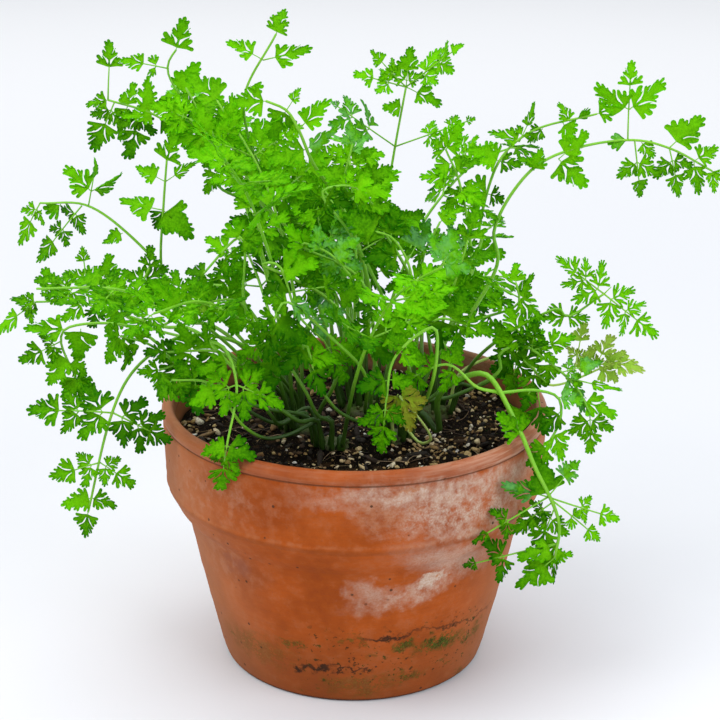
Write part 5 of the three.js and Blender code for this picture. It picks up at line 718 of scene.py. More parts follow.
    [78.1,-47,115.7,82.3,-46.2,103.4,0.356,-0.933,0.06,10.2,0.08,3,0,0],
    [68.6,-42.1,131.4,65.3,-43.5,122.9,-0.2,-0.951,0.236,9.4,0.1,3,0,0],
    [80.5,-45,123.7,72.8,-45.7,115.4,-0.268,-0.905,0.332,13.3,0.1,5,0,0]]],
  ['frond_front_over_rim', [[1.1,0.5,-12.7,-31.3,101.8,-15.2,-35.4,115.7,-21.4,-41.6,117.6,-27.6,-45.1,123.1,-41.2,-51.6,137.9,-54.4,-58.7,156.7,-49.4,-60,154.9,-44.6,-63.9,141.2,-48.4,-68,117.9]], [
    [-48.4,-68,117.9,-58.3,-67.5,115.1,-0.198,-0.789,0.581,9.9,0.08,3,0,0],
    [-48.4,-68,117.9,-37.4,-68.1,113,0.238,-0.796,0.557,10.6,0.08,3,0,0],
    [-48.4,-68,117.9,-51.7,-64.4,96.8,-0.306,-0.945,-0.113,12.2,0.15,5,0,4],
    [-44.6,-63.9,141.2,-63.1,-64.7,134.4,-0.12,-0.895,0.429,17.4,0.08,5,0,0],
    [-44.6,-63.9,141.2,-26.9,-59.6,131.1,0.398,-0.854,0.334,18.9,0.08,5,0,0],
    [-47.5,-61.6,149.5,-60.1,-60.8,145.1,-0.23,-0.818,0.527,9.8,0.08,3,0,0],
    [-46.2,-54.3,145,-35.5,-52.6,144.7,0.137,-0.796,0.589,9.9,0.08,3,0,0]]],
  ['frond_front_centre', [[1.1,0.5,19.7,-22.3,101.8,21.9,-26.3,115.7,24.5,-31.2,117.3,30.6,-46.9,138,30.9,-53.6,160.5,28.7,-54.6,161.3,15.1,-57.5,150.3,12,-59.7,133]], [
    [12,-59.7,133,10.3,-61.4,111.8,0.063,-0.995,0.076,15.3,0.08,5,0,4],
    [13.6,-58.6,141.7,0.5,-57.8,137.9,-0.213,-0.791,0.574,12.2,0.15,3,0,0],
    [13.6,-58.6,141.7,22.6,-57.9,140.6,0.134,-0.794,0.593,9.9,0.08,3,0,0],
    [17.3,-57,152.1,24.9,-56.5,146.5,0.325,-0.878,0.351,9.9,0.08,3,0,0],
    [19.6,-56.5,154,12.5,-56.7,159.4,0.272,-0.906,0.325,10.6,0.08,3,0,0]]],
  ['frond_centre_left', [[1.06,0.5,-12.5,-26.1,101.8,-14.4,-26.3,113.5,-7.7,-34,131.2,-4.2,-31.8,148.6,-4.9,-30.3,157.4,-12.6,-29.7,166.1,-36.3,-30,178.7,-30,-30.9,178.5,-22.3,-36.5,160.5,-12,-41,151]], [
    [-12,-41,151,-2.6,-40.6,133.1,0.411,-0.89,0.196,19.4,0.08,5,0,4],
    [-25.7,-34,168.4,-2,-35.7,173,-0.148,-0.883,0.446,11.6,0.2,5,0,0],
    [-16.1,-39.2,154.8,-25.3,-39.2,141.6,-0.435,-0.847,0.304,14,0.08,3,0,0],
    [-20.3,-37.4,158.7,-3.9,-37.3,161.7,-0.078,-0.898,0.434,14.8,0.08,3,0,0],
    [-27.9,-32.4,173.7,-36.3,-31.6,166.1,-0.406,-0.839,0.363,10.9,0.08,3,0,0],
    [-29,-31.6,176.2,-14.5,-30.7,179.8,-0.086,-0.833,0.547,15.5,0.08,5,0,0]]],
  ['frond_centre_bluish', [[1.1,0.5,9.7,-19.6,101.8,6.6,-21.3,113.3,8,-24,140,3.8,-22.1,166.5,-1.6,-22.1,173.6,-21,-24.2,184.2,-21.4,-24.8,185.8,-10.5,-25.5,181.9,-2.1,-28,173.8]], [
    [-13.3,-25.2,182.6,-14.78,-26.61,193.2,0.191,-0.975,-0.118,10.154,0.08,3,0,0],
    [-8.4,-26.1,179.9,0.38,-25.61,188.1,-0.325,-0.866,0.381,10.154,0.08,3,0,0],
    [-8.4,-26.1,179.9,-12.38,-26.31,171.2,-0.089,-0.993,0.074,10.154,0.08,3,0,0],
    [-2.1,-28,173.8,3.58,-29.01,166.4,0.284,-0.895,0.343,9.454,0.08,3,0,4],
    [-19.8,-24.1,183.6,-21.88,-23.01,170.1,-0.101,-0.993,-0.06,15.654,0.08,5,0,0],
    [-19.37,-24.05,183.36,-26.82,-25.11,193,0.502,-0.814,0.292,11.754,0.08,3,0,0]]],
  ['frond_centre_right', [[1.14,0.5,19.5,-14.9,101.8,23.5,-14,137.6,32,-14,160,26.6,-14,149.6,20.7,-14,175.5,13.9,-14,185.4,8.5,-14,187.3]], [
    [20.7,-14,175.5,29.3,-14.4,192,-0.427,-0.881,0.202,11.1,0.35,3,0,0],
    [8.5,-14,187.3,-4.6,-12.4,194.1,0.18,-0.821,0.541,13.4,0.08,3,0,4],
    [19,-14,177.9,2.6,-15.3,176.9,0.04,-0.873,0.486,10.3,0.15,5,0,0],
    [22.7,-14,166.7,34.5,-13.6,171.7,-0.14,-0.904,0.404,12,0.08,3,0,0],
    [22.7,-14,166.7,11.5,-14.2,163.4,-0.136,-0.848,0.511,13.6,0.08,3,0,0],
    [13.9,-14,185.4,16.6,-15.6,198.4,-0.182,-0.979,-0.087,13.4,0.08,3,0,0],
    [25.4,-14,155.1,38.8,-13.4,159.1,-0.149,-0.769,0.621,13.6,0.08,3,0,0],
    [26,-14,152.2,12.4,-15.8,152.1,0.116,-0.872,0.475,12,0.08,3,0,0]]],
  ['frond_centre_arch', [[1.1,0.5,13.3,-13.5,101.8,11.9,-12.3,113.7,14.6,-10.6,140.7,13.3,-9.8,152.7,-2.2,-8,185.3,-12.9,-8,199.9,-12.9,-8,202.7,-10.1,-8,203.8,-1.2,-8,204.2,9.6,-8,193.8]], [
    [-12.9,-8,202.7,-11,-8.4,185.6,0.093,-0.995,0.035,17.4,0.08,5,0,0],
    [-4.1,-8,204.1,-1.6,-7.5,210.7,-0.295,-0.938,0.18,7.1,0.08,1,0,0],
    [-1.2,-8,204.2,14.3,-9.9,200.9,-0.012,-0.889,0.458,10.3,0.08,3,0,0],
    [0.9,-8,202.1,-3.1,-2.5,188.1,-0.451,-0.867,-0.212,13.4,0.08,3,0,0],
    [9.6,-8,193.8,15.3,-9.2,184.3,0.297,-0.909,0.293,11.1,0.08,3,0,4],
    [5.3,-8,198,18.4,-7.9,193.8,0.216,-0.718,0.662,9.5,0.08,3,0,0]]],
  ['frond_left_mid_a', [[1.1,0.5,-24.8,-9.6,101.8,-24.9,-11.1,113.7,-35.4,-19.7,133.8,-40.8,-21.7,147.8,-44.3,-22,162.5,-44.6,-19.9,186.6,-62.5,-25,169.6]], [
    [-62.5,-25,169.6,-62.6,-26,161.6,0.167,-0.979,0.118,11.8,0.08,3,0,4],
    [-51.8,-22,179.7,-41.4,-22.3,170.5,0.339,-0.846,0.413,14.1,0.08,5,0,0],
    [-58.3,-23.8,173.6,-67.4,-22,173.5,-0.15,-0.723,0.675,10.2,0.08,3,0,0],
    [-45.5,-20.2,185.7,-49.9,-19.9,192.6,0.207,-0.964,0.165,10.2,0.08,3,0,0],
    [-49.7,-21.4,181.7,-58.6,-20.4,187,0.252,-0.782,0.57,7.8,0.08,1,0,0],
    [-45.5,-20.2,185.7,-33.6,-19.1,186.8,0.015,-0.804,0.594,10.2,0.08,3,0,0]]],
  ['frond_low_left_a', [[1.1,0.5,-16.3,-25,101.8,-19.1,-24.5,113.5,-21,-25.8,115.2,-29.5,-33.8,113.1,-33.1,-39,119.4,-49.1,-41.9,144.7,-54.3,-42.6,147.2,-72.4,-42.9,146.7]], [
    [-54.3,-42.6,147.2,-60.1,-45.5,134.1,-0.258,-0.912,0.319,15.5,0.08,5,0,0],
    [-57.3,-42.6,147.1,-57.6,-41.2,158.5,-0.124,-0.984,0.126,14.7,0.08,5,0,0],
    [-63.3,-42.7,147,-69.2,-47.6,135.2,-0.205,-0.866,0.457,14,0.08,5,0,0],
    [-63.3,-42.7,147,-68.1,-43.9,158.5,0.221,-0.975,-0.008,14,0.08,5,0,0],
    [-72.4,-42.9,146.7,-81.3,-46.4,148.7,0.411,-0.812,0.414,14,0.08,5,0,4]]],
  ['frond_low_left_b', [[1.1,0.5,-9.8,-28.6,101.8,-9.1,-29.7,113.6,-11.2,-30.9,115,-26.9,-38.5,110.4,-34.9,-42.4,110.8,-43.4,-46.7,117.8,-55.6,-52.5,137.6,-70,-54,139.3]], [
    [-61.2,-53.1,138.3,-61.3,-52.7,123.2,0.002,-1,-0.023,14.6,0.08,5,0,0],
    [-61.2,-53.1,138.3,-68.4,-52.7,146.2,0.309,-0.895,0.321,10,0.08,3,0,0],
    [-67.1,-53.7,139,-66.3,-55.6,130.1,0.183,-0.957,0.223,9.2,0.08,3,0,0],
    [-70,-54,139.3,-77.7,-49.1,128.3,-0.511,-0.86,-0.022,15.3,0.08,5,0,4]]],
  ['frond_mid_left', [[1.1,0.5,-24,-6,101.8,-23.7,-5.6,113.5,-31.2,-16.3,129.2,-45.6,-15.9,158,-50.7,-17.2,160,-59.3,-18.9,158.9]], [
    [-48.1,-16.5,159,-47.6,-17.5,144.7,0.194,-0.978,0.075,15.9,0.08,5,0,0],
    [-50.7,-17.2,160,-45.5,-19,172.8,-0.213,-0.976,-0.054,14.3,0.08,5,0,0],
    [-56.4,-18.3,159.3,-57,-21.2,146.7,0.082,-0.973,0.217,13.5,0.08,5,0,0],
    [-56.4,-18.3,159.3,-61.5,-17.6,169.7,0.386,-0.888,0.25,11.9,0.08,3,0,0],
    [-59.3,-18.9,158.9,-66.7,-21.1,154.6,-0.131,-0.768,0.627,11.1,0.08,3,0,6]]],
  ['frond_centre_low_a', [[1.1,0.5,-9,-32.3,101.8,-9.6,-36.4,115.8,-14.2,-38.2,118.4,-19.8,-41.9,131.6,-36.5,-45.8,159.2,-38.1,-46.7,161,-33.3,-50,147.5]], [
    [-38.1,-46.7,161,-47.2,-45.7,160.1,-0.138,-0.886,0.443,13,0.08,5,0,0],
    [-36.5,-45.8,159.2,-25.7,-45.9,155.5,0.179,-0.822,0.541,13.1,0.08,3,0,0],
    [-35.2,-48.7,152.9,-44.9,-48.5,146.4,-0.225,-0.922,0.315,13,0.08,5,0,0],
    [-34.3,-49.3,150.2,-22.4,-54.2,153.5,-0.443,-0.777,0.446,13.8,0.08,5,0,0],
    [-33.3,-50,147.5,-31.1,-49.7,133.8,0.249,-0.968,0.017,17.7,0.08,5,0,4]]],
  ['frond_centre_low_b', [[1.1,0.5,12.3,-22.3,101.8,10.3,-26.5,115.3,7.7,-34.6,114,-7.1,-44.5,123.7,-20,-49.4,151.5,-18.6,-50.4,152.9,-16,-52.5,144]], [
    [-19.2,-50.1,151.8,-27.8,-54.9,143.2,-0.155,-0.793,0.59,13,0.08,5,0,0],
    [-17.4,-48.8,147.8,-4.9,-48.5,145.1,0.162,-0.715,0.68,13.8,0.08,5,0,0],
    [-16,-52.5,144,-11.8,-52.8,132.6,0.264,-0.957,0.12,11.5,0.08,3,0,4]]],
  ['frond_mid_right_a', [[1.1,0.5,15.2,-19.6,101.8,14.5,-21.2,113.6,22.2,-24.4,125.4,20.9,-27.4,136.8,11.8,-29.9,158.7,9.7,-30.7,159.4,3.6,-33,149.5]], [
    [11.8,-29.9,158.7,21,-28.9,147.4,0.355,-0.911,0.209,14.9,0.08,5,0,0],
    [9.7,-30.7,159.4,-0.4,-29.3,162.3,0.023,-0.875,0.484,14.1,0.08,5,0,0],
    [6.7,-31.8,154.5,-4.3,-32.8,152.7,-0.033,-0.765,0.643,13.3,0.08,3,0,0],
    [5.1,-32.4,152,14.7,-32.4,138.6,0.308,-0.926,0.219,14.1,0.08,5,0,0],
    [3.6,-33,149.5,-1.9,-33.8,138.1,0.187,-0.982,-0.022,17.3,0.08,5,0,4]]],
  ['frond_mid_right_b', [[1.1,0.5,18.7,-18.5,101.8,19.4,-19.7,113.7,32.5,-19.9,120.7,37.8,-20.7,131.2,37.5,-22.7,139.9,29.5,-30.2,154.2,34.1,-30.9,157.2,42.7,-32,155.3]], [
    [29.5,-30.2,154.2,25.4,-28.3,166.3,0.254,-0.938,0.235,13.4,0.08,5,0,0],
    [34.1,-30.9,157.2,33.6,-30,142.9,-0.105,-0.993,-0.059,14.1,0.08,5,0,0],
    [36.9,-31.3,156.6,42.3,-33.2,169.6,-0.196,-0.979,-0.063,13.3,0.08,5,0,0],
    [39.8,-31.6,155.9,39.7,-34.9,143.8,-0.069,-0.963,0.26,13.3,0.08,5,0,0],
    [42.7,-32,155.3,55.2,-33.5,152.6,-0.008,-0.892,0.452,13.3,0.08,5,0,4]]],
  ['frond_mid_right_c', [[1.1,0.5,33.2,8.4,101.8,33,6.2,116.7,38,0,154.9,39.6,-1.9,159.9,45.4,1,179.9]], [
    [39.6,-1.9,159.9,28.7,-0.8,165.1,0.159,-0.843,0.514,13.8,0.08,5,0,0],
    [39.6,-1.9,159.9,52.6,-6.3,165.3,-0.434,-0.811,0.392,14.6,0.08,5,0,0],
    [42.9,-0.2,171.3,31.8,1,175.6,0.075,-0.887,0.456,13.8,0.08,5,0,0],
    [42.9,-0.2,171.3,56,1,175.8,-0.153,-0.736,0.659,13.8,0.08,5,0,0],
    [44.6,0.6,177.1,36.4,2,185.4,0.146,-0.942,0.301,12.1,0.08,5,0,0],
    [45.4,1,179.9,48.3,0.8,193.3,-0.002,-1,-0.012,16.2,0.08,5,0,4]]],
  ['frond_mid_right_d', [[1.1,0.5,34,12,101.8,34.1,11.9,113.6,30.1,15.9,139.6,27.9,18.1,166,34.9,21,181.8]], [
    [29,18.6,168.6,19.3,18.5,170.4,0.131,-0.735,0.665,12.4,0.08,5,0,0],
    [31.4,19.5,173.8,41.6,20.4,176,-0.027,-0.879,0.476,14.1,0.08,5,0,0],
    [32.5,20,176.5,22.4,19.4,183.9,0.386,-0.796,0.466,12.4,0.08,3,0,0],
    [34.9,21,181.8,43.8,21.4,188.6,-0.219,-0.914,0.341,14.1,0.08,5,0,4]]],
  ['frond_centre_mid', [[1.1,0.5,12.5,-17.1,101.8,8.1,-20,134.5,-6.7,-20,160.7,-11.5,-22,174.7]], [
    [-7.6,-20.4,163.5,5.1,-17.1,164.2,0.125,-0.666,0.735,14.3,0.08,5,0,0],
    [-7.6,-20.4,163.5,-19.5,-18.5,160.3,-0.263,-0.833,0.488,14.3,0.08,5,0,0],
    [-9.6,-21.2,169.1,2.6,-15.6,175.4,0.108,-0.836,0.539,13.4,0.08,5,0,0],
    [-9.6,-21.2,169.1,-21.8,-20.4,174.2,-0.05,-0.998,0.04,13.4,0.08,5,0,0],
    [-11.5,-22,174.7,-14.8,-17.9,185,0.145,-0.903,0.404,15.7,0.08,5,0,4]]],
  ['frond_centre_back_a', [[1.1,0.5,-1.5,14.9,101.8,-3.3,14.5,113.7,-0.1,10.2,146.5,-0.6,10.2,158.5,-4.5,12.2,172.9,-12.4,14.1,176.1,-16.3,16,190.5]], [
    [-12.4,14.1,176.1,-26,12.7,179.5,0.211,-0.837,0.505,14.8,0.08,5,0,0],
    [-12.4,14.1,176.1,1,6.7,183.9,-0.591,-0.746,0.309,15.6,0.08,5,0,0],
    [-14.7,15.2,184.7,-26.9,14.6,189.9,0.306,-0.723,0.619,13.9,0.08,5,0,0],
    [-13.9,14.9,181.8,-1.6,21.6,190.8,0.085,-0.85,0.519,13.9,0.08,5,0,0],
    [-16.3,16,190.5,-20.4,17.9,203.4,0.062,-0.985,0.163,17.2,0.08,5,0,4]]],
  ['frond_left_mid_b', [[1.1,0.5,-23.2,-2.4,101.8,-22.7,-0.7,113.6,-27.6,0,143.2,-36.4,0.1,178,-42.5,2,191.6]], [
    [-36.4,0.1,178,-48.4,1.9,176.5,-0.195,-0.779,0.596,14.5,0.08,5,0,0],
    [-36.4,0.1,178,-25.7,1.9,179.2,0.033,-0.69,0.723,14.5,0.08,5,0,0],
    [-38.8,0.9,183.4,-50.6,2.3,188.1,0.06,-0.9,0.432,13.7,0.08,5,0,0],
    [-38.8,0.9,183.4,-27.2,0.6,191.2,-0.448,-0.62,0.644,13.7,0.08,5,0,0],
    [-42.5,2,191.6,-46.4,3.6,203.5,0.034,-0.989,0.142,16.9,0.08,5,0,4]]],
  ['frond_left_rim', [[1.1,0.5,-15.3,-21.4,101.8,-17.4,-19.1,113.4,-19.4,-20.2,115.1,-30,-30,112,-35.3,-31.9,114.2,-47.1,-34.3,123.1,-62.5,-38.1,141.1,-76.3,-38,137.5]], [
    [-62.5,-38.1,141.1,-65.5,-38.6,126,-0.001,-1,0.032,14.9,0.08,5,0,0],
    [-67.6,-38.1,139.8,-77,-40.6,128.4,-0.256,-0.878,0.406,14.9,0.08,5,0,0],
    [-70.4,-38,139,-72.7,-38.8,151,0.025,-0.998,-0.061,11.7,0.08,5,0,0],
    [-76.3,-38,137.5,-76,-43.5,128.7,-0.228,-0.83,0.509,12.5,0.08,5,0,0],
    [-76.3,-38,137.5,-84.4,-42.1,138.1,0.351,-0.593,0.725,13.3,0.08,5,0,4]]],
  ['frond_centre_low_c', [[1.1,0.5,8.7,-16,101.8,5.5,-15.4,113.2,4.8,-17,115.4,4.6,-22.8,114.3,4.4,-27.6,117.5,4.8,-36.7,132.8,0.5,-41.3,142.7,-24.9,-51.6,170,-27.3,-52.7,170.3,-32.2,-54.2,159.9]], [
    [-24.9,-51.6,170,-35.2,-52.8,171.4,0.166,-0.855,0.492,14.4,0.08,5,0,0],
    [-24.9,-51.6,170,-13.4,-48.3,165.2,0.408,-0.804,0.433,14.4,0.08,5,0,0],
    [-29.7,-53.4,165.1,-39.8,-55.3,160.2,-0.124,-0.817,0.563,14.4,0.08,5,0,0],
    [-29.7,-53.4,165.1,-18.7,-52.1,154.4,0.675,-0.333,0.659,14.4,0.08,5,0,0],
    [-32.2,-54.2,159.9,-34.5,-57.2,147.2,0.035,-0.974,0.223,16.7,0.08,5,0,4]]],
  ['frond_right_rim', [[1.1,0.5,40.3,8.3,101.8,44.1,5.5,115.6,50.4,-4.2,118.3,62.6,-6.3,126.7,66.3,-10.3,133.5,77.8,-14,124.5]], [
    [65.1,-9.1,131.4,57.8,-10.5,146.4,0.18,-0.984,-0.005,14.7,0.08,5,0,0],
    [66.3,-10.3,133.5,63,-8.7,117.2,-0.087,-0.993,-0.08,15.4,0.08,5,0,0],
    [68.5,-11,131.8,77.4,-10.9,141.5,-0.213,-0.955,0.207,13.8,0.08,5,0,0],
    [73.1,-12.5,128.1,71.8,-11.3,114.8,-0.193,-0.979,-0.068,14.6,0.08,5,0,0]]],
  ['frond_old_yellow', [[0.79,0.5,16,-23.3,101.8,15.4,-26,113.6,17,-27.8,114.5,24.7,-33,106.8,26.9,-34.8,106,30.3,-38.4,109,28.9,-40.9,114.2,16.9,-46,131,19.2,-48,128.5]], [
    [16.9,-46,131,12.4,-44.3,119.5,-0.406,-0.913,0.026,10.1,0.08,3,0,2],
    [17.5,-46.5,130.3,28.3,-52.9,130.5,-0.429,-0.713,0.555,10.1,0.08,3,0,2],
    [19.2,-48,128.5,22.6,-47,115.6,0.042,-0.997,-0.069,11.7,0.08,3,0,6]]],
  ['shoot_back_1', [[2,1.7,2,23.3,101.8,2,23.3,106.8],[1,0.5,1.4,24.3,103.3,-1.4,30.4,132.6,-5.8,39.1,154.6,-12.5,51.8,173.7,-21.9,68.5,188.1],[1,0.5,1.5,24.3,103.3,-8.5,38.2,135.1,-19.2,51.4,159.8,-33,66.6,181.8,-48.2,81.8,198.3],[1,0.5,1.9,24.4,103.3,1.2,28.8,136.4,0,37.4,165.5,-1.8,50.3,189.5,-3.7,66.2,207.7]], [
    [-6,39.5,155.2,12.9,60.9,172.2,0.542,-0.762,0.355,22,0.14,5,0,0],
    [-6,39.5,155.2,-27.8,22.8,166.4,0.674,-0.558,0.483,20.4,0.14,5,0,0],
    [-11.6,50,171,3,69.3,179,0.479,-0.62,0.621,18,0.08,5,0,0],
    [-11.6,50,171,-38,45.6,175.6,0.225,-0.46,0.859,18.4,0.08,5,0,0],
    [-17.1,60,180.8,-8.8,72.7,185.3,0.172,-0.433,0.885,12.6,0.08,3,0,0],
    [-17.1,60,180.8,-34,60.9,189.2,0.352,-0.541,0.764,13.8,0.08,3,0,0],
    [-21.9,68.5,188.1,-29.1,81.1,194.7,0.206,-0.36,0.91,15.1,0.05,3,0,4],
    [-22.1,54.6,164.4,-9.3,82.1,177.1,0.42,-0.533,0.734,19.5,0.14,5,0,0],
    [-22.1,54.6,164.4,-49.9,44.8,177.5,0.504,-0.597,0.624,22.4,0.14,5,0,0],
    [-31.9,65.4,180,-22.8,86.9,187.9,0.522,-0.479,0.705,15.4,0.08,5,0,0],
    [-31.9,65.4,180,-55.5,54.3,186.8,0.463,-0.571,0.678,18.6,0.08,5,0,0],
    [-40.8,74.4,190.2,-34.6,90,196.6,0.555,-0.494,0.67,12.6,0.08,3,0,0],
    [-40.8,74.4,190.2,-55.3,67.6,191.5,0.287,-0.46,0.84,12,0.08,3,0,0],
    [-48.2,81.8,198.3,-60.1,93.4,206.8,0.327,-0.318,0.89,17.7,0.05,3,0,4],
    [0.1,36.7,163,29.9,53.8,176.8,0.254,-0.835,0.489,24.2,0.14,5,0,0],
    [-1.3,46.9,183.2,17.5,56.8,194,0.218,-0.879,0.423,15.6,0.08,5,0,0],
    [-1.3,46.9,183.2,-28.2,43.1,188.4,0.194,-0.927,0.321,18.8,0.08,5,0,0],
    [-2.6,57,197.1,12.2,64.8,200.7,0.287,-0.794,0.536,12.4,0.08,3,0,0],
    [-2.6,57,197.1,-19,59.7,203.1,0.117,-0.741,0.661,12.6,0.08,3,0,0]]],
  ['shoot_back_3', [[2,1.7,-24,1.3,101.8,-24,1.3,106.8],[1,0.5,-24.5,2.3,103.3,-28.7,10.3,125.3,-33,18.2,144.1,-43.5,36,176.6,-56.7,56.6,202.5,-72,78.7,221],[1,0.5,-24.4,2.4,103.3,-32.6,20,129.5,-40.2,38.9,146.8,-48.3,62,157.3,-55.2,84.6,159.1],[1,0.5,-24.8,2.1,103.3,-28.6,5.7,126.7,-32.9,9.8,146.8,-42.7,19.4,180,-55.3,31.7,207.8,-71.3,47.8,231.6]], [
    [-51.8,49,192.9,-33.1,75.6,202.7,0.381,-0.541,0.75,21.3,0.14,5,0,0],
    [-59.5,60.7,205.9,-46.4,83.3,212.1,0.174,-0.352,0.92,18.1,0.08,5,0,0],
    [-59.5,60.7,205.9,-82,56.7,211.6,0.296,-0.551,0.78,15.3,0.08,5,0,0],
    [-66.4,70.6,214.2,-57.4,84.8,218.5,0.414,-0.492,0.766,12.7,0.08,3,0,0],
    [-66.4,70.6,214.2,-80.9,69.9,220.1,0.351,-0.453,0.819,10.5,0.08,3,0,0],
    [-72,78.7,221,-80.7,91,227.3,0.221,-0.313,0.924,15.5,0.05,3,0,4],
    [-40.6,40,147.3,-23.5,63.6,159.4,0.364,-0.62,0.695,21.2,0.14,5,0,0],
    [-40.6,40,147.3,-71.5,50.9,147.9,-0.232,-0.7,0.676,22.5,0.14,5,0,0],
    [-46.9,57.9,155.4,-31,72.2,154.3,0.137,-0.075,0.988,13.4,0.08,3,0,0],
    [-46.9,57.9,155.4,-64.4,57,159.8,0.248,-0.223,0.943,11.3,0.08,3,0,0],
    [-51.5,72.4,158.1,-40.8,83.3,157.6,0.296,-0.247,0.923,11.2,0.08,3,0,0],
    [-50.2,26.7,196.6,-34.9,53.7,204,0.752,-0.534,0.387,20.2,0.14,5,0,0],
    [-58.3,34.7,212.2,-48.4,55.6,221.5,0.657,-0.543,0.523,15.9,0.08,3,0,0],
    [-58.3,34.7,212.2,-78.2,31.7,227.2,0.563,-0.518,0.644,16.3,0.08,3,0,0],
    [-65.5,41.9,222.9,-57.7,54.4,227.1,0.587,-0.558,0.586,10.5,0.08,3,0,0],
    [-65.5,41.9,222.9,-82.9,37.6,227.5,0.338,-0.699,0.631,14.9,0.08,3,0,0]]],
  ['shoot_back_4', [[2,1.7,5.6,22.3,101.8,5.6,22.3,106.8],[1,0.5,5.2,23.4,103.3,0,35.3,129.9,-4.4,46.6,150.2,-8.9,60.1,169.1,-13,73.9,184],[1,0.5,5.4,23.4,103.3,4.1,30.2,135.2,2.1,40.6,162.9,-0.8,54.4,185.4,-4.3,70.6,202.4],[1,0.5,5.3,23.4,103.3,0.3,39,124.4,-5.7,54.7,145,-13.1,70.9,164.8,-20.9,85.6,181.7]], [
    [-4.7,47.6,151.5,18.7,63.9,163.1,0.369,-0.828,0.421,18.4,0.14,5,0,0],
    [-4.7,47.6,151.5,-31.4,45.2,162.2,0.284,-0.794,0.538,18.3,0.14,5,0,0],
    [-8.1,57.8,165.9,7.7,71.7,173.8,0.24,-0.67,0.703,14.3,0.08,3,0,0],
    [-8.1,57.8,165.9,-22.4,57.7,176.1,0.446,-0.645,0.62,12.9,0.08,3,0,0],
    [-10.8,66.5,176,-0.6,76.7,181.5,0.065,-0.525,0.849,10.4,0.08,3,0,0],
    [-10.8,66.5,176,-25.1,68,181.7,0.264,-0.533,0.804,11.3,0.08,3,0,0],
    [-13,73.9,184,-16.3,85.2,193.2,0.169,-0.589,0.79,14.2,0.05,3,0,4],
    [1.3,44.6,169.4,30,56.8,175.3,0.215,-0.787,0.578,20.8,0.14,5,0,0],
    [-0.7,53.9,184.6,18.9,67.5,193,0.046,-0.575,0.817,15.7,0.08,5,0,0],
    [-0.7,53.9,184.6,-24.7,55.7,192.2,0.194,-0.626,0.755,18.1,0.08,5,0,0],
    [-2.7,63,194.5,9.9,73.9,201.2,0.199,-0.672,0.713,14.4,0.08,3,0,0],
    [-2.7,63,194.5,-17,66.8,199.7,0.217,-0.414,0.884,12,0.08,3,0,0],
    [-4.3,70.6,202.4,-5.3,86.1,203.4,0.299,-0.044,0.953,14.8,0.05,3,0,4],
    [-5.3,53.5,143.5,19.6,74.7,147.7,0.442,-0.643,0.626,19.6,0.14,5,0,0],
    [-5.3,53.5,143.5,-34.6,56.6,153,0.183,-0.623,0.761,18.2,0.14,5,0,0],
    [-11.3,66.9,159.9,4.7,83.4,164.7,0.427,-0.608,0.669,15.4,0.08,3,0,0],
    [-11.3,66.9,159.9,-33.9,72.7,171,0.26,-0.53,0.807,15.9,0.08,3,0,0],
    [-16.4,77.2,172,-5.9,90.4,177.7,0.333,-0.584,0.74,13.1,0.08,3,0,0],
    [-16.4,77.2,172,-32.9,78,177.3,0.186,-0.704,0.686,13.3,0.08,3,0,0],
    [-20.9,85.6,181.7,-11.8,95.1,193,0.061,-0.788,0.612,16.5,0.05,3,0,4]]],
  ['shoot_back_6', [[2,1.7,8.3,19.6,101.8,8.3,19.6,106.8],[1,0.5,9,20.6,103.3,21.6,37.2,124.5,34.6,52.8,136.7,50.1,70,141.9,66.6,86.6,138],[1,0.5,9.1,20.5,103.3,11.5,22.8,127.2,15,26,144.6,26.8,37,173.5,36.3,45.9,186,45.7,54.7,193.9,56.1,64.4,198.8,67,74.6,200.4],[1,0.5,9.3,20.3,103.3,19.1,28.6,129.9,30.2,38.8,148.1,44.1,52.8,161,59.7,69.7,166.1]], [
    [37.6,56.1,137.7,68.5,45.4,139.6,-0.092,-0.089,0.992,21.1,0.14,5,0,0],
    [37.6,56.1,137.7,30.3,87.2,137.9,-0.173,-0.046,0.984,19.9,0.14,5,0,0],
    [49.3,69.2,141.6,70.8,66.4,136.8,0.236,0.149,0.96,16.3,0.08,3,0,0],
    [49.3,69.2,141.6,41,91.7,141.8,0.12,0.04,0.992,16.1,0.08,3,0,0],
    [58.8,78.8,139.8,72.5,73.8,136.9,0.242,0.09,0.966,10.3,0.08,3,0,0],
    [58.8,78.8,139.8,53.2,92.9,138.8,0.045,0.09,0.995,11.3,0.08,3,0,0],
    [66.6,86.6,138,76.6,92.3,132.1,0.342,0.311,0.887,12.3,0.05,3,0,4],
    [37,46.6,186.6,59.8,29.3,182.1,-0.073,-0.34,0.938,17,0.14,5,0,0],
    [37,46.6,186.6,38.9,73.6,192.6,-0.705,-0.107,0.701,18.7,0.14,5,0,0],
    [48.8,57.6,195.4,44.8,81.2,204.9,-0.624,-0.383,0.681,15.8,0.08,3,0,0],
    [58.7,66.8,199.2,50.1,80.3,199.4,-0.191,-0.134,0.972,12.3,0.08,3,0,0],
    [67,74.6,200.4,80.2,86.9,199.1,0.054,0.05,0.997,17.2,0.05,3,0,4],
    [32.3,40.9,150.1,62.7,37.3,144.6,0.044,-0.703,0.709,21.2,0.14,5,0,0],
    [32.3,40.9,150.1,33.3,65.9,146.3,-0.302,0.155,0.941,15.5,0.14,5,0,0],
    [43.1,51.8,160.1,64.2,45.4,161.6,-0.219,-0.522,0.825,13.9,0.08,3,0,0],
    [43.1,51.8,160.1,33,72.9,159.9,-0.207,-0.09,0.974,17.2,0.08,3,0,0],
    [52.2,61.6,163.6,68.6,57.2,165,-0.041,0.161,0.986,13.6,0.08,3,0,0],
    [52.2,61.6,163.6,48.8,76.4,163.1,-0.128,0.011,0.992,12,0.08,3,0,0],
    [59.7,69.7,166.1,64.7,80.7,168,-0.041,-0.154,0.987,11.7,0.05,3,0,4]]],
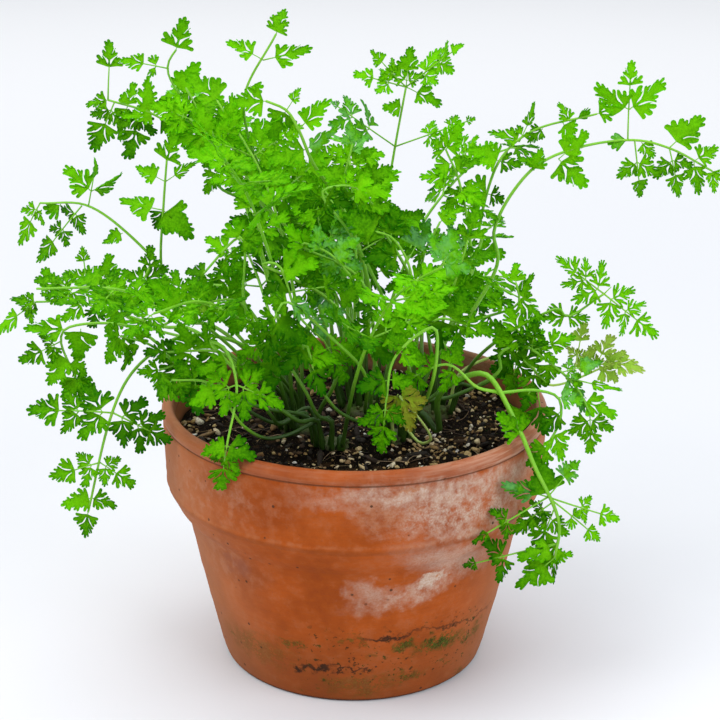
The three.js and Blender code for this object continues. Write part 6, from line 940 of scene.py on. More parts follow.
  ['shoot_left_back', [[2,1.7,-20.5,-4.9,101.8,-20.5,-4.9,106.8],[1,0.5,-21.1,-4,103.3,-21.9,-2.8,127.4,-23.4,-0.8,145.3,-29.3,6.4,177.2,-40.4,18.4,206,-57.4,34.9,229]], [
    [-34.8,12.3,191.4,-12.4,37.6,206.9,0.64,-0.724,0.257,23.6,0.14,5,0,0],
    [-34.8,12.3,191.4,-54.2,12.7,213.3,0.61,-0.571,0.55,19.6,0.14,5,0,0],
    [-42.5,20.5,208.9,-21.8,31.8,220.3,0.292,-0.888,0.354,18.1,0.08,5,0,0],
    [-42.5,20.5,208.9,-58.6,4.1,221.1,0.623,-0.027,0.781,17,0.08,5,0,0],
    [-50.8,28.5,220,-51.2,29.5,233.4,0.034,-0.996,0.077,9.3,0.08,3,0,0],
    [-57.4,34.9,229,-69.3,37.3,239.6,0.52,-0.497,0.695,15.3,0.05,3,0,4]]],
  ['shoot_inner_front', [[2,1.7,-5.4,-31.3,101.8,-5.4,-31.3,106.8],[1,0.5,-4.8,-32.3,103.3,0.2,-41.2,134.5,7.7,-53.2,160.6,17.7,-68,180.6,31,-86.1,195.1]], [
    [6.3,-51,155.7,-11.1,-74.1,174.1,0.632,0.131,0.764,21.9,0.14,5,0,0],
    [6.3,-51,155.7,35.5,-40.6,166.6,-0.127,-0.521,0.844,19.5,0.14,5,0,0],
    [14.9,-63.9,175,2.9,-82.5,182.6,0.366,0.14,0.92,15.8,0.08,3,0,0],
    [14.9,-63.9,175,38.6,-59.5,179.2,-0.035,-0.584,0.811,16.3,0.08,3,0,0],
    [23.4,-75.7,186.8,14.6,-91,191.5,0.388,0.061,0.919,14,0.08,3,0,0],
    [23.4,-75.7,186.8,37.9,-74.7,191.1,-0.186,-0.608,0.772,11.4,0.08,3,0,0],
    [31,-86.1,195.1,34.8,-94.4,209.8,-0.74,-0.65,-0.177,16.4,0.05,3,0,4]]],
  ['shoot_inner_left', [[2,1.7,-24,-13.3,101.8,-24,-13.3,106.8],[1,0.5,-24.7,-14.2,103.3,-26,-16.3,127.2,-27.9,-19.5,147.8,-33.4,-29.3,182,-40.9,-44.4,210.2,-50.6,-65.7,233.5],[1,0.5,-24.9,-14.1,103.3,-33.4,-20.5,121.2,-43.5,-27.6,138,-63.4,-40.4,160.5,-88.5,-54.6,175.6,-117.3,-69,180.4],[1,0.5,-24.7,-14.2,103.3,-33.4,-24.4,136.3,-44.9,-39.2,159.2,-58.4,-58,172.3,-73.1,-80,174.8]], [
    [-38.4,-39.4,200.9,-16.9,-64.6,219.3,-0.555,0.128,0.822,23.6,0.14,5,0,0],
    [-43.1,-49.2,215.5,-56,-41.5,229.3,-0.076,-0.9,0.43,13.1,0.08,5,0,0],
    [-43.1,-49.2,215.5,-24.9,-68,223.1,-0.376,0.013,0.927,18.5,0.08,5,0,0],
    [-47.2,-58.3,225.4,-60.8,-62.2,232.3,0.503,-0.505,0.702,12.3,0.08,3,0,0],
    [-47.2,-58.3,225.4,-37.6,-70,227.8,-0.338,-0.089,0.937,11,0.08,3,0,0],
    [-50.6,-65.7,233.5,-56.6,-79.2,243,0.779,0.093,0.62,16.7,0.05,3,0,4],
    [-73.2,-45.9,166.4,-100,-23.7,169.5,-0.249,-0.423,0.871,22.8,0.14,5,0,0],
    [-73.2,-45.9,166.4,-76.1,-77.3,176.4,0.647,0.177,0.742,21.8,0.14,5,0,0],
    [-90.4,-55.6,175.9,-108.1,-41.9,177.2,-0.288,-0.452,0.844,13.8,0.08,3,0,0],
    [-90.4,-55.6,175.9,-94.8,-77.8,175.7,0.404,-0.09,0.91,14.1,0.08,3,0,0],
    [-105.3,-63,178.4,-120,-55.1,180.4,-0.17,-0.531,0.83,12.4,0.08,3,0,0],
    [-105.3,-63,178.4,-107,-81.1,177.9,0.209,-0.045,0.977,12.8,0.08,3,0,0],
    [-55.5,-54,169.5,-79.1,-52.1,178.2,0.204,-0.686,0.698,18.2,0.08,3,0,0],
    [-55.5,-54,169.5,-43.4,-76.8,173.9,-0.436,-0.061,0.898,18.1,0.08,3,0,0],
    [-65.1,-68,173.4,-76.5,-68.4,183.9,0.224,-0.952,0.211,11.7,0.08,3,0,0],
    [-65.1,-68,173.4,-59.5,-83.7,172.6,-0.26,-0.144,0.955,11.4,0.08,3,0,0],
    [-73.1,-80,174.8,-82.2,-94,171.8,0.277,-0.371,0.887,16.1,0.05,3,0,4]]]
]

BLADE = 0.26            # thickness of a leaflet
RIM = 0.09              # and at its very edge
SWELL = 1.16            # the living blades are a little fuller than the plates that stand in for them
SLIM = 0.88             # and the living stalks a little thinner than the rods


# leaves painted with a bluish sheen, a painted reflection of the bright surroundings, by frond
PAINTED_SHEEN_LEAVES = {"frond_centre_back_a": (1,),
          "frond_centre_bluish": (0, 1, 2,),
          "frond_centre_left": (3,),
          "frond_centre_low_c": (1,),
          "frond_centre_mid": (1, 2, 4,),
          "frond_centre_right": (0,),
          "frond_far_back": (0,),
          "frond_mid_right_c": (2, 4,),
          "frond_mid_right_d": (1,),
          "frond_right_cluster": (2, 3,),
          "frond_right_long": (1,),
          "frond_top_centre": (5,),
          "frond_top_mid_right": (0, 1,),
          "shoot_back_3": (5,),
          "shoot_back_4": (12,),
          "shoot_back_6": (15,),
          "shoot_inner_front": (6,),
          "stem_right_front": (3, 7, 21,)}


def put_leaflet(soup, kind, seed, base, along, normal, length, width, tone, pale, rs, droop=0.0, fold=0.0, twist=0.0, blue=0.0):
    """One blade from base, pointing along, its upper face towards normal."""
    t = LEAFLETS[kind][seed % len(LEAFLETS[kind])]
    p = t["p"].copy()
    if (seed // 7) % 2:
        p[:, 1] *= -1
        tris, border = t["t"][:, ::-1], t["border"][:, ::-1]
    else:
        tris, border = t["t"], t["border"]
    d = unit(along)
    n = unit(normal - d * (normal @ d))
    if twist:
        n = turn(n, d, twist)
    s = np.cross(n, d)
    u, v = p[:, 0], p[:, 1] * 0.5 / t["half"]
    x, y = u * length, v * width
    # folded a little along the midrib, drooping to the tip, cupped or wavy at the edges
    z = fold * np.abs(y) - droop * length * u ** 2
    a = rs.uniform(0, 6.28, 4)
    z = z + 0.050 * length * np.sin(u * 6.0 + a[0]) * np.sin(v * 7.0 + a[1]) * (0.25 + np.abs(v) * 1.6 + u * 0.3)
    z = z + 0.016 * length * np.sin(u * 15.0 + a[2]) * np.cos(v * 17.0 + a[3])
    z = z + rs.uniform(-0.16, 0.16) * y * (u - 0.3)
    z = z - rs.uniform(0.0, 0.30) * length * (v ** 2) * (1 + u)
    # veins lie in shallow grooves and the blade rises between them
    groove = -0.012 * length * t["vein"] + 0.008 * length * (1 - t["edge"]) * (1 - t["vein"])
    half = np.where(t["edge"], RIM / 2, BLADE / 2)
    sideways = rs.uniform(-0.07, 0.07) * length * u ** 2      # the blade curves to one side
    top = base + x[:, None] * d + (y + sideways)[:, None] * s + (z + groove + half)[:, None] * n
    low = top - (2 * half)[:, None] * n
    m = len(p)
    i, j = border[:, 0], border[:, 1]
    rim = np.vstack([np.stack([i, i + m, j + m], 1), np.stack([i, j + m, j], 1)])
    faces = np.vstack([tris, tris[:, ::-1] + m, rim])
    under = np.zeros((len(faces), 3))
    under[len(tris):2 * len(tris)] = 1.0
    under[2 * len(tris):] = 0.5
    soup.add(np.vstack([top, low]), faces, 0, sharp=np.vstack([border, border + m]), vein=np.r_[t["vein"], t["vein"]],
             reach=np.r_[u, u], under=under, tone=tone, pale=pale, blue=blue)


def put_leaf(soup, row, seed, blue=0.0):
    """A divided leaf on its little stalk; the larger ones bear a pair of stalked side leaves below the end one."""
    b, tip, n = np.array(row[0:3]), np.array(row[3:6]), np.array(row[6:9])
    width, bare, count, twist, flags = row[9], row[10], int(row[11]), row[12], int(row[13])
    rs = np.random.RandomState(seed)
    axis = tip - b
    L = np.linalg.norm(axis)
    d = axis / L
    n = unit(n - d * (n @ d))
    side = np.cross(n, d)
    if count == 0:
        tube(soup, [b, b + d * L * 0.5, tip], [0.32, 0.28, 0.2], 5, 1, tone=0.3, pale=0.2)
        return
    fine, pale = bool(flags & 1), bool(flags & 2)
    # painted light and shade: leaves are painted brighter towards the top, to the right and at the outside of the
    # clump, and darker deep inside it, where shade falls; the rest of the tone differs at random
    out = math.hypot(tip[0], tip[1])
    level = min(0.9, max(-1.0, (tip[2] - 178) / 62))
    level += (max(level, 0.25) - level) * min(1.0, max(0.0, (out - 80) / 20))
    inner = min(1.0, max(0.0, (62 - out) / 40)) * min(1.0, max(0.0, (208 - tip[2]) / 50))
    tone = rs.uniform(-0.85, 0.85) + 0.95 * level + tip[0] / 500 - 0.8 * inner
    W = width * SWELL
    tw = math.radians(twist)
    r0 = max(0.20, min(0.34, 0.014 * L))
    sag = rs.uniform(-0.02, 0.05) * L

    def at(f):
        """A point on the leaf's own axis, f from 0 to 1 along it."""
        return b + d * (L * f) - n * sag * (math.sin(math.pi * min(f, 1.0)) * 0.5)

    def stalklet(p, q, r):
        m = (p + q) / 2 + n * rs.uniform(-0.04, 0.04) * np.linalg.norm(q - p)
        tube(soup, catmull([p, m, q], 2), np.linspace(r * 1.15, r * 0.85, 5), 6, 1, tone=tone * 0.4, pale=0.3 if pale else 0.0)

    def blade(kind, p, along, length, wide, t=0.0):
        face = n + side * rs.uniform(-0.30, 0.30) + d * rs.uniform(-0.30, 0.30)
        if tw:
            face = turn(face, d, tw * rs.uniform(0.6, 1.2))
        put_leaflet(soup, kind, int(rs.randint(1000)), p, along, face, length, wide, tone + t + rs.uniform(-0.25, 0.25),
                    1.0 if pale else 0.0, rs, droop=rs.uniform(-0.02, 0.22), fold=rs.uniform(-0.10, 0.40),
                    twist=rs.uniform(-0.30, 0.30), blue=blue)

    pick = rs.uniform()
    o = bare + 0.02
    end = L * (1 - o)
    body = "fine" if fine else ("broad" if pick < 0.28 else "plain")

    def pair(f, out, lo, hi):
        """Two side leaflets on short stalks, f of the way along."""
        for way in (1, -1):
            a = math.radians(rs.uniform(lo, hi))
            along = d * math.cos(a) + side * (way * math.sin(a)) + n * rs.uniform(-0.20, 0.12)
            length = out / math.sin(a) * rs.uniform(0.94, 1.10)
            p = at(f) + unit(along) * length * 0.12
            stalklet(at(f), p, r0 * 0.8)
            small = length * 0.90
            blade("fan" if small < 5.5 else ("fine" if fine else "plain"), p, along, small, length * rs.uniform(0.80, 0.96),
                  rs.uniform(-0.2, 0.2))

    if end < 7.5:
        stalklet(b, at(o), r0)
        blade("fan" if pick < 0.6 else body, at(o), d, end * 1.08, W * 1.02)
    elif end < 15.0:
        # one leaflet
        stalklet(b, at(o), r0)
        blade("five" if pick > 0.88 and not fine else body, at(o), d, end * 1.07, min(W, end * 1.12))
    elif end < 22.0:
        # a pair and an end leaflet
        f1 = o + rs.uniform(0.03, 0.07)
        f2 = f1 + rs.uniform(0.26, 0.33)
        stalklet(b, at(f2), r0)
        pair(f1, min(W * 0.52, 0.58 * L), 52, 64)
        rest = L * (1 - f2)
        blade(body, at(f2), d, rest * 1.07, min(W * 0.92, rest * 1.10))
    else:
        # two pairs and an end leaflet
        f1 = o + rs.uniform(0.02, 0.05)
        f2 = f1 + rs.uniform(0.25, 0.29)
        f3 = f2 + rs.uniform(0.20, 0.24)
        stalklet(b, at(f3), r0)
        pair(f1, min(W * 0.54, 0.44 * L), 54, 66)
        pair(f2, min(W * 0.42, 0.36 * L), 48, 60)
        rest = L * (1 - f3)
        blade(body, at(f3), d, rest * 1.07, min(W * 0.74, rest * 1.10))


def put_stalk(soup, stalk, seed):
    r0, r1 = stalk[0], stalk[1]
    pts = np.array(stalk[2:], float).reshape(-1, 3)
    rs = np.random.RandomState(seed)
    line = resampled(catmull(pts, 10), 2.8)
    n = len(line)
    # small natural wander that keeps both ends
    w = np.sin(np.linspace(0, math.pi, n))[:, None]
    line = line + w * 0.35 * np.stack([noise3(line, 18, 31), noise3(line, 18, 32), noise3(line, 18, 33)], 1)
    f = np.linspace(0, 1, n)
    r = (r0 + (r1 - r0) * f ** 0.85) * SLIM
    r = r * (1 + 0.05 * noise3(line, 9, 34))
    r[: max(2, n // 14)] *= np.linspace(1.22, 1.0, max(2, n // 14))
    tube(soup, line, r, 10, 1, ridges=5, ridge=0.075, phase=rs.uniform(0, 6.28), tone=rs.uniform(-0.6, 0.6), pale=0.0)


def build_frond(index, row):
    name, stalks, leaves = row
    soup = Soup()
    for k, s in enumerate(stalks):
        put_stalk(soup, s, 1000 + 37 * index + k)
    for k, leaf in enumerate(leaves):
        put_leaf(soup, leaf, 5000 + 101 * index + k, 1.0 if k in PAINTED_SHEEN_LEAVES.get(name, ()) else 0.0)
    return soup


# ---------------------------------------------------------------- pot
def pot_profile():
    """The pot's closed outline as radius and height, with rounded corners, outer side first."""
    foot = [(9.0, 0.0), (20, 0.0), (36, 0.0), (50, 0.0), (53.4, 0.0)]
    outer = [(54.4, 0.35), (55.0, 1.1), (56.4, 5.3), (58.1, 12.0), (60.1, 20), (62.8, 31.2), (65.5, 42.6), (67.2, 50.6),
             (68.9, 58.4), (69.7, 62.2), (70.6, 64.9), (71.8, 66.7), (73.3, 68.4), (74.7, 70.5), (75.8, 72.7), (76.8, 74.7),
             (77.7, 76.4), (78.35, 77.7), (78.75, 78.8), (78.82, 79.7), (78.72, 80.7), (78.8, 83), (79.0, 88), (79.25, 94),
             (79.45, 99.5), (79.55, 102.8), (79.6, 104.2), (79.5, 105.2), (79.12, 105.9), (79.12, 106.3), (79.55, 106.8),
             (79.95, 107.5), (80.1, 108.5), (79.95, 109.6), (79.45, 110.6), (78.7, 111.35), (77.9, 111.75), (76.9, 111.8),
             (76.0, 111.45), (75.3, 110.6), (74.9, 109.5)]
    inner = [(74.6, 107.2), (74.2, 104), (73.7, 97), (73.2, 88), (69.4, 76), (63.0, 62), (57.6, 40), (48.8, 10.4), (48.1, 8.7), (46.6, 8.0),
             (30, 8.0), (10.0, 8.0), (9.2, 7.6), (9.0, 7.0), (9.0, 1.0)]
    out = foot[:]
    fine = catmull([(r, 0, z) for r, z in [(54.0, 0.12)] + outer], 3)
    out += [(p[0], p[2]) for p in fine]
    out += inner
    return np.array(out)


def build_pot():
    prof = pot_profile()
    seg = 288
    ang = np.arange(seg) * 2 * math.pi / seg
    R = prof[:, 0][:, None] * np.ones(seg)
    Z = prof[:, 1][:, None] * np.ones(seg)
    A = np.ones(len(prof))[:, None] * ang
    P = np.stack([R * np.sin(A), -R * np.cos(A), Z], -1).reshape(-1, 3)
    r, z, a = R.ravel(), Z.ravel(), A.ravel()
    deg = (np.degrees(a) + 180) % 360 - 180
    out = (r > 54) & ((z < 86) | (r > 76.2))
    # thrown by hand: very slightly out of round, faint turning rings, a grainy skin
    wobble = 0.22 * np.sin(2 * a + 0.6) + 0.14 * np.sin(3 * a + 2.0)
    rings = 0.05 * np.sin(z * 2.1 + 0.8 * np.sin(a * 2)) + 0.04 * np.sin(z * 0.9 + 1.1)
    skin = 0.10 * noise3(P, 9, 3, 2) + 0.05 * noise3(P, 2.2, 4)
    shift = np.where(z > 3, wobble * np.clip(z / 40, 0, 1), 0) + np.where(out & (z > 2), rings + skin, 0)
    # the shallow chip under the lip, and nicks along the lip and the lower edge of the band
    u = (deg - 16.3) * 1.38
    chip = np.exp(-((u / 5.2) ** 2 + ((z - 104.0 - 0.06 * u) / 1.5) ** 2) ** 2)
    shift -= np.where(out, 0.55 * chip, 0)
    nick = noise3(P, 5.0, 5)
    lip = np.exp(-((z - 111.2) / 1.4) ** 2) * np.clip(nick - 0.45, 0, 1)
    edge = np.exp(-((z - 79.0) / 1.2) ** 2) * np.clip(noise3(P, 4.0, 6) - 0.35, 0, 1)
    shift -= np.where(r > 74, 1.3 * lip + 1.1 * edge, 0)
    rad = np.stack([np.sin(a), -np.cos(a), np.zeros_like(a)], 1)
    P = P + rad * shift[:, None]
    P[:, 2] += np.where(z > 105, 0.10 * noise3(P, 22, 7), 0)
    P[:, 2] -= 0.9 * lip
    n = len(prof)
    i, j = np.meshgrid(np.arange(n), np.arange(seg), indexing="ij")
    q = (i * seg + j).ravel()
    qr = (i * seg + (j + 1) % seg).ravel()
    up = (((i + 1) % n) * seg + j).ravel()
    upr = (((i + 1) % n) * seg + (j + 1) % seg).ravel()
    tris = np.vstack([np.stack([q, qr, upr], 1), np.stack([q, upr, up], 1)])
    soup = Soup()
    soup.add(P, tris, 0)
    return soup


# ---------------------------------------------------------------- potting mix
CROWNS = [(-24, -6), (16, -16), (2, 16), (34, 12), (-9, -25)]


def soil_height(x, y):
    x, y = np.atleast_1d(np.asarray(x, float)), np.atleast_1d(np.asarray(y, float))
    r = np.hypot(x, y)
    z = 97.6 + 2.0 * np.clip(1 - (r / 73.4) ** 2, 0, 1)
    p = np.stack([x, y, np.zeros_like(x)], 1)
    z = z + 1.15 * noise3(p, 13, 11) + 0.75 * noise3(p, 5, 12) + 0.42 * noise3(p, 2.1, 13)
    z = z + 0.9 * np.clip((r - 64) / 9, 0, 1) * (0.4 + noise3(p, 16, 14))
    for cx, cy in CROWNS:
        z = z + 0.9 * np.exp(-((x - cx) ** 2 + (y - cy) ** 2) / 150.0)
    return z


def build_soil():
    rings, seg = 92, 210
    rad = 73.35 * (np.arange(1, rings + 1) / rings) ** 0.92
    ang = np.arange(seg) * 2 * math.pi / seg
    X = (rad[:, None] * np.sin(ang)).ravel()
    Y = (-rad[:, None] * np.cos(ang)).ravel()
    Z = soil_height(X, Y)
    v = [np.array([[0, 0, soil_height(0, 0)[0]]]), np.stack([X, Y, Z], 1)]
    sides = [(73.15, 94), (72.4, 88), (68.5, 76), (62.1, 62), (56.7, 40), (48.0, 10.4), (46, 8.35)]
    for r, z in sides:
        v.append(np.stack([r * np.sin(ang), -r * np.cos(ang), np.full(seg, z)], 1))
    v.append(np.array([[0, 0, 8.35]]))
    v = np.vstack(v)
    rows = rings + len(sides)
    t = grid_tris(rows, seg, wrap=True) + 1
    j = np.arange(seg)
    k = (j + 1) % seg
    last = 1 + (rows - 1) * seg
    t = np.vstack([t, np.stack([np.zeros(seg, int), k + 1, j + 1], 1)[:, ::-1] * 1,
                   np.stack([np.full(seg, len(v) - 1), last + j, last + k], 1)[:, ::-1] * 1])
    # face them all outwards
    a, b, c = v[t[:, 0]], v[t[:, 1]], v[t[:, 2]]
    n = np.cross(b - a, c - a)
    mid = (a + b + c) / 3 - np.array([0, 0, 60.0])
    flip = np.einsum("ij,ij->i", n, mid) < 0
    flat = mid[:, 2] > 33
    flip = np.where(flat, n[:, 2] < 0, flip)
    t[flip] = t[flip][:, ::-1]
    soup = Soup()
    soup.add(v, t, 0)
    return soup


def ball(sub):
    """A sphere of near-even triangles, as points and faces."""
    g = (1 + 5 ** 0.5) / 2
    p = [(-1, g, 0), (1, g, 0), (-1, -g, 0), (1, -g, 0), (0, -1, g), (0, 1, g), (0, -1, -g), (0, 1, -g), (g, 0, -1), (g, 0, 1),
         (-g, 0, -1), (-g, 0, 1)]
    f = [(0, 11, 5), (0, 5, 1), (0, 1, 7), (0, 7, 10), (0, 10, 11), (1, 5, 9), (5, 11, 4), (11, 10, 2), (10, 7, 6), (7, 1, 8),
         (3, 9, 4), (3, 4, 2), (3, 2, 6), (3, 6, 8), (3, 8, 9), (4, 9, 5), (2, 4, 11), (6, 2, 10), (8, 6, 7), (9, 8, 1)]
    p = [unit(q) for q in p]
    for _ in range(sub):
        cache, out = {}, []

        def mid(a, b):
            k = (min(a, b), max(a, b))
            if k not in cache:
                cache[k] = len(p)
                p.append(unit(p[a] + p[b]))
            return cache[k]

        for a, b, c in f:
            x, y, z = mid(a, b), mid(b, c), mid(c, a)
            out += [(a, x, z), (b, y, x), (c, z, y), (x, y, z)]
        f = out
    return np.array(p), np.array(f)


BALL = ball(1)


def turned(rs):
    """A random rotation as three rows."""
    q = rs.normal(size=(3, 3))
    a = unit(q[0])
    b = unit(q[1] - a * (q[1] @ a))
    return np.array([a, b, np.cross(a, b)])


def lump(soup, rs, at, size, shape, rough, tone, flat=None):
    """An irregular stone or chip. `shape` is its proportions; `flat` keeps its long sides level."""
    p, f = BALL
    k = rs.uniform(0, 50, 3)
    h = 1 + rough * noise3(p + k, 0.85, 21) + rough * 0.5 * noise3(p + k, 0.4, 22)
    q = p * h[:, None]
    # knock a few flats off it
    for _ in range(3):
        d = unit(rs.normal(size=3))
        over = q @ d - rs.uniform(0.55, 0.85)
        q = q - np.clip(over, 0, None)[:, None] * d
    q = q * np.array(shape) * size * 0.5
    m = turned(rs)
    if flat is not None:
        t = rs.uniform(0, 6.28)
        up = unit(np.array([rs.normal() * flat, rs.normal() * flat, 1.0]))
        x = unit(np.cross([math.sin(t), math.cos(t), 0], up))
        m = np.array([x, np.cross(up, x), up])
    soup.add(q @ m + at, f, 0, tone=tone)


def build_grains():
    """Pale perlite and pumice grains that lie in the mix."""
    rs = np.random.RandomState(41)
    soup = Soup()
    placed = []
    for n in range(5200):
        if len(placed) >= 900:
            break
        r = 72.0 * math.sqrt(rs.uniform())
        a = rs.uniform(-180, 180)
        # most of them have washed to the right and to the rim
        want = 0.20 + 0.75 * math.exp(-((a - 48) / 34.0) ** 2) * min(1, r / 45) + 0.30 * math.exp(-((r - 69) / 6.0) ** 2) \
            + 0.25 * math.exp(-((a + 62) / 30.0) ** 2) * (r > 50)
        if rs.uniform() > want:
            continue
        x, y = r * math.sin(math.radians(a)), -r * math.cos(math.radians(a))
        size = min(3.6, max(0.6, rs.lognormal(math.log(1.35), 0.42)))
        if any((x - u) ** 2 + (y - v) ** 2 < (0.42 * (size + w)) ** 2 for u, v, w in placed):
            continue
        if any((x - cx) ** 2 + (y - cy) ** 2 < 64 for cx, cy in CROWNS):
            continue
        if math.hypot(x, y) + size * 0.55 > 73.2:
            continue
        placed.append((x, y, size))
        z = soil_height(x, y)[0] + size * rs.uniform(0.02, 0.32)
        shape = (rs.uniform(0.9, 1.7), rs.uniform(0.65, 1.05), rs.uniform(0.45, 0.85))
        lump(soup, rs, np.array([x, y, z]), size, shape, 0.46, rs.uniform(0, 1) ** 0.9, flat=0.5)
    return soup


def build_bark():
    """Bark chips and crumbs of the mix."""
    rs = np.random.RandomState(43)
    soup = Soup()
    for n in range(760):
        r = 72.0 * math.sqrt(rs.uniform())
        a = rs.uniform(0, 2 * math.pi)
        x, y = r * math.sin(a), r * math.cos(a)
        size = min(9.0, max(1.0, rs.lognormal(math.log(2.3), 0.55)))
        if math.hypot(x, y) + size * 0.7 > 73.0 or any((x - cx) ** 2 + (y - cy) ** 2 < 50 for cx, cy in CROWNS):
            continue
        z = soil_height(x, y)[0] + size * rs.uniform(-0.05, 0.16)
        if size > 3.2:
            shape = (rs.uniform(1.1, 1.5), rs.uniform(0.28, 0.5), rs.uniform(0.16, 0.30))
        else:
            shape = (rs.uniform(0.9, 1.3), rs.uniform(0.7, 1.0), rs.uniform(0.5, 0.85))
        lump(soup, rs, np.array([x, y, z]), size, shape, 0.42, rs.uniform(0, 1), flat=0.45)
    return soup


def build_fibres():
    """Loose fibres and fine dead roots on the mix."""
    rs = np.random.RandomState(47)
    soup = Soup()
    n = 0
    while n < 130:
        r = 68.0 * math.sqrt(rs.uniform())
        a = rs.uniform(0, 2 * math.pi)
        x, y = r * math.sin(a), r * math.cos(a)
        L = rs.uniform(5, 17)
        t = rs.uniform(0, 2 * math.pi)
        curl = rs.uniform(-0.16, 0.16)
        pts = []
        for k in range(7):
            if math.hypot(x, y) > 71.5:
                break
            pts.append((x, y, soil_height(x, y)[0] + 0.35 + 0.9 * rs.uniform() * math.sin(math.pi * k / 6)))
            x += L / 6 * math.cos(t)
            y += L / 6 * math.sin(t)
            t += curl * 2 + rs.uniform(-0.25, 0.25)
        if len(pts) < 5:
            continue
        n += 1
        line = catmull(pts, 2)
        f = np.linspace(0, 1, len(line))
        w = rs.uniform(0.10, 0.26)
        tube(soup, line, w * (1 - 0.6 * f), 5, 0, tone=rs.uniform(0, 1))
    return soup


def build_crown(i):
    """The knobbly tuft of old stem bases that the fronds rise from."""
    cx, cy = CROWNS[i]
    rs = np.random.RandomState(60 + i)
    prof = np.array([(0.6, 84.2), (2.2, 86), (4.4, 91), (6.6, 95.5), (7.7, 98.6), (7.6, 100.6), (6.6, 101.9), (4.6, 102.5), (2.2, 102.3)])
    prof = catmull([(r, 0, z) for r, z in prof], 4)
    seg = 44
    ang = np.arange(seg) * 2 * math.pi / seg
    ribs = np.zeros(seg)
    for k in range(9):
        ribs += rs.uniform(0.5, 1.0) * np.exp(-((((ang - rs.uniform(0, 6.28)) + math.pi) % (2 * math.pi) - math.pi) / 0.17) ** 2)
    R = prof[:, 0][:, None] * (0.86 + 0.16 * np.clip(ribs, 0, 1.2)[None, :])
    V = np.stack([cx + R * np.sin(ang), cy - R * np.cos(ang), prof[:, 2][:, None] * np.ones(seg)], -1).reshape(-1, 3)
    V = V + 0.35 * np.stack([noise3(V, 2.6, 51), noise3(V, 2.6, 52), noise3(V, 2.6, 53)], 1)
    t = grid_tris(len(prof), seg, wrap=True)
    j = np.arange(seg)
    k = (j + 1) % seg
    m = len(V)
    V = np.vstack([V, [cx, cy, 83.8], [cx, cy, 101.6]])
    top = (len(prof) - 1) * seg
    t = np.vstack([t, np.stack([np.full(seg, m), k, j], 1), np.stack([np.full(seg, m + 1), top + j, top + k], 1)])
    a, b, c = V[t[0]]
    if np.dot(np.cross(b - a, c - a), (a + b + c) / 3 - np.array([cx, cy, 92])) < 0:
        t = t[:, ::-1]
    soup = Soup()
    soup.add(V, t, 0, tone=0.0)
    # short stubs of cut and withered leaf stalks
    for s in range(5):
        a = rs.uniform(0, 6.28)
        rr = rs.uniform(3.0, 6.6)
        b = np.array([cx + rr * math.sin(a), cy - rr * math.cos(a), 99.8])
        lean = np.array([math.sin(a), -math.cos(a), 0]) * rs.uniform(0.1, 0.75)
        L = rs.uniform(2.5, 5.5)
        line = catmull([b, b + (lean * 0.4 + [0, 0, 1]) * L * 0.5, b + (lean + [0, 0, 0.9]) * L], 3)
        w = rs.uniform(0.7, 1.25)
        tube(soup, line, np.linspace(w * 1.25, w * 0.7, len(line)), 8, 0, ridges=4, ridge=0.1, tone=rs.uniform(0.2, 1))
    return soup


# ---------------------------------------------------------------- materials
class Val:
    """A number or colour in a node tree; arithmetic on it adds nodes."""

    def __init__(self, g, socket):
        self.g, self.s = g, socket

    def __add__(self, o): return self.g.op("ADD", self, o)
    def __radd__(self, o): return self.g.op("ADD", o, self)
    def __sub__(self, o): return self.g.op("SUBTRACT", self, o)
    def __rsub__(self, o): return self.g.op("SUBTRACT", o, self)
    def __mul__(self, o): return self.g.op("MULTIPLY", self, o)
    def __rmul__(self, o): return self.g.op("MULTIPLY", o, self)
    def __truediv__(self, o): return self.g.op("DIVIDE", self, o)
    def __pow__(self, o): return self.g.op("POWER", self, o)


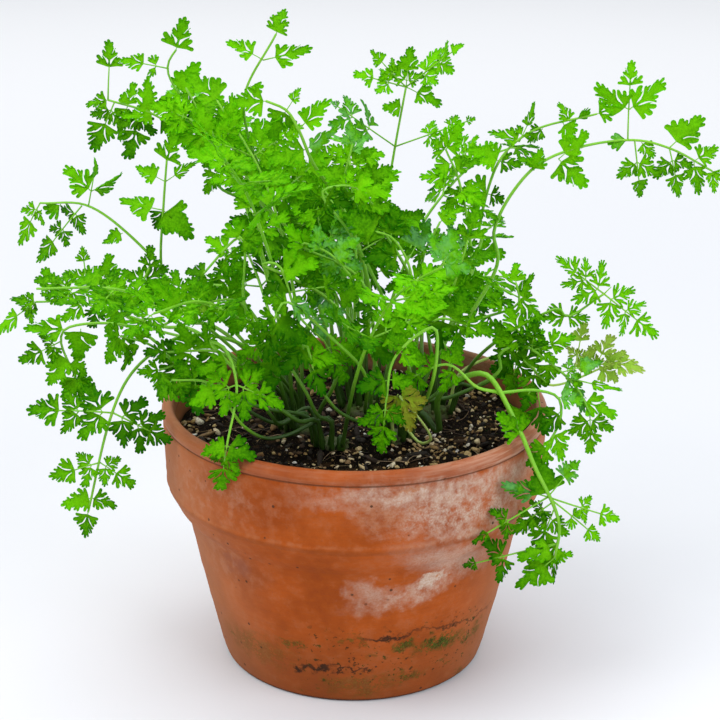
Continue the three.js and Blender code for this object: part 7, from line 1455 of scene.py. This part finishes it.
class Mat:
    """A node material and the few kinds of node these surfaces use."""

    def __init__(self, name):
        self.m = bpy.data.materials.new(name)
        self.m.use_nodes = True
        self.t = self.m.node_tree
        self.t.nodes.clear()
        self.out = self.t.nodes.new("ShaderNodeOutputMaterial")
        self.coord = None

    def put(self, socket, value):
        if isinstance(value, Val):
            self.t.links.new(value.s, socket)
        elif value is not None:
            if isinstance(value, (tuple, list)) and len(value) == 3 and socket.type == "RGBA":
                value = tuple(value) + (1.0,)
            socket.default_value = value

    def op(self, kind, a, b=None, c=None, clamp=False):
        n = self.t.nodes.new("ShaderNodeMath")
        n.operation, n.use_clamp = kind, clamp
        for i, x in enumerate((a, b, c)):
            self.put(n.inputs[i], x)
        return Val(self, n.outputs[0])

    def object_point(self):
        """The point in millimetres, in the object's own frame."""
        if self.coord is None:
            n = self.t.nodes.new("ShaderNodeTexCoord")
            v = self.t.nodes.new("ShaderNodeVectorMath")
            v.operation = "SCALE"
            self.t.links.new(n.outputs["Object"], v.inputs[0])
            v.inputs["Scale"].default_value = 1000.0
            self.coord = Val(self, v.outputs[0])
        return self.coord

    def xyz(self, v):
        n = self.t.nodes.new("ShaderNodeSeparateXYZ")
        self.put(n.inputs[0], v)
        return [Val(self, o) for o in n.outputs]

    def vec(self, x, y, z):
        n = self.t.nodes.new("ShaderNodeCombineXYZ")
        for i, v in enumerate((x, y, z)):
            self.put(n.inputs[i], v)
        return Val(self, n.outputs[0])

    def attr(self, name):
        n = self.t.nodes.new("ShaderNodeAttribute")
        n.attribute_type, n.attribute_name = "GEOMETRY", name
        return Val(self, n.outputs["Fac"])

    def noise(self, size, detail=2.0, rough=0.5, point=None, twist=0.0):
        """Noise from about 0 to 1 with features about `size` millimetres."""
        n = self.t.nodes.new("ShaderNodeTexNoise")
        self.put(n.inputs["Vector"], point if point is not None else self.object_point())
        n.inputs["Scale"].default_value = 1.0 / size
        n.inputs["Detail"].default_value = detail
        n.inputs["Roughness"].default_value = rough
        n.inputs["Distortion"].default_value = twist
        return Val(self, n.outputs["Fac"])

    def cells(self, size, point=None, feature="F1", kind="Distance", spread=1.0):
        n = self.t.nodes.new("ShaderNodeTexVoronoi")
        n.feature = feature
        self.put(n.inputs["Vector"], point if point is not None else self.object_point())
        n.inputs["Scale"].default_value = 1.0 / size
        if "Randomness" in n.inputs:
            n.inputs["Randomness"].default_value = spread
        return Val(self, n.outputs[kind])

    def step(self, x, lo, hi, a=0.0, b=1.0):
        """Smoothly from a to b while x goes from lo to hi."""
        n = self.t.nodes.new("ShaderNodeMapRange")
        n.interpolation_type = "SMOOTHSTEP"
        self.put(n.inputs["Value"], x)
        flip = lo > hi
        if flip:
            lo, hi, a, b = hi, lo, b, a
        n.inputs["From Min"].default_value, n.inputs["From Max"].default_value = lo, hi
        n.inputs["To Min"].default_value, n.inputs["To Max"].default_value = a, b
        return Val(self, n.outputs["Result"])

    def mix(self, f, a, b, how="MIX"):
        n = self.t.nodes.new("ShaderNodeMix")
        n.data_type, n.blend_type, n.clamp_factor = "RGBA", how, True
        self.put(n.inputs[0], f)
        self.put(n.inputs[6], a)
        self.put(n.inputs[7], b)
        return Val(self, n.outputs[2])

    def ramp(self, f, stops):
        n = self.t.nodes.new("ShaderNodeValToRGB")
        self.put(n.inputs[0], f)
        e = n.color_ramp.elements
        while len(e) < len(stops):
            e.new(0.5)
        for i, (p, c) in enumerate(stops):
            e[i].position = p
            e[i].color = tuple(c) + (1.0,)
        return Val(self, n.outputs[0])

    def bump(self, height, depth, strength=1.0, before=None):
        """Height from 0 to 1 as relief `depth` millimetres deep."""
        n = self.t.nodes.new("ShaderNodeBump")
        n.inputs["Strength"].default_value = strength
        n.inputs["Distance"].default_value = depth * MM
        self.put(n.inputs["Height"], height)
        if before is not None:
            self.put(n.inputs["Normal"], before)
        return Val(self, n.outputs[0])

    def principled(self, colour, rough, normal=None, specular=0.5, **more):
        n = self.t.nodes.new("ShaderNodeBsdfPrincipled")
        self.put(n.inputs["Base Color"], colour)
        self.put(n.inputs["Roughness"], rough)
        n.inputs["Specular IOR Level"].default_value = specular
        if normal is not None:
            self.put(n.inputs["Normal"], normal)
        for k, v in more.items():
            self.put(n.inputs[k.replace("_", " ")], v)
        return n

    def done(self, shader):
        self.t.links.new(shader.outputs[0], self.out.inputs["Surface"])
        return self.m

    def blob(self, u, v, cu, cv, wu, wv, lean=0.0, soft=0.5):
        """1 inside an ellipse on the (u, v) surface, 0 outside, with a soft edge."""
        c, s = math.cos(math.radians(lean)), math.sin(math.radians(lean))
        du, dv = u - cu, v - cv
        a = (du * c + dv * s) * (1.0 / wu)
        b = (dv * c - du * s) * (1.0 / wv)
        d = self.op("SQRT", a * a + b * b)
        return self.step(d, 1.0 + soft, 1.0 - soft)

    def either(self, a, b):
        return self.op("MAXIMUM", a, b)


def leaf_material(name, top, deep, under, pale_c, pale_d, glow, glow_pale, aged=0.0):
    """A thin, veined leaf blade, or with aged above 0 one that has yellowed."""
    g = Mat(name)
    vein, reach, low, tone, pale, blue = (g.attr(k) for k in ("vein", "reach", "under", "tone", "pale", "blue"))
    cloud = g.noise(26, 2, 0.5)
    patch = g.noise(5.5, 3, 0.6)
    grain = g.noise(0.55, 2, 0.6)
    net = g.cells(0.85, feature="DISTANCE_TO_EDGE")
    net = g.step(net, 0.16, 0.0)
    light = g.op("ADD", tone * 0.42 + 0.45 + (cloud - 0.5) * 0.9 + (patch - 0.5) * 0.6 + (g.noise(0.9, 2, 0.6) - 0.5) * 1.1, 0.0, clamp=True)
    green = g.mix(light, deep, top)
    yellow = g.mix(light, pale_d, pale_c)
    c = g.mix(pale, green, yellow)
    # the vein network and the grain of the cells
    c = g.mix(net * 0.12, c, g.mix(0.5, c, (0.20, 0.66, 0.003)))
    c = g.mix((grain - 0.5) * 0.5, c, g.mix(0.7, c, (0.02, 0.10, 0.003)))
    c = g.mix(vein * g.step(light, 0.0, 0.8, 0.22, 0.50) * g.step(reach, 1.05, 0.2, 0.35, 1.0), c, (0.29, 0.78, 0.006))
    # the joint of the leaflet with its stalk is paler
    c = g.mix(g.step(reach, 0.16, 0.0) * 0.4, c, (0.26, 0.72, 0.006))
    if aged:
        # yellow from the tips inwards, brown at the very edge
        dry = g.step(reach + (patch - 0.5) * 0.9, 0.80, 1.15)
        c = g.mix(dry * aged, c, (0.42, 0.26, 0.06))
        c = g.mix(g.step(patch, 0.60, 0.74) * 0.6 * aged, c, (0.20, 0.30, 0.02))
    c = g.mix(low * 0.5, c, g.mix(0.65, c, under))
    # painted sheen: a pale bluish reflection of the bright surroundings painted on a few leaves
    c = g.mix(blue * g.step(patch, 0.42, 0.62, 0.02, 0.36), c, (0.27, 0.64, 0.33))
    relief = g.bump(net * -0.35 + grain * 0.5 + patch * 3.0, 0.22, 0.8)
    relief = g.bump(vein, -0.6, 0.85, before=relief)
    rough = g.step(patch, 0.3, 0.7, 0.50, 0.64) + low * 0.12
    p = g.principled(c, rough, relief, specular=0.035)
    n = g.t.nodes.new("ShaderNodeBsdfTranslucent")
    through = g.mix(pale, g.mix(light, glow, tuple(min(1, x * 1.35) for x in glow)), glow_pale)
    through = g.mix(vein * 0.45, through, g.mix(0.6, through, (0.05, 0.16, 0.01)))
    g.put(n.inputs["Color"], through)
    mixer = g.t.nodes.new("ShaderNodeMixShader")
    mixer.inputs[0].default_value = 0.35
    g.t.links.new(p.outputs[0], mixer.inputs[1])
    g.t.links.new(n.outputs[0], mixer.inputs[2])
    return g.done(mixer)


def stem_material(name, light, dark, base):
    """A grooved green leaf stalk that turns to `base` low down near the middle of the clump, painted shade for the
    green stalks.
    """
    g = Mat(name)
    point = g.object_point()
    x, y, z = g.xyz(point)
    streak = g.noise(1.0, 2, 0.6, point=g.vec(x * 2.2, y * 2.2, z * 0.10))
    cloud = g.noise(18, 2, 0.5)
    tone, around, pale = g.attr("tone"), g.attr("around"), g.attr("pale")
    f = g.op("ADD", streak * 0.9 + (cloud - 0.5) * 0.7 + tone * 0.12, 0.0, clamp=True)
    c = g.mix(f, dark, light)
    # painted shade: low down and near the middle of the clump the stalks turn to `base`, dark for the green stalks
    # where the leaves hide them
    c = g.mix(g.step(z, 148, 112) * g.step(g.op("SQRT", x * x + y * y), 66, 54) * 0.94, c, base)
    c = g.mix(pale * 0.4, c, (0.50, 0.60, 0.12))
    relief = g.bump(streak, 0.16, 0.6)
    p = g.principled(c, g.step(streak, 0.3, 0.7, 0.34, 0.50), relief, specular=0.4, Subsurface_Weight=0.12, Subsurface_Scale=0.0015)
    p.inputs["Subsurface Radius"].default_value = (0.6, 1.0, 0.2)
    return g.done(p)


def terracotta_material():
    """Fired clay with lime bloom, damp and moss, as a pot weathers outdoors, with painted reflection at its sides and
    painted shade in the groove under the lip, under the band and where it stands.
    """
    g = Mat("terracotta")
    point = g.object_point()
    x, y, z = g.xyz(point)
    deg = g.op("ARCTAN2", x, y * -1.0) * (180 / math.pi)
    r = g.op("SQRT", x * x + y * y)
    # coordinates on the wall, bent by noise so that no mark has a straight edge
    w1, w2 = g.noise(7, 4, 0.6), g.noise(6, 4, 0.6, point=g.vec(x + 91.0, y - 37.0, z + 13.0))
    u, v = deg + (w1 - 0.5) * 17.0, z + (w2 - 0.5) * 17.0
    fine = g.noise(0.9, 3, 0.65)
    mid = g.noise(4.2, 4, 0.6)
    big = g.noise(24, 3, 0.55)
    brush = g.noise(1.0, 3, 0.6, point=g.vec(x * 0.05, y * 0.05, z * 0.85))     # turning lines
    pits = g.step(g.cells(1.9, spread=1.0), 0.17, 0.07)
    # clay
    clay = g.mix(g.step(big, 0.35, 0.65), (0.300, 0.054, 0.0055), (0.425, 0.082, 0.0085))
    clay = g.mix(g.step(mid, 0.30, 0.75) * 0.40, clay, (0.44, 0.098, 0.012))
    clay = g.mix(g.step(brush, 0.35, 0.7) * 0.20, clay, (0.26, 0.058, 0.011))
    clay = g.mix(g.step(fine, 0.52, 0.75) * 0.22, clay, (0.22, 0.052, 0.012))
    # painted reflection: the wall is painted pinker and greyer to both sides and to the back, where the pale
    # surroundings would show at grazing angles, and browner at the middle
    side = g.step(g.op("ABSOLUTE", deg - 4.0), 26, 74)
    clay = g.mix(side * 0.58, clay, (0.45, 0.195, 0.090))
    band = g.step(z, 78.6, 80.2)
    body = g.step(z, 79.0, 76.5)
    outer = g.step(r, 53, 54.2)
    # lime bloom: a thin veil nearly everywhere, thick in patches
    veil = g.step(mid + (big - 0.5) * 0.8, 0.46, 0.80) * 0.06
    chalk = (g.blob(u, v, 29, 100.0, 34, 5.6, -2, 0.75) * g.step(mid, 0.16, 0.66)) * 0.9
    chalk2 = g.blob(u, v, 33, 90.5, 23, 8.5, -6, 0.75) * g.step(mid + (fine - 0.5) * 0.25, 0.22, 0.70) * 0.9
    chalk3 = g.blob(u, v, 36, 82.5, 19, 4.0, -10, 0.75) * g.step(mid, 0.24, 0.66) * 0.7
    veil2 = g.blob(u, v, 33, 68.0, 17, 6.4, -24, 0.85) * 0.62
    streak = g.blob(u, v, 22, 55.0, 19, 4.4, 18, 0.8) * g.step(mid, 0.20, 0.68) * 0.72
    bright = g.blob(u, v, 26, 58.6, 6.5, 2.3, 16, 0.6)
    cloud = g.blob(u, v, 5.5, 55.5, 7.0, 5.0, -40, 0.7) * 0.5
    left = g.blob(u, v, -48, 92, 26, 11, 4, 0.7) * g.step(mid, 0.38, 0.70) * 0.20
    left2 = g.blob(u, v, -50, 60, 22, 14, 0, 0.8) * g.step(mid, 0.40, 0.72) * 0.14
    back = g.step(g.op("ABSOLUTE", deg), 105, 150) * g.step(mid + (big - 0.5) * 1.2, 0.45, 0.72) * 0.6
    lime = veil
    for m in (chalk, chalk2, chalk3, veil2, streak, bright, cloud, left, left2, back):
        lime = g.either(lime, m)
    lime = lime * outer
    c = g.mix(lime * 0.94, clay, g.mix(g.step(fine, 0.3, 0.7), (0.50, 0.330, 0.235), (0.63, 0.500, 0.410)))
    # orange-brown islands where the bloom has been rubbed off
    rub = g.either(g.blob(u, v, 5, 92.4, 9, 5, 0, 0.6), g.blob(u, v, 16.3, 104.0, 5.0, 1.2, 3, 0.4))
    rub = g.either(rub, g.step(g.noise(3.1, 3, 0.6, point=g.vec(x - 50.0, y + 20.0, z)), 0.60, 0.68) * 0.75)
    c = g.mix(rub * lime * 0.85, c, (0.43, 0.135, 0.030))
    # the lip: smooth, greyer and pinker
    lip = g.step(z, 105.6, 107.2) * outer
    c = g.mix(lip * g.step(deg, 0, 44, 0.14, 0.62), c, g.mix(g.step(brush, 0.4, 0.65), (0.33, 0.130, 0.075), (0.52, 0.31, 0.215)))
    # painted shade: a dark line in the groove under the lip
    groove = g.step(g.op("ABSOLUTE", z - 106.15), 0.55, 0.1) * outer
    c = g.mix(groove * 0.75, c, (0.10, 0.035, 0.016))
    # a pale line on the lower edge of the band, partly chalk on the edge and partly a painted highlight, and a painted
    # shadow right under it
    edge = g.step(g.op("ABSOLUTE", z - 80.2), 1.3, 0.2) * outer * g.step(mid, 0.35, 0.6)
    c = g.mix(edge * 0.14, c, (0.52, 0.26, 0.14))
    c = g.mix(g.step(g.op("ABSOLUTE", z - 78.0), 2.0, 0.4) * outer * 0.22, c, (0.16, 0.045, 0.012))
    # darker towards the foot, and moss near it
    foot = g.step(z, 46, 6) * outer
    c = g.mix(foot * 0.34, c, (0.15, 0.062, 0.024))
    wall = body * outer
    dark = g.blob(u, v, 13, 33.4, 9.5, 1.0, 4, 0.7)
    dark = g.either(dark, g.blob(u, v, 41, 32.0, 22, 0.8, -5, 0.8) * 0.7)
    dark = g.either(dark, g.blob(u, v, -22.2, 15.2, 1.6, 2.2, 20, 0.5))
    dark = g.either(dark, g.blob(u, v, -13.5, 16.6, 7.0, 1.3, 7, 0.6))
    dark = g.either(dark, g.blob(u, v, -2.4, 17.6, 5.4, 0.6, -20, 0.6) * 0.9)
    dark = g.either(dark, g.blob(u, v, 4, 17.0, 2.0, 0.6, 30, 0.6) * 0.8)
    c = g.mix(dark * wall * 0.92, c, (0.026, 0.014, 0.007))
    # small dark stains strewn over the front of the foot
    strewn = g.step(g.noise(2.3, 3, 0.65), 0.600, 0.650) * g.step(z, 6, 12) * g.step(z, 42, 33) * g.step(deg, -34, -12) * g.step(deg, 64, 52)
    c = g.mix(strewn * wall * 0.85, c, g.mix(g.step(mid, 0.45, 0.60), (0.045, 0.022, 0.007), (0.022, 0.042, 0.004)))
    moss = g.blob(u, v, 35.3, 24.5, 9.0, 4.4, -8, 0.6)
    moss = g.either(moss, g.blob(u, v, 20.1, 28.0, 4.6, 2.6, 5, 0.6) * 0.9)
    moss = g.either(moss, g.blob(u, v, 53.0, 21.9, 6.5, 3.4, 0, 0.7) * 0.8)
    moss = g.either(moss, g.blob(u, v, 23.8, 10.9, 6.0, 2.4, 0, 0.7) * 0.75)
    moss = g.either(moss, g.blob(u, v, -23.3, 27.9, 5.5, 2.2, 0, 0.7) * 0.7)
    moss = g.either(moss, g.blob(u, v, -0.7, 32.2, 3.6, 1.7, 0, 0.7) * 0.6)
    moss = g.either(moss, g.blob(u, v, -42, 20, 14, 6.0, 0, 0.8) * 0.4)
    moss = g.either(moss, g.step(g.noise(13, 4, 0.62, point=g.vec(x * 1.0, y * 1.0, z * 1.9 + 31.0)), 0.60, 0.72) * g.step(z, 42, 22) * 0.55)
    haze = g.blob(u, v, 3, 9, 13, 4.5, 0, 0.8) * 0.45
    moss_c = g.mix(g.step(fine, 0.40, 0.68), (0.014, 0.030, 0.003), (0.085, 0.110, 0.010))
    c = g.mix(g.either(moss, haze) * wall * g.step(mid + (fine - 0.5) * 1.1, 0.38, 0.47) * 0.96, c, moss_c)
    # specks of splashed mix
    specks = g.step(g.cells(6.6, spread=1.0), 0.115, 0.075) * g.step(g.noise(19, 2, 0.5) + g.step(deg, -18, -42) * 0.16, 0.50, 0.60)
    c = g.mix(specks * outer * 0.85, c, (0.060, 0.026, 0.014))
    purple = g.blob(u, v, -41.8, 59.3, 4.6, 3.4, 0, 0.8)
    c = g.mix(purple * wall * 0.35, c, (0.19, 0.082, 0.066))
    # a dark line where it stands, painted contact shade, and the damp red-brown inner wall
    c = g.mix(g.step(z, 1.7, 0.5) * 0.8, c, (0.045, 0.022, 0.014))
    inside = g.step(r, 76.4, 75.2) * g.step(z, 84, 86)
    c = g.mix(inside * 0.6, c, g.mix(mid, (0.20, 0.065, 0.022), (0.34, 0.135, 0.055)))
    c = g.mix(inside * g.step(z, 102, 97) * 0.65, c, (0.075, 0.036, 0.020))
    height = mid * 0.30 + fine * 0.35 + brush * 0.45 - pits * 0.8 + lime * 0.5 + moss * 0.7
    relief = g.bump(height, 0.55, 0.55)
    rough = g.op("ADD", g.step(mid, 0.3, 0.7, 0.66, 0.80) + lime * 0.14 - lip * 0.16, 0.0, clamp=True)
    return g.done(g.principled(c, rough, relief, specular=0.10))


def mix_material():
    """Dark, damp bark compost."""
    g = Mat("potting_mix")
    point = g.object_point()
    a = g.noise(3.4, 5, 0.66)
    b = g.noise(0.8, 4, 0.7)
    lumps = g.cells(2.1)
    chips = g.cells(3.6, kind="Color")
    one = g.xyz(chips)[0]
    c = g.ramp(a, [(0.30, (0.0018, 0.0011, 0.0007)), (0.52, (0.0050, 0.0028, 0.0016)), (0.68, (0.0150, 0.0080, 0.0040)), (0.82, (0.0425, 0.0240, 0.0120))])
    c = g.mix(g.step(one, 0.84, 0.88) * 0.45, c, (0.0500, 0.0250, 0.0100))
    c = g.mix(g.step(b, 0.60, 0.78) * 0.6, c, (0.0030, 0.0020, 0.0015))
    c = g.mix(g.step(g.noise(0.5, 2, 0.5), 0.66, 0.73) * 0.8, c, (0.42, 0.30, 0.13))
    relief = g.bump(a * 0.8 + b * 0.6 - lumps * 0.5, 1.3, 0.9)
    return g.done(g.principled(c, g.step(b, 0.3, 0.7, 0.72, 0.94), relief, specular=0.06))


def grain_material():
    """Perlite and pumice: cream to white, dusted with mix."""
    g = Mat("perlite")
    tone = g.attr("tone")
    a, b = g.noise(0.8, 3, 0.65), g.noise(0.3, 2, 0.6)
    c = g.ramp(tone, [(0.0, (0.20, 0.105, 0.035)), (0.28, (0.42, 0.27, 0.10)), (0.62, (0.60, 0.46, 0.235)), (0.86, (0.72, 0.62, 0.43)), (1.0, (0.82, 0.80, 0.76))])
    c = g.mix(g.step(a, 0.46, 0.68) * 0.70, c, (0.13, 0.070, 0.028))
    c = g.mix(g.step(g.cells(0.55), 0.30, 0.12) * 0.4, c, (0.30, 0.22, 0.15))
    relief = g.bump(a * 0.7 + b * 0.5, 0.35, 0.8)
    return g.done(g.principled(c, g.step(b, 0.3, 0.7, 0.70, 0.90), relief, specular=0.35))


def bark_material():
    g = Mat("bark_chips")
    tone = g.attr("tone")
    x, y, z = g.xyz(g.object_point())
    a = g.noise(1.0, 4, 0.65, point=g.vec(x * 0.35, y * 1.6, z * 1.6))
    b = g.noise(0.5, 3, 0.6)
    c = g.ramp(tone, [(0.0, (0.006, 0.0035, 0.002)), (0.55, (0.020, 0.011, 0.006)), (0.84, (0.070, 0.036, 0.015)), (1.0, (0.30, 0.185, 0.080))])
    c = g.mix(g.step(a, 0.4, 0.65) * 0.6, c, g.mix(0.5, c, (0.012, 0.007, 0.004)))
    relief = g.bump(a * 0.7 + b * 0.4, 0.5, 0.9)
    return g.done(g.principled(c, g.step(b, 0.3, 0.7, 0.62, 0.86), relief, specular=0.35))


def fibre_material():
    g = Mat("fibres")
    tone = g.attr("tone")
    a = g.noise(1.2, 3, 0.6)
    c = g.ramp(tone, [(0.0, (0.045, 0.024, 0.012)), (0.6, (0.16, 0.095, 0.048)), (1.0, (0.38, 0.27, 0.155))])
    c = g.mix(g.step(a, 0.45, 0.7) * 0.5, c, (0.03, 0.018, 0.010))
    return g.done(g.principled(c, g.step(a, 0.3, 0.7, 0.55, 0.8), g.bump(a, 0.2, 0.7), specular=0.35))


def crown_material():
    """Old stem bases: green at the top, straw and brown below."""
    g = Mat("root_crown")
    x, y, z = g.xyz(g.object_point())
    tone = g.attr("tone")
    streak = g.noise(1.0, 3, 0.6, point=g.vec(x * 1.7, y * 1.7, z * 0.22))
    a = g.noise(2.4, 4, 0.62)
    c = g.ramp(z * 0.1 - 9.55 + (a - 0.5) * 0.9, [(0.0, (0.014, 0.008, 0.004)), (0.35, (0.035, 0.026, 0.009)), (0.62, (0.050, 0.070, 0.012)), (1.0, (0.045, 0.110, 0.009))])
    c = g.mix(tone * 0.55, c, g.mix(streak, (0.060, 0.040, 0.016), (0.15, 0.11, 0.050)))
    c = g.mix(g.step(streak, 0.5, 0.75) * 0.5, c, (0.07, 0.045, 0.018))
    relief = g.bump(streak * 0.8 + a * 0.4, 0.5, 0.8)
    return g.done(g.principled(c, g.step(a, 0.3, 0.7, 0.5, 0.75), relief, specular=0.35))


# ---------------------------------------------------------------- floor, light and camera
def floor_material():
    g = Mat("studio_floor")
    x, y, z = g.xyz(g.object_point())
    a = g.noise(420, 2, 0.5)
    away = g.op("SQRT", x * x + y * y)
    # painted light: the floor is painted lighter right around the pot's foot, where the pot casts its shade, and much
    # lighter far away, as if more light fell there
    near = g.mix(g.step(away, 110, 290), (0.772, 0.790, 0.826), (0.705, 0.719, 0.748))
    c = g.mix(g.step(away, 380, 1700), near, (0.950, 0.957, 0.968))
    c = g.mix(a * 0.03, c, (0.70, 0.72, 0.76))
    return g.done(g.principled(c, g.step(a, 0.3, 0.7, 0.62, 0.66), specular=0.15))


def build_floor():
    """A large round flat floor, wide enough that no edge shows."""
    soup = Soup()
    rings = [0, 60, 120, 250, 500, 1000, 2000, 4000, 8000]
    seg = 96
    ang = np.arange(seg) * 2 * math.pi / seg
    v = [np.array([[0, 0, 0]])]
    for r in rings[1:]:
        v.append(np.stack([r * np.cos(ang), r * np.sin(ang), np.zeros(seg)], 1))
    t = grid_tris(len(rings) - 1, seg, wrap=True) + 1
    j = np.arange(seg)
    k = (j + 1) % seg
    t = np.vstack([t[:, ::-1], np.stack([np.zeros(seg, int), j + 1, k + 1], 1)])
    v = np.vstack(v)
    a, b, c = v[t[:, 0]], v[t[:, 1]], v[t[:, 2]]
    flip = np.cross(b - a, c - a)[:, 2] < 0
    t[flip] = t[flip][:, ::-1]
    soup.add(v, t, 0)
    ob = soup.build("studio_floor", [floor_material()])


def area_light(name, at, look, size, power, colour=(1, 1, 1), shape="RECTANGLE", size_y=None):
    data = bpy.data.lights.new(name, "AREA")
    data.shape = shape
    data.size = size
    if size_y:
        data.size_y = size_y
    data.energy = power
    data.color = colour
    ob = bpy.data.objects.new(name, data)
    collection.objects.link(ob)
    ob.location = at
    ob.rotation_euler = (Vector(look) - Vector(at)).to_track_quat("-Z", "Y").to_euler()
    return ob


def build_stage():
    build_floor()
    world = bpy.data.worlds.new("studio")
    scene.world = world
    world.use_nodes = True
    t = world.node_tree
    t.nodes.clear()
    bg = t.nodes.new("ShaderNodeBackground")
    out = t.nodes.new("ShaderNodeOutputWorld")
    bg.inputs["Color"].default_value = (0.93, 0.955, 1.0, 1)
    bg.inputs["Strength"].default_value = WORLD
    t.links.new(bg.outputs[0], out.inputs["Surface"])
    area_light("key", (-0.95, -0.55, 1.55), (0, 0, 0.12), 1.3, KEY, (1.0, 0.985, 0.96), size_y=1.1)
    area_light("fill", (1.3, -0.9, 0.95), (0, 0, 0.12), 1.5, FILL, (0.95, 0.975, 1.0), size_y=1.2)
    area_light("back", (0.2, 2.1, 1.5), (0.05, 1.3, 0.0), 2.2, BACK, (0.97, 0.985, 1.0), size_y=1.6)
    area_light("top", (0.1, 0.5, 1.9), (0, 0, 0.1), 1.8, TOP, (1.0, 1.0, 1.0), size_y=1.6)
    scene.view_settings.view_transform = "Standard"
    scene.view_settings.look = "None"
    scene.view_settings.exposure = 0.0
    scene.view_settings.gamma = 1.0


def build_camera():
    el, distance, focal, roll, yaw, pitch = 24.42, 0.800, 1877.0, 0.43, 0.16, 4.62
    e = math.radians(el)
    pos = np.array([0, -distance * math.cos(e), 0.060 + distance * math.sin(e)])
    fwd = np.array([0, math.cos(e), -math.sin(e)])
    right = np.array([1.0, 0, 0])
    up = np.cross(right, fwd)
    y, t = math.radians(yaw), math.radians(pitch)
    fwd = unit(fwd * math.cos(t) * math.cos(y) + right * math.sin(y) + up * math.sin(t) * math.cos(y))
    r = unit(np.cross(fwd, [0, 0, 1.0]))
    u = np.cross(r, fwd)
    a = math.radians(roll)
    right = r * math.cos(a) + u * math.sin(a)
    up = -r * math.sin(a) + u * math.cos(a)
    data = bpy.data.cameras.new("camera")
    data.sensor_width = 36.0
    data.lens = focal * 36.0 / 720.0
    data.clip_start, data.clip_end = 0.01, 60
    data.dof.use_dof = False
    ob = bpy.data.objects.new("camera", data)
    collection.objects.link(ob)
    m = Matrix.Identity(4)
    for i in range(3):
        m[i][0], m[i][1], m[i][2], m[i][3] = right[i], up[i], -fwd[i], pos[i]
    ob.matrix_world = m
    scene.camera = ob


# ---------------------------------------------------------------- assembly
WORLD, KEY, FILL, TOP, BACK = 0.625, 18.0, 12.0, 16.5, 1.0


def piece(ob, slot, *nodes):
    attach(ob, "root")
    if nodes:
        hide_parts(*nodes)
    return ob


LEAF = leaf_material("frond_green", (0.200, 0.820, 0.0012), (0.0075, 0.145, 0.0003), (0.11, 0.44, 0.010),
                     (0.36, 0.66, 0.05), (0.18, 0.54, 0.006), (0.060, 0.52, 0.0008), (0.40, 0.72, 0.03))
LEAF_PALE = leaf_material("frond_pale", (0.50, 0.72, 0.12), (0.34, 0.58, 0.05), (0.44, 0.62, 0.14),
                          (0.56, 0.74, 0.14), (0.40, 0.62, 0.07), (0.50, 0.76, 0.07), (0.56, 0.78, 0.08))
LEAF_OLD = leaf_material("frond_old", (0.52, 0.52, 0.050), (0.26, 0.36, 0.020), (0.42, 0.42, 0.10),
                         (0.62, 0.54, 0.07), (0.42, 0.44, 0.04), (0.54, 0.54, 0.02), (0.62, 0.56, 0.04), aged=0.8)
# the last colour of the green stalks is painted shade low in the clump
STEM = stem_material("stem_green", (0.300, 0.640, 0.034), (0.105, 0.400, 0.007), (0.016, 0.048, 0.004))
STEM_PALE = stem_material("stem_pale", (0.46, 0.66, 0.12), (0.30, 0.54, 0.06), (0.42, 0.56, 0.14))

piece(build_pot().build("terracotta_pot", [terracotta_material()]), "terracotta", "pot")
soil = piece(build_soil().build("soil_surface", [mix_material()]), "potting_mix", "soil")
piece(build_grains().build("perlite_grains", [grain_material()]), "potting_mix")
piece(build_bark().build("bark_pieces", [bark_material()]), "potting_mix")
piece(build_fibres().build("loose_fibres", [fibre_material()]), "potting_mix")
CROWN = crown_material()
for i in range(5):
    piece(build_crown(i).build("crown_%d" % (i + 1), [CROWN]), "root_crown", "root_crown_%d" % (i + 1))

for index, row in enumerate(FRONDS):
    name = row[0]
    slot, leaf, stem = "frond_green", LEAF, STEM
    if name == "frond_pale":
        slot, leaf, stem = "frond_pale", LEAF_PALE, STEM_PALE
    elif name == "frond_old_yellow":
        slot, leaf, stem = "frond_old", LEAF_OLD, STEM_PALE
    piece(build_frond(index, row).build("leafy_" + name, [leaf, stem]), slot, name)

build_stage()
build_camera()

faces = sum(len(o.data.polygons) for o in scene.objects if o.type == "MESH" and o.name.startswith("leafy_"))
total = sum(len(p.vertices) - 2 for o in scene.objects if o.type == "MESH" for p in o.data.polygons)
print("leaf and stem triangles:", faces, "of", total)
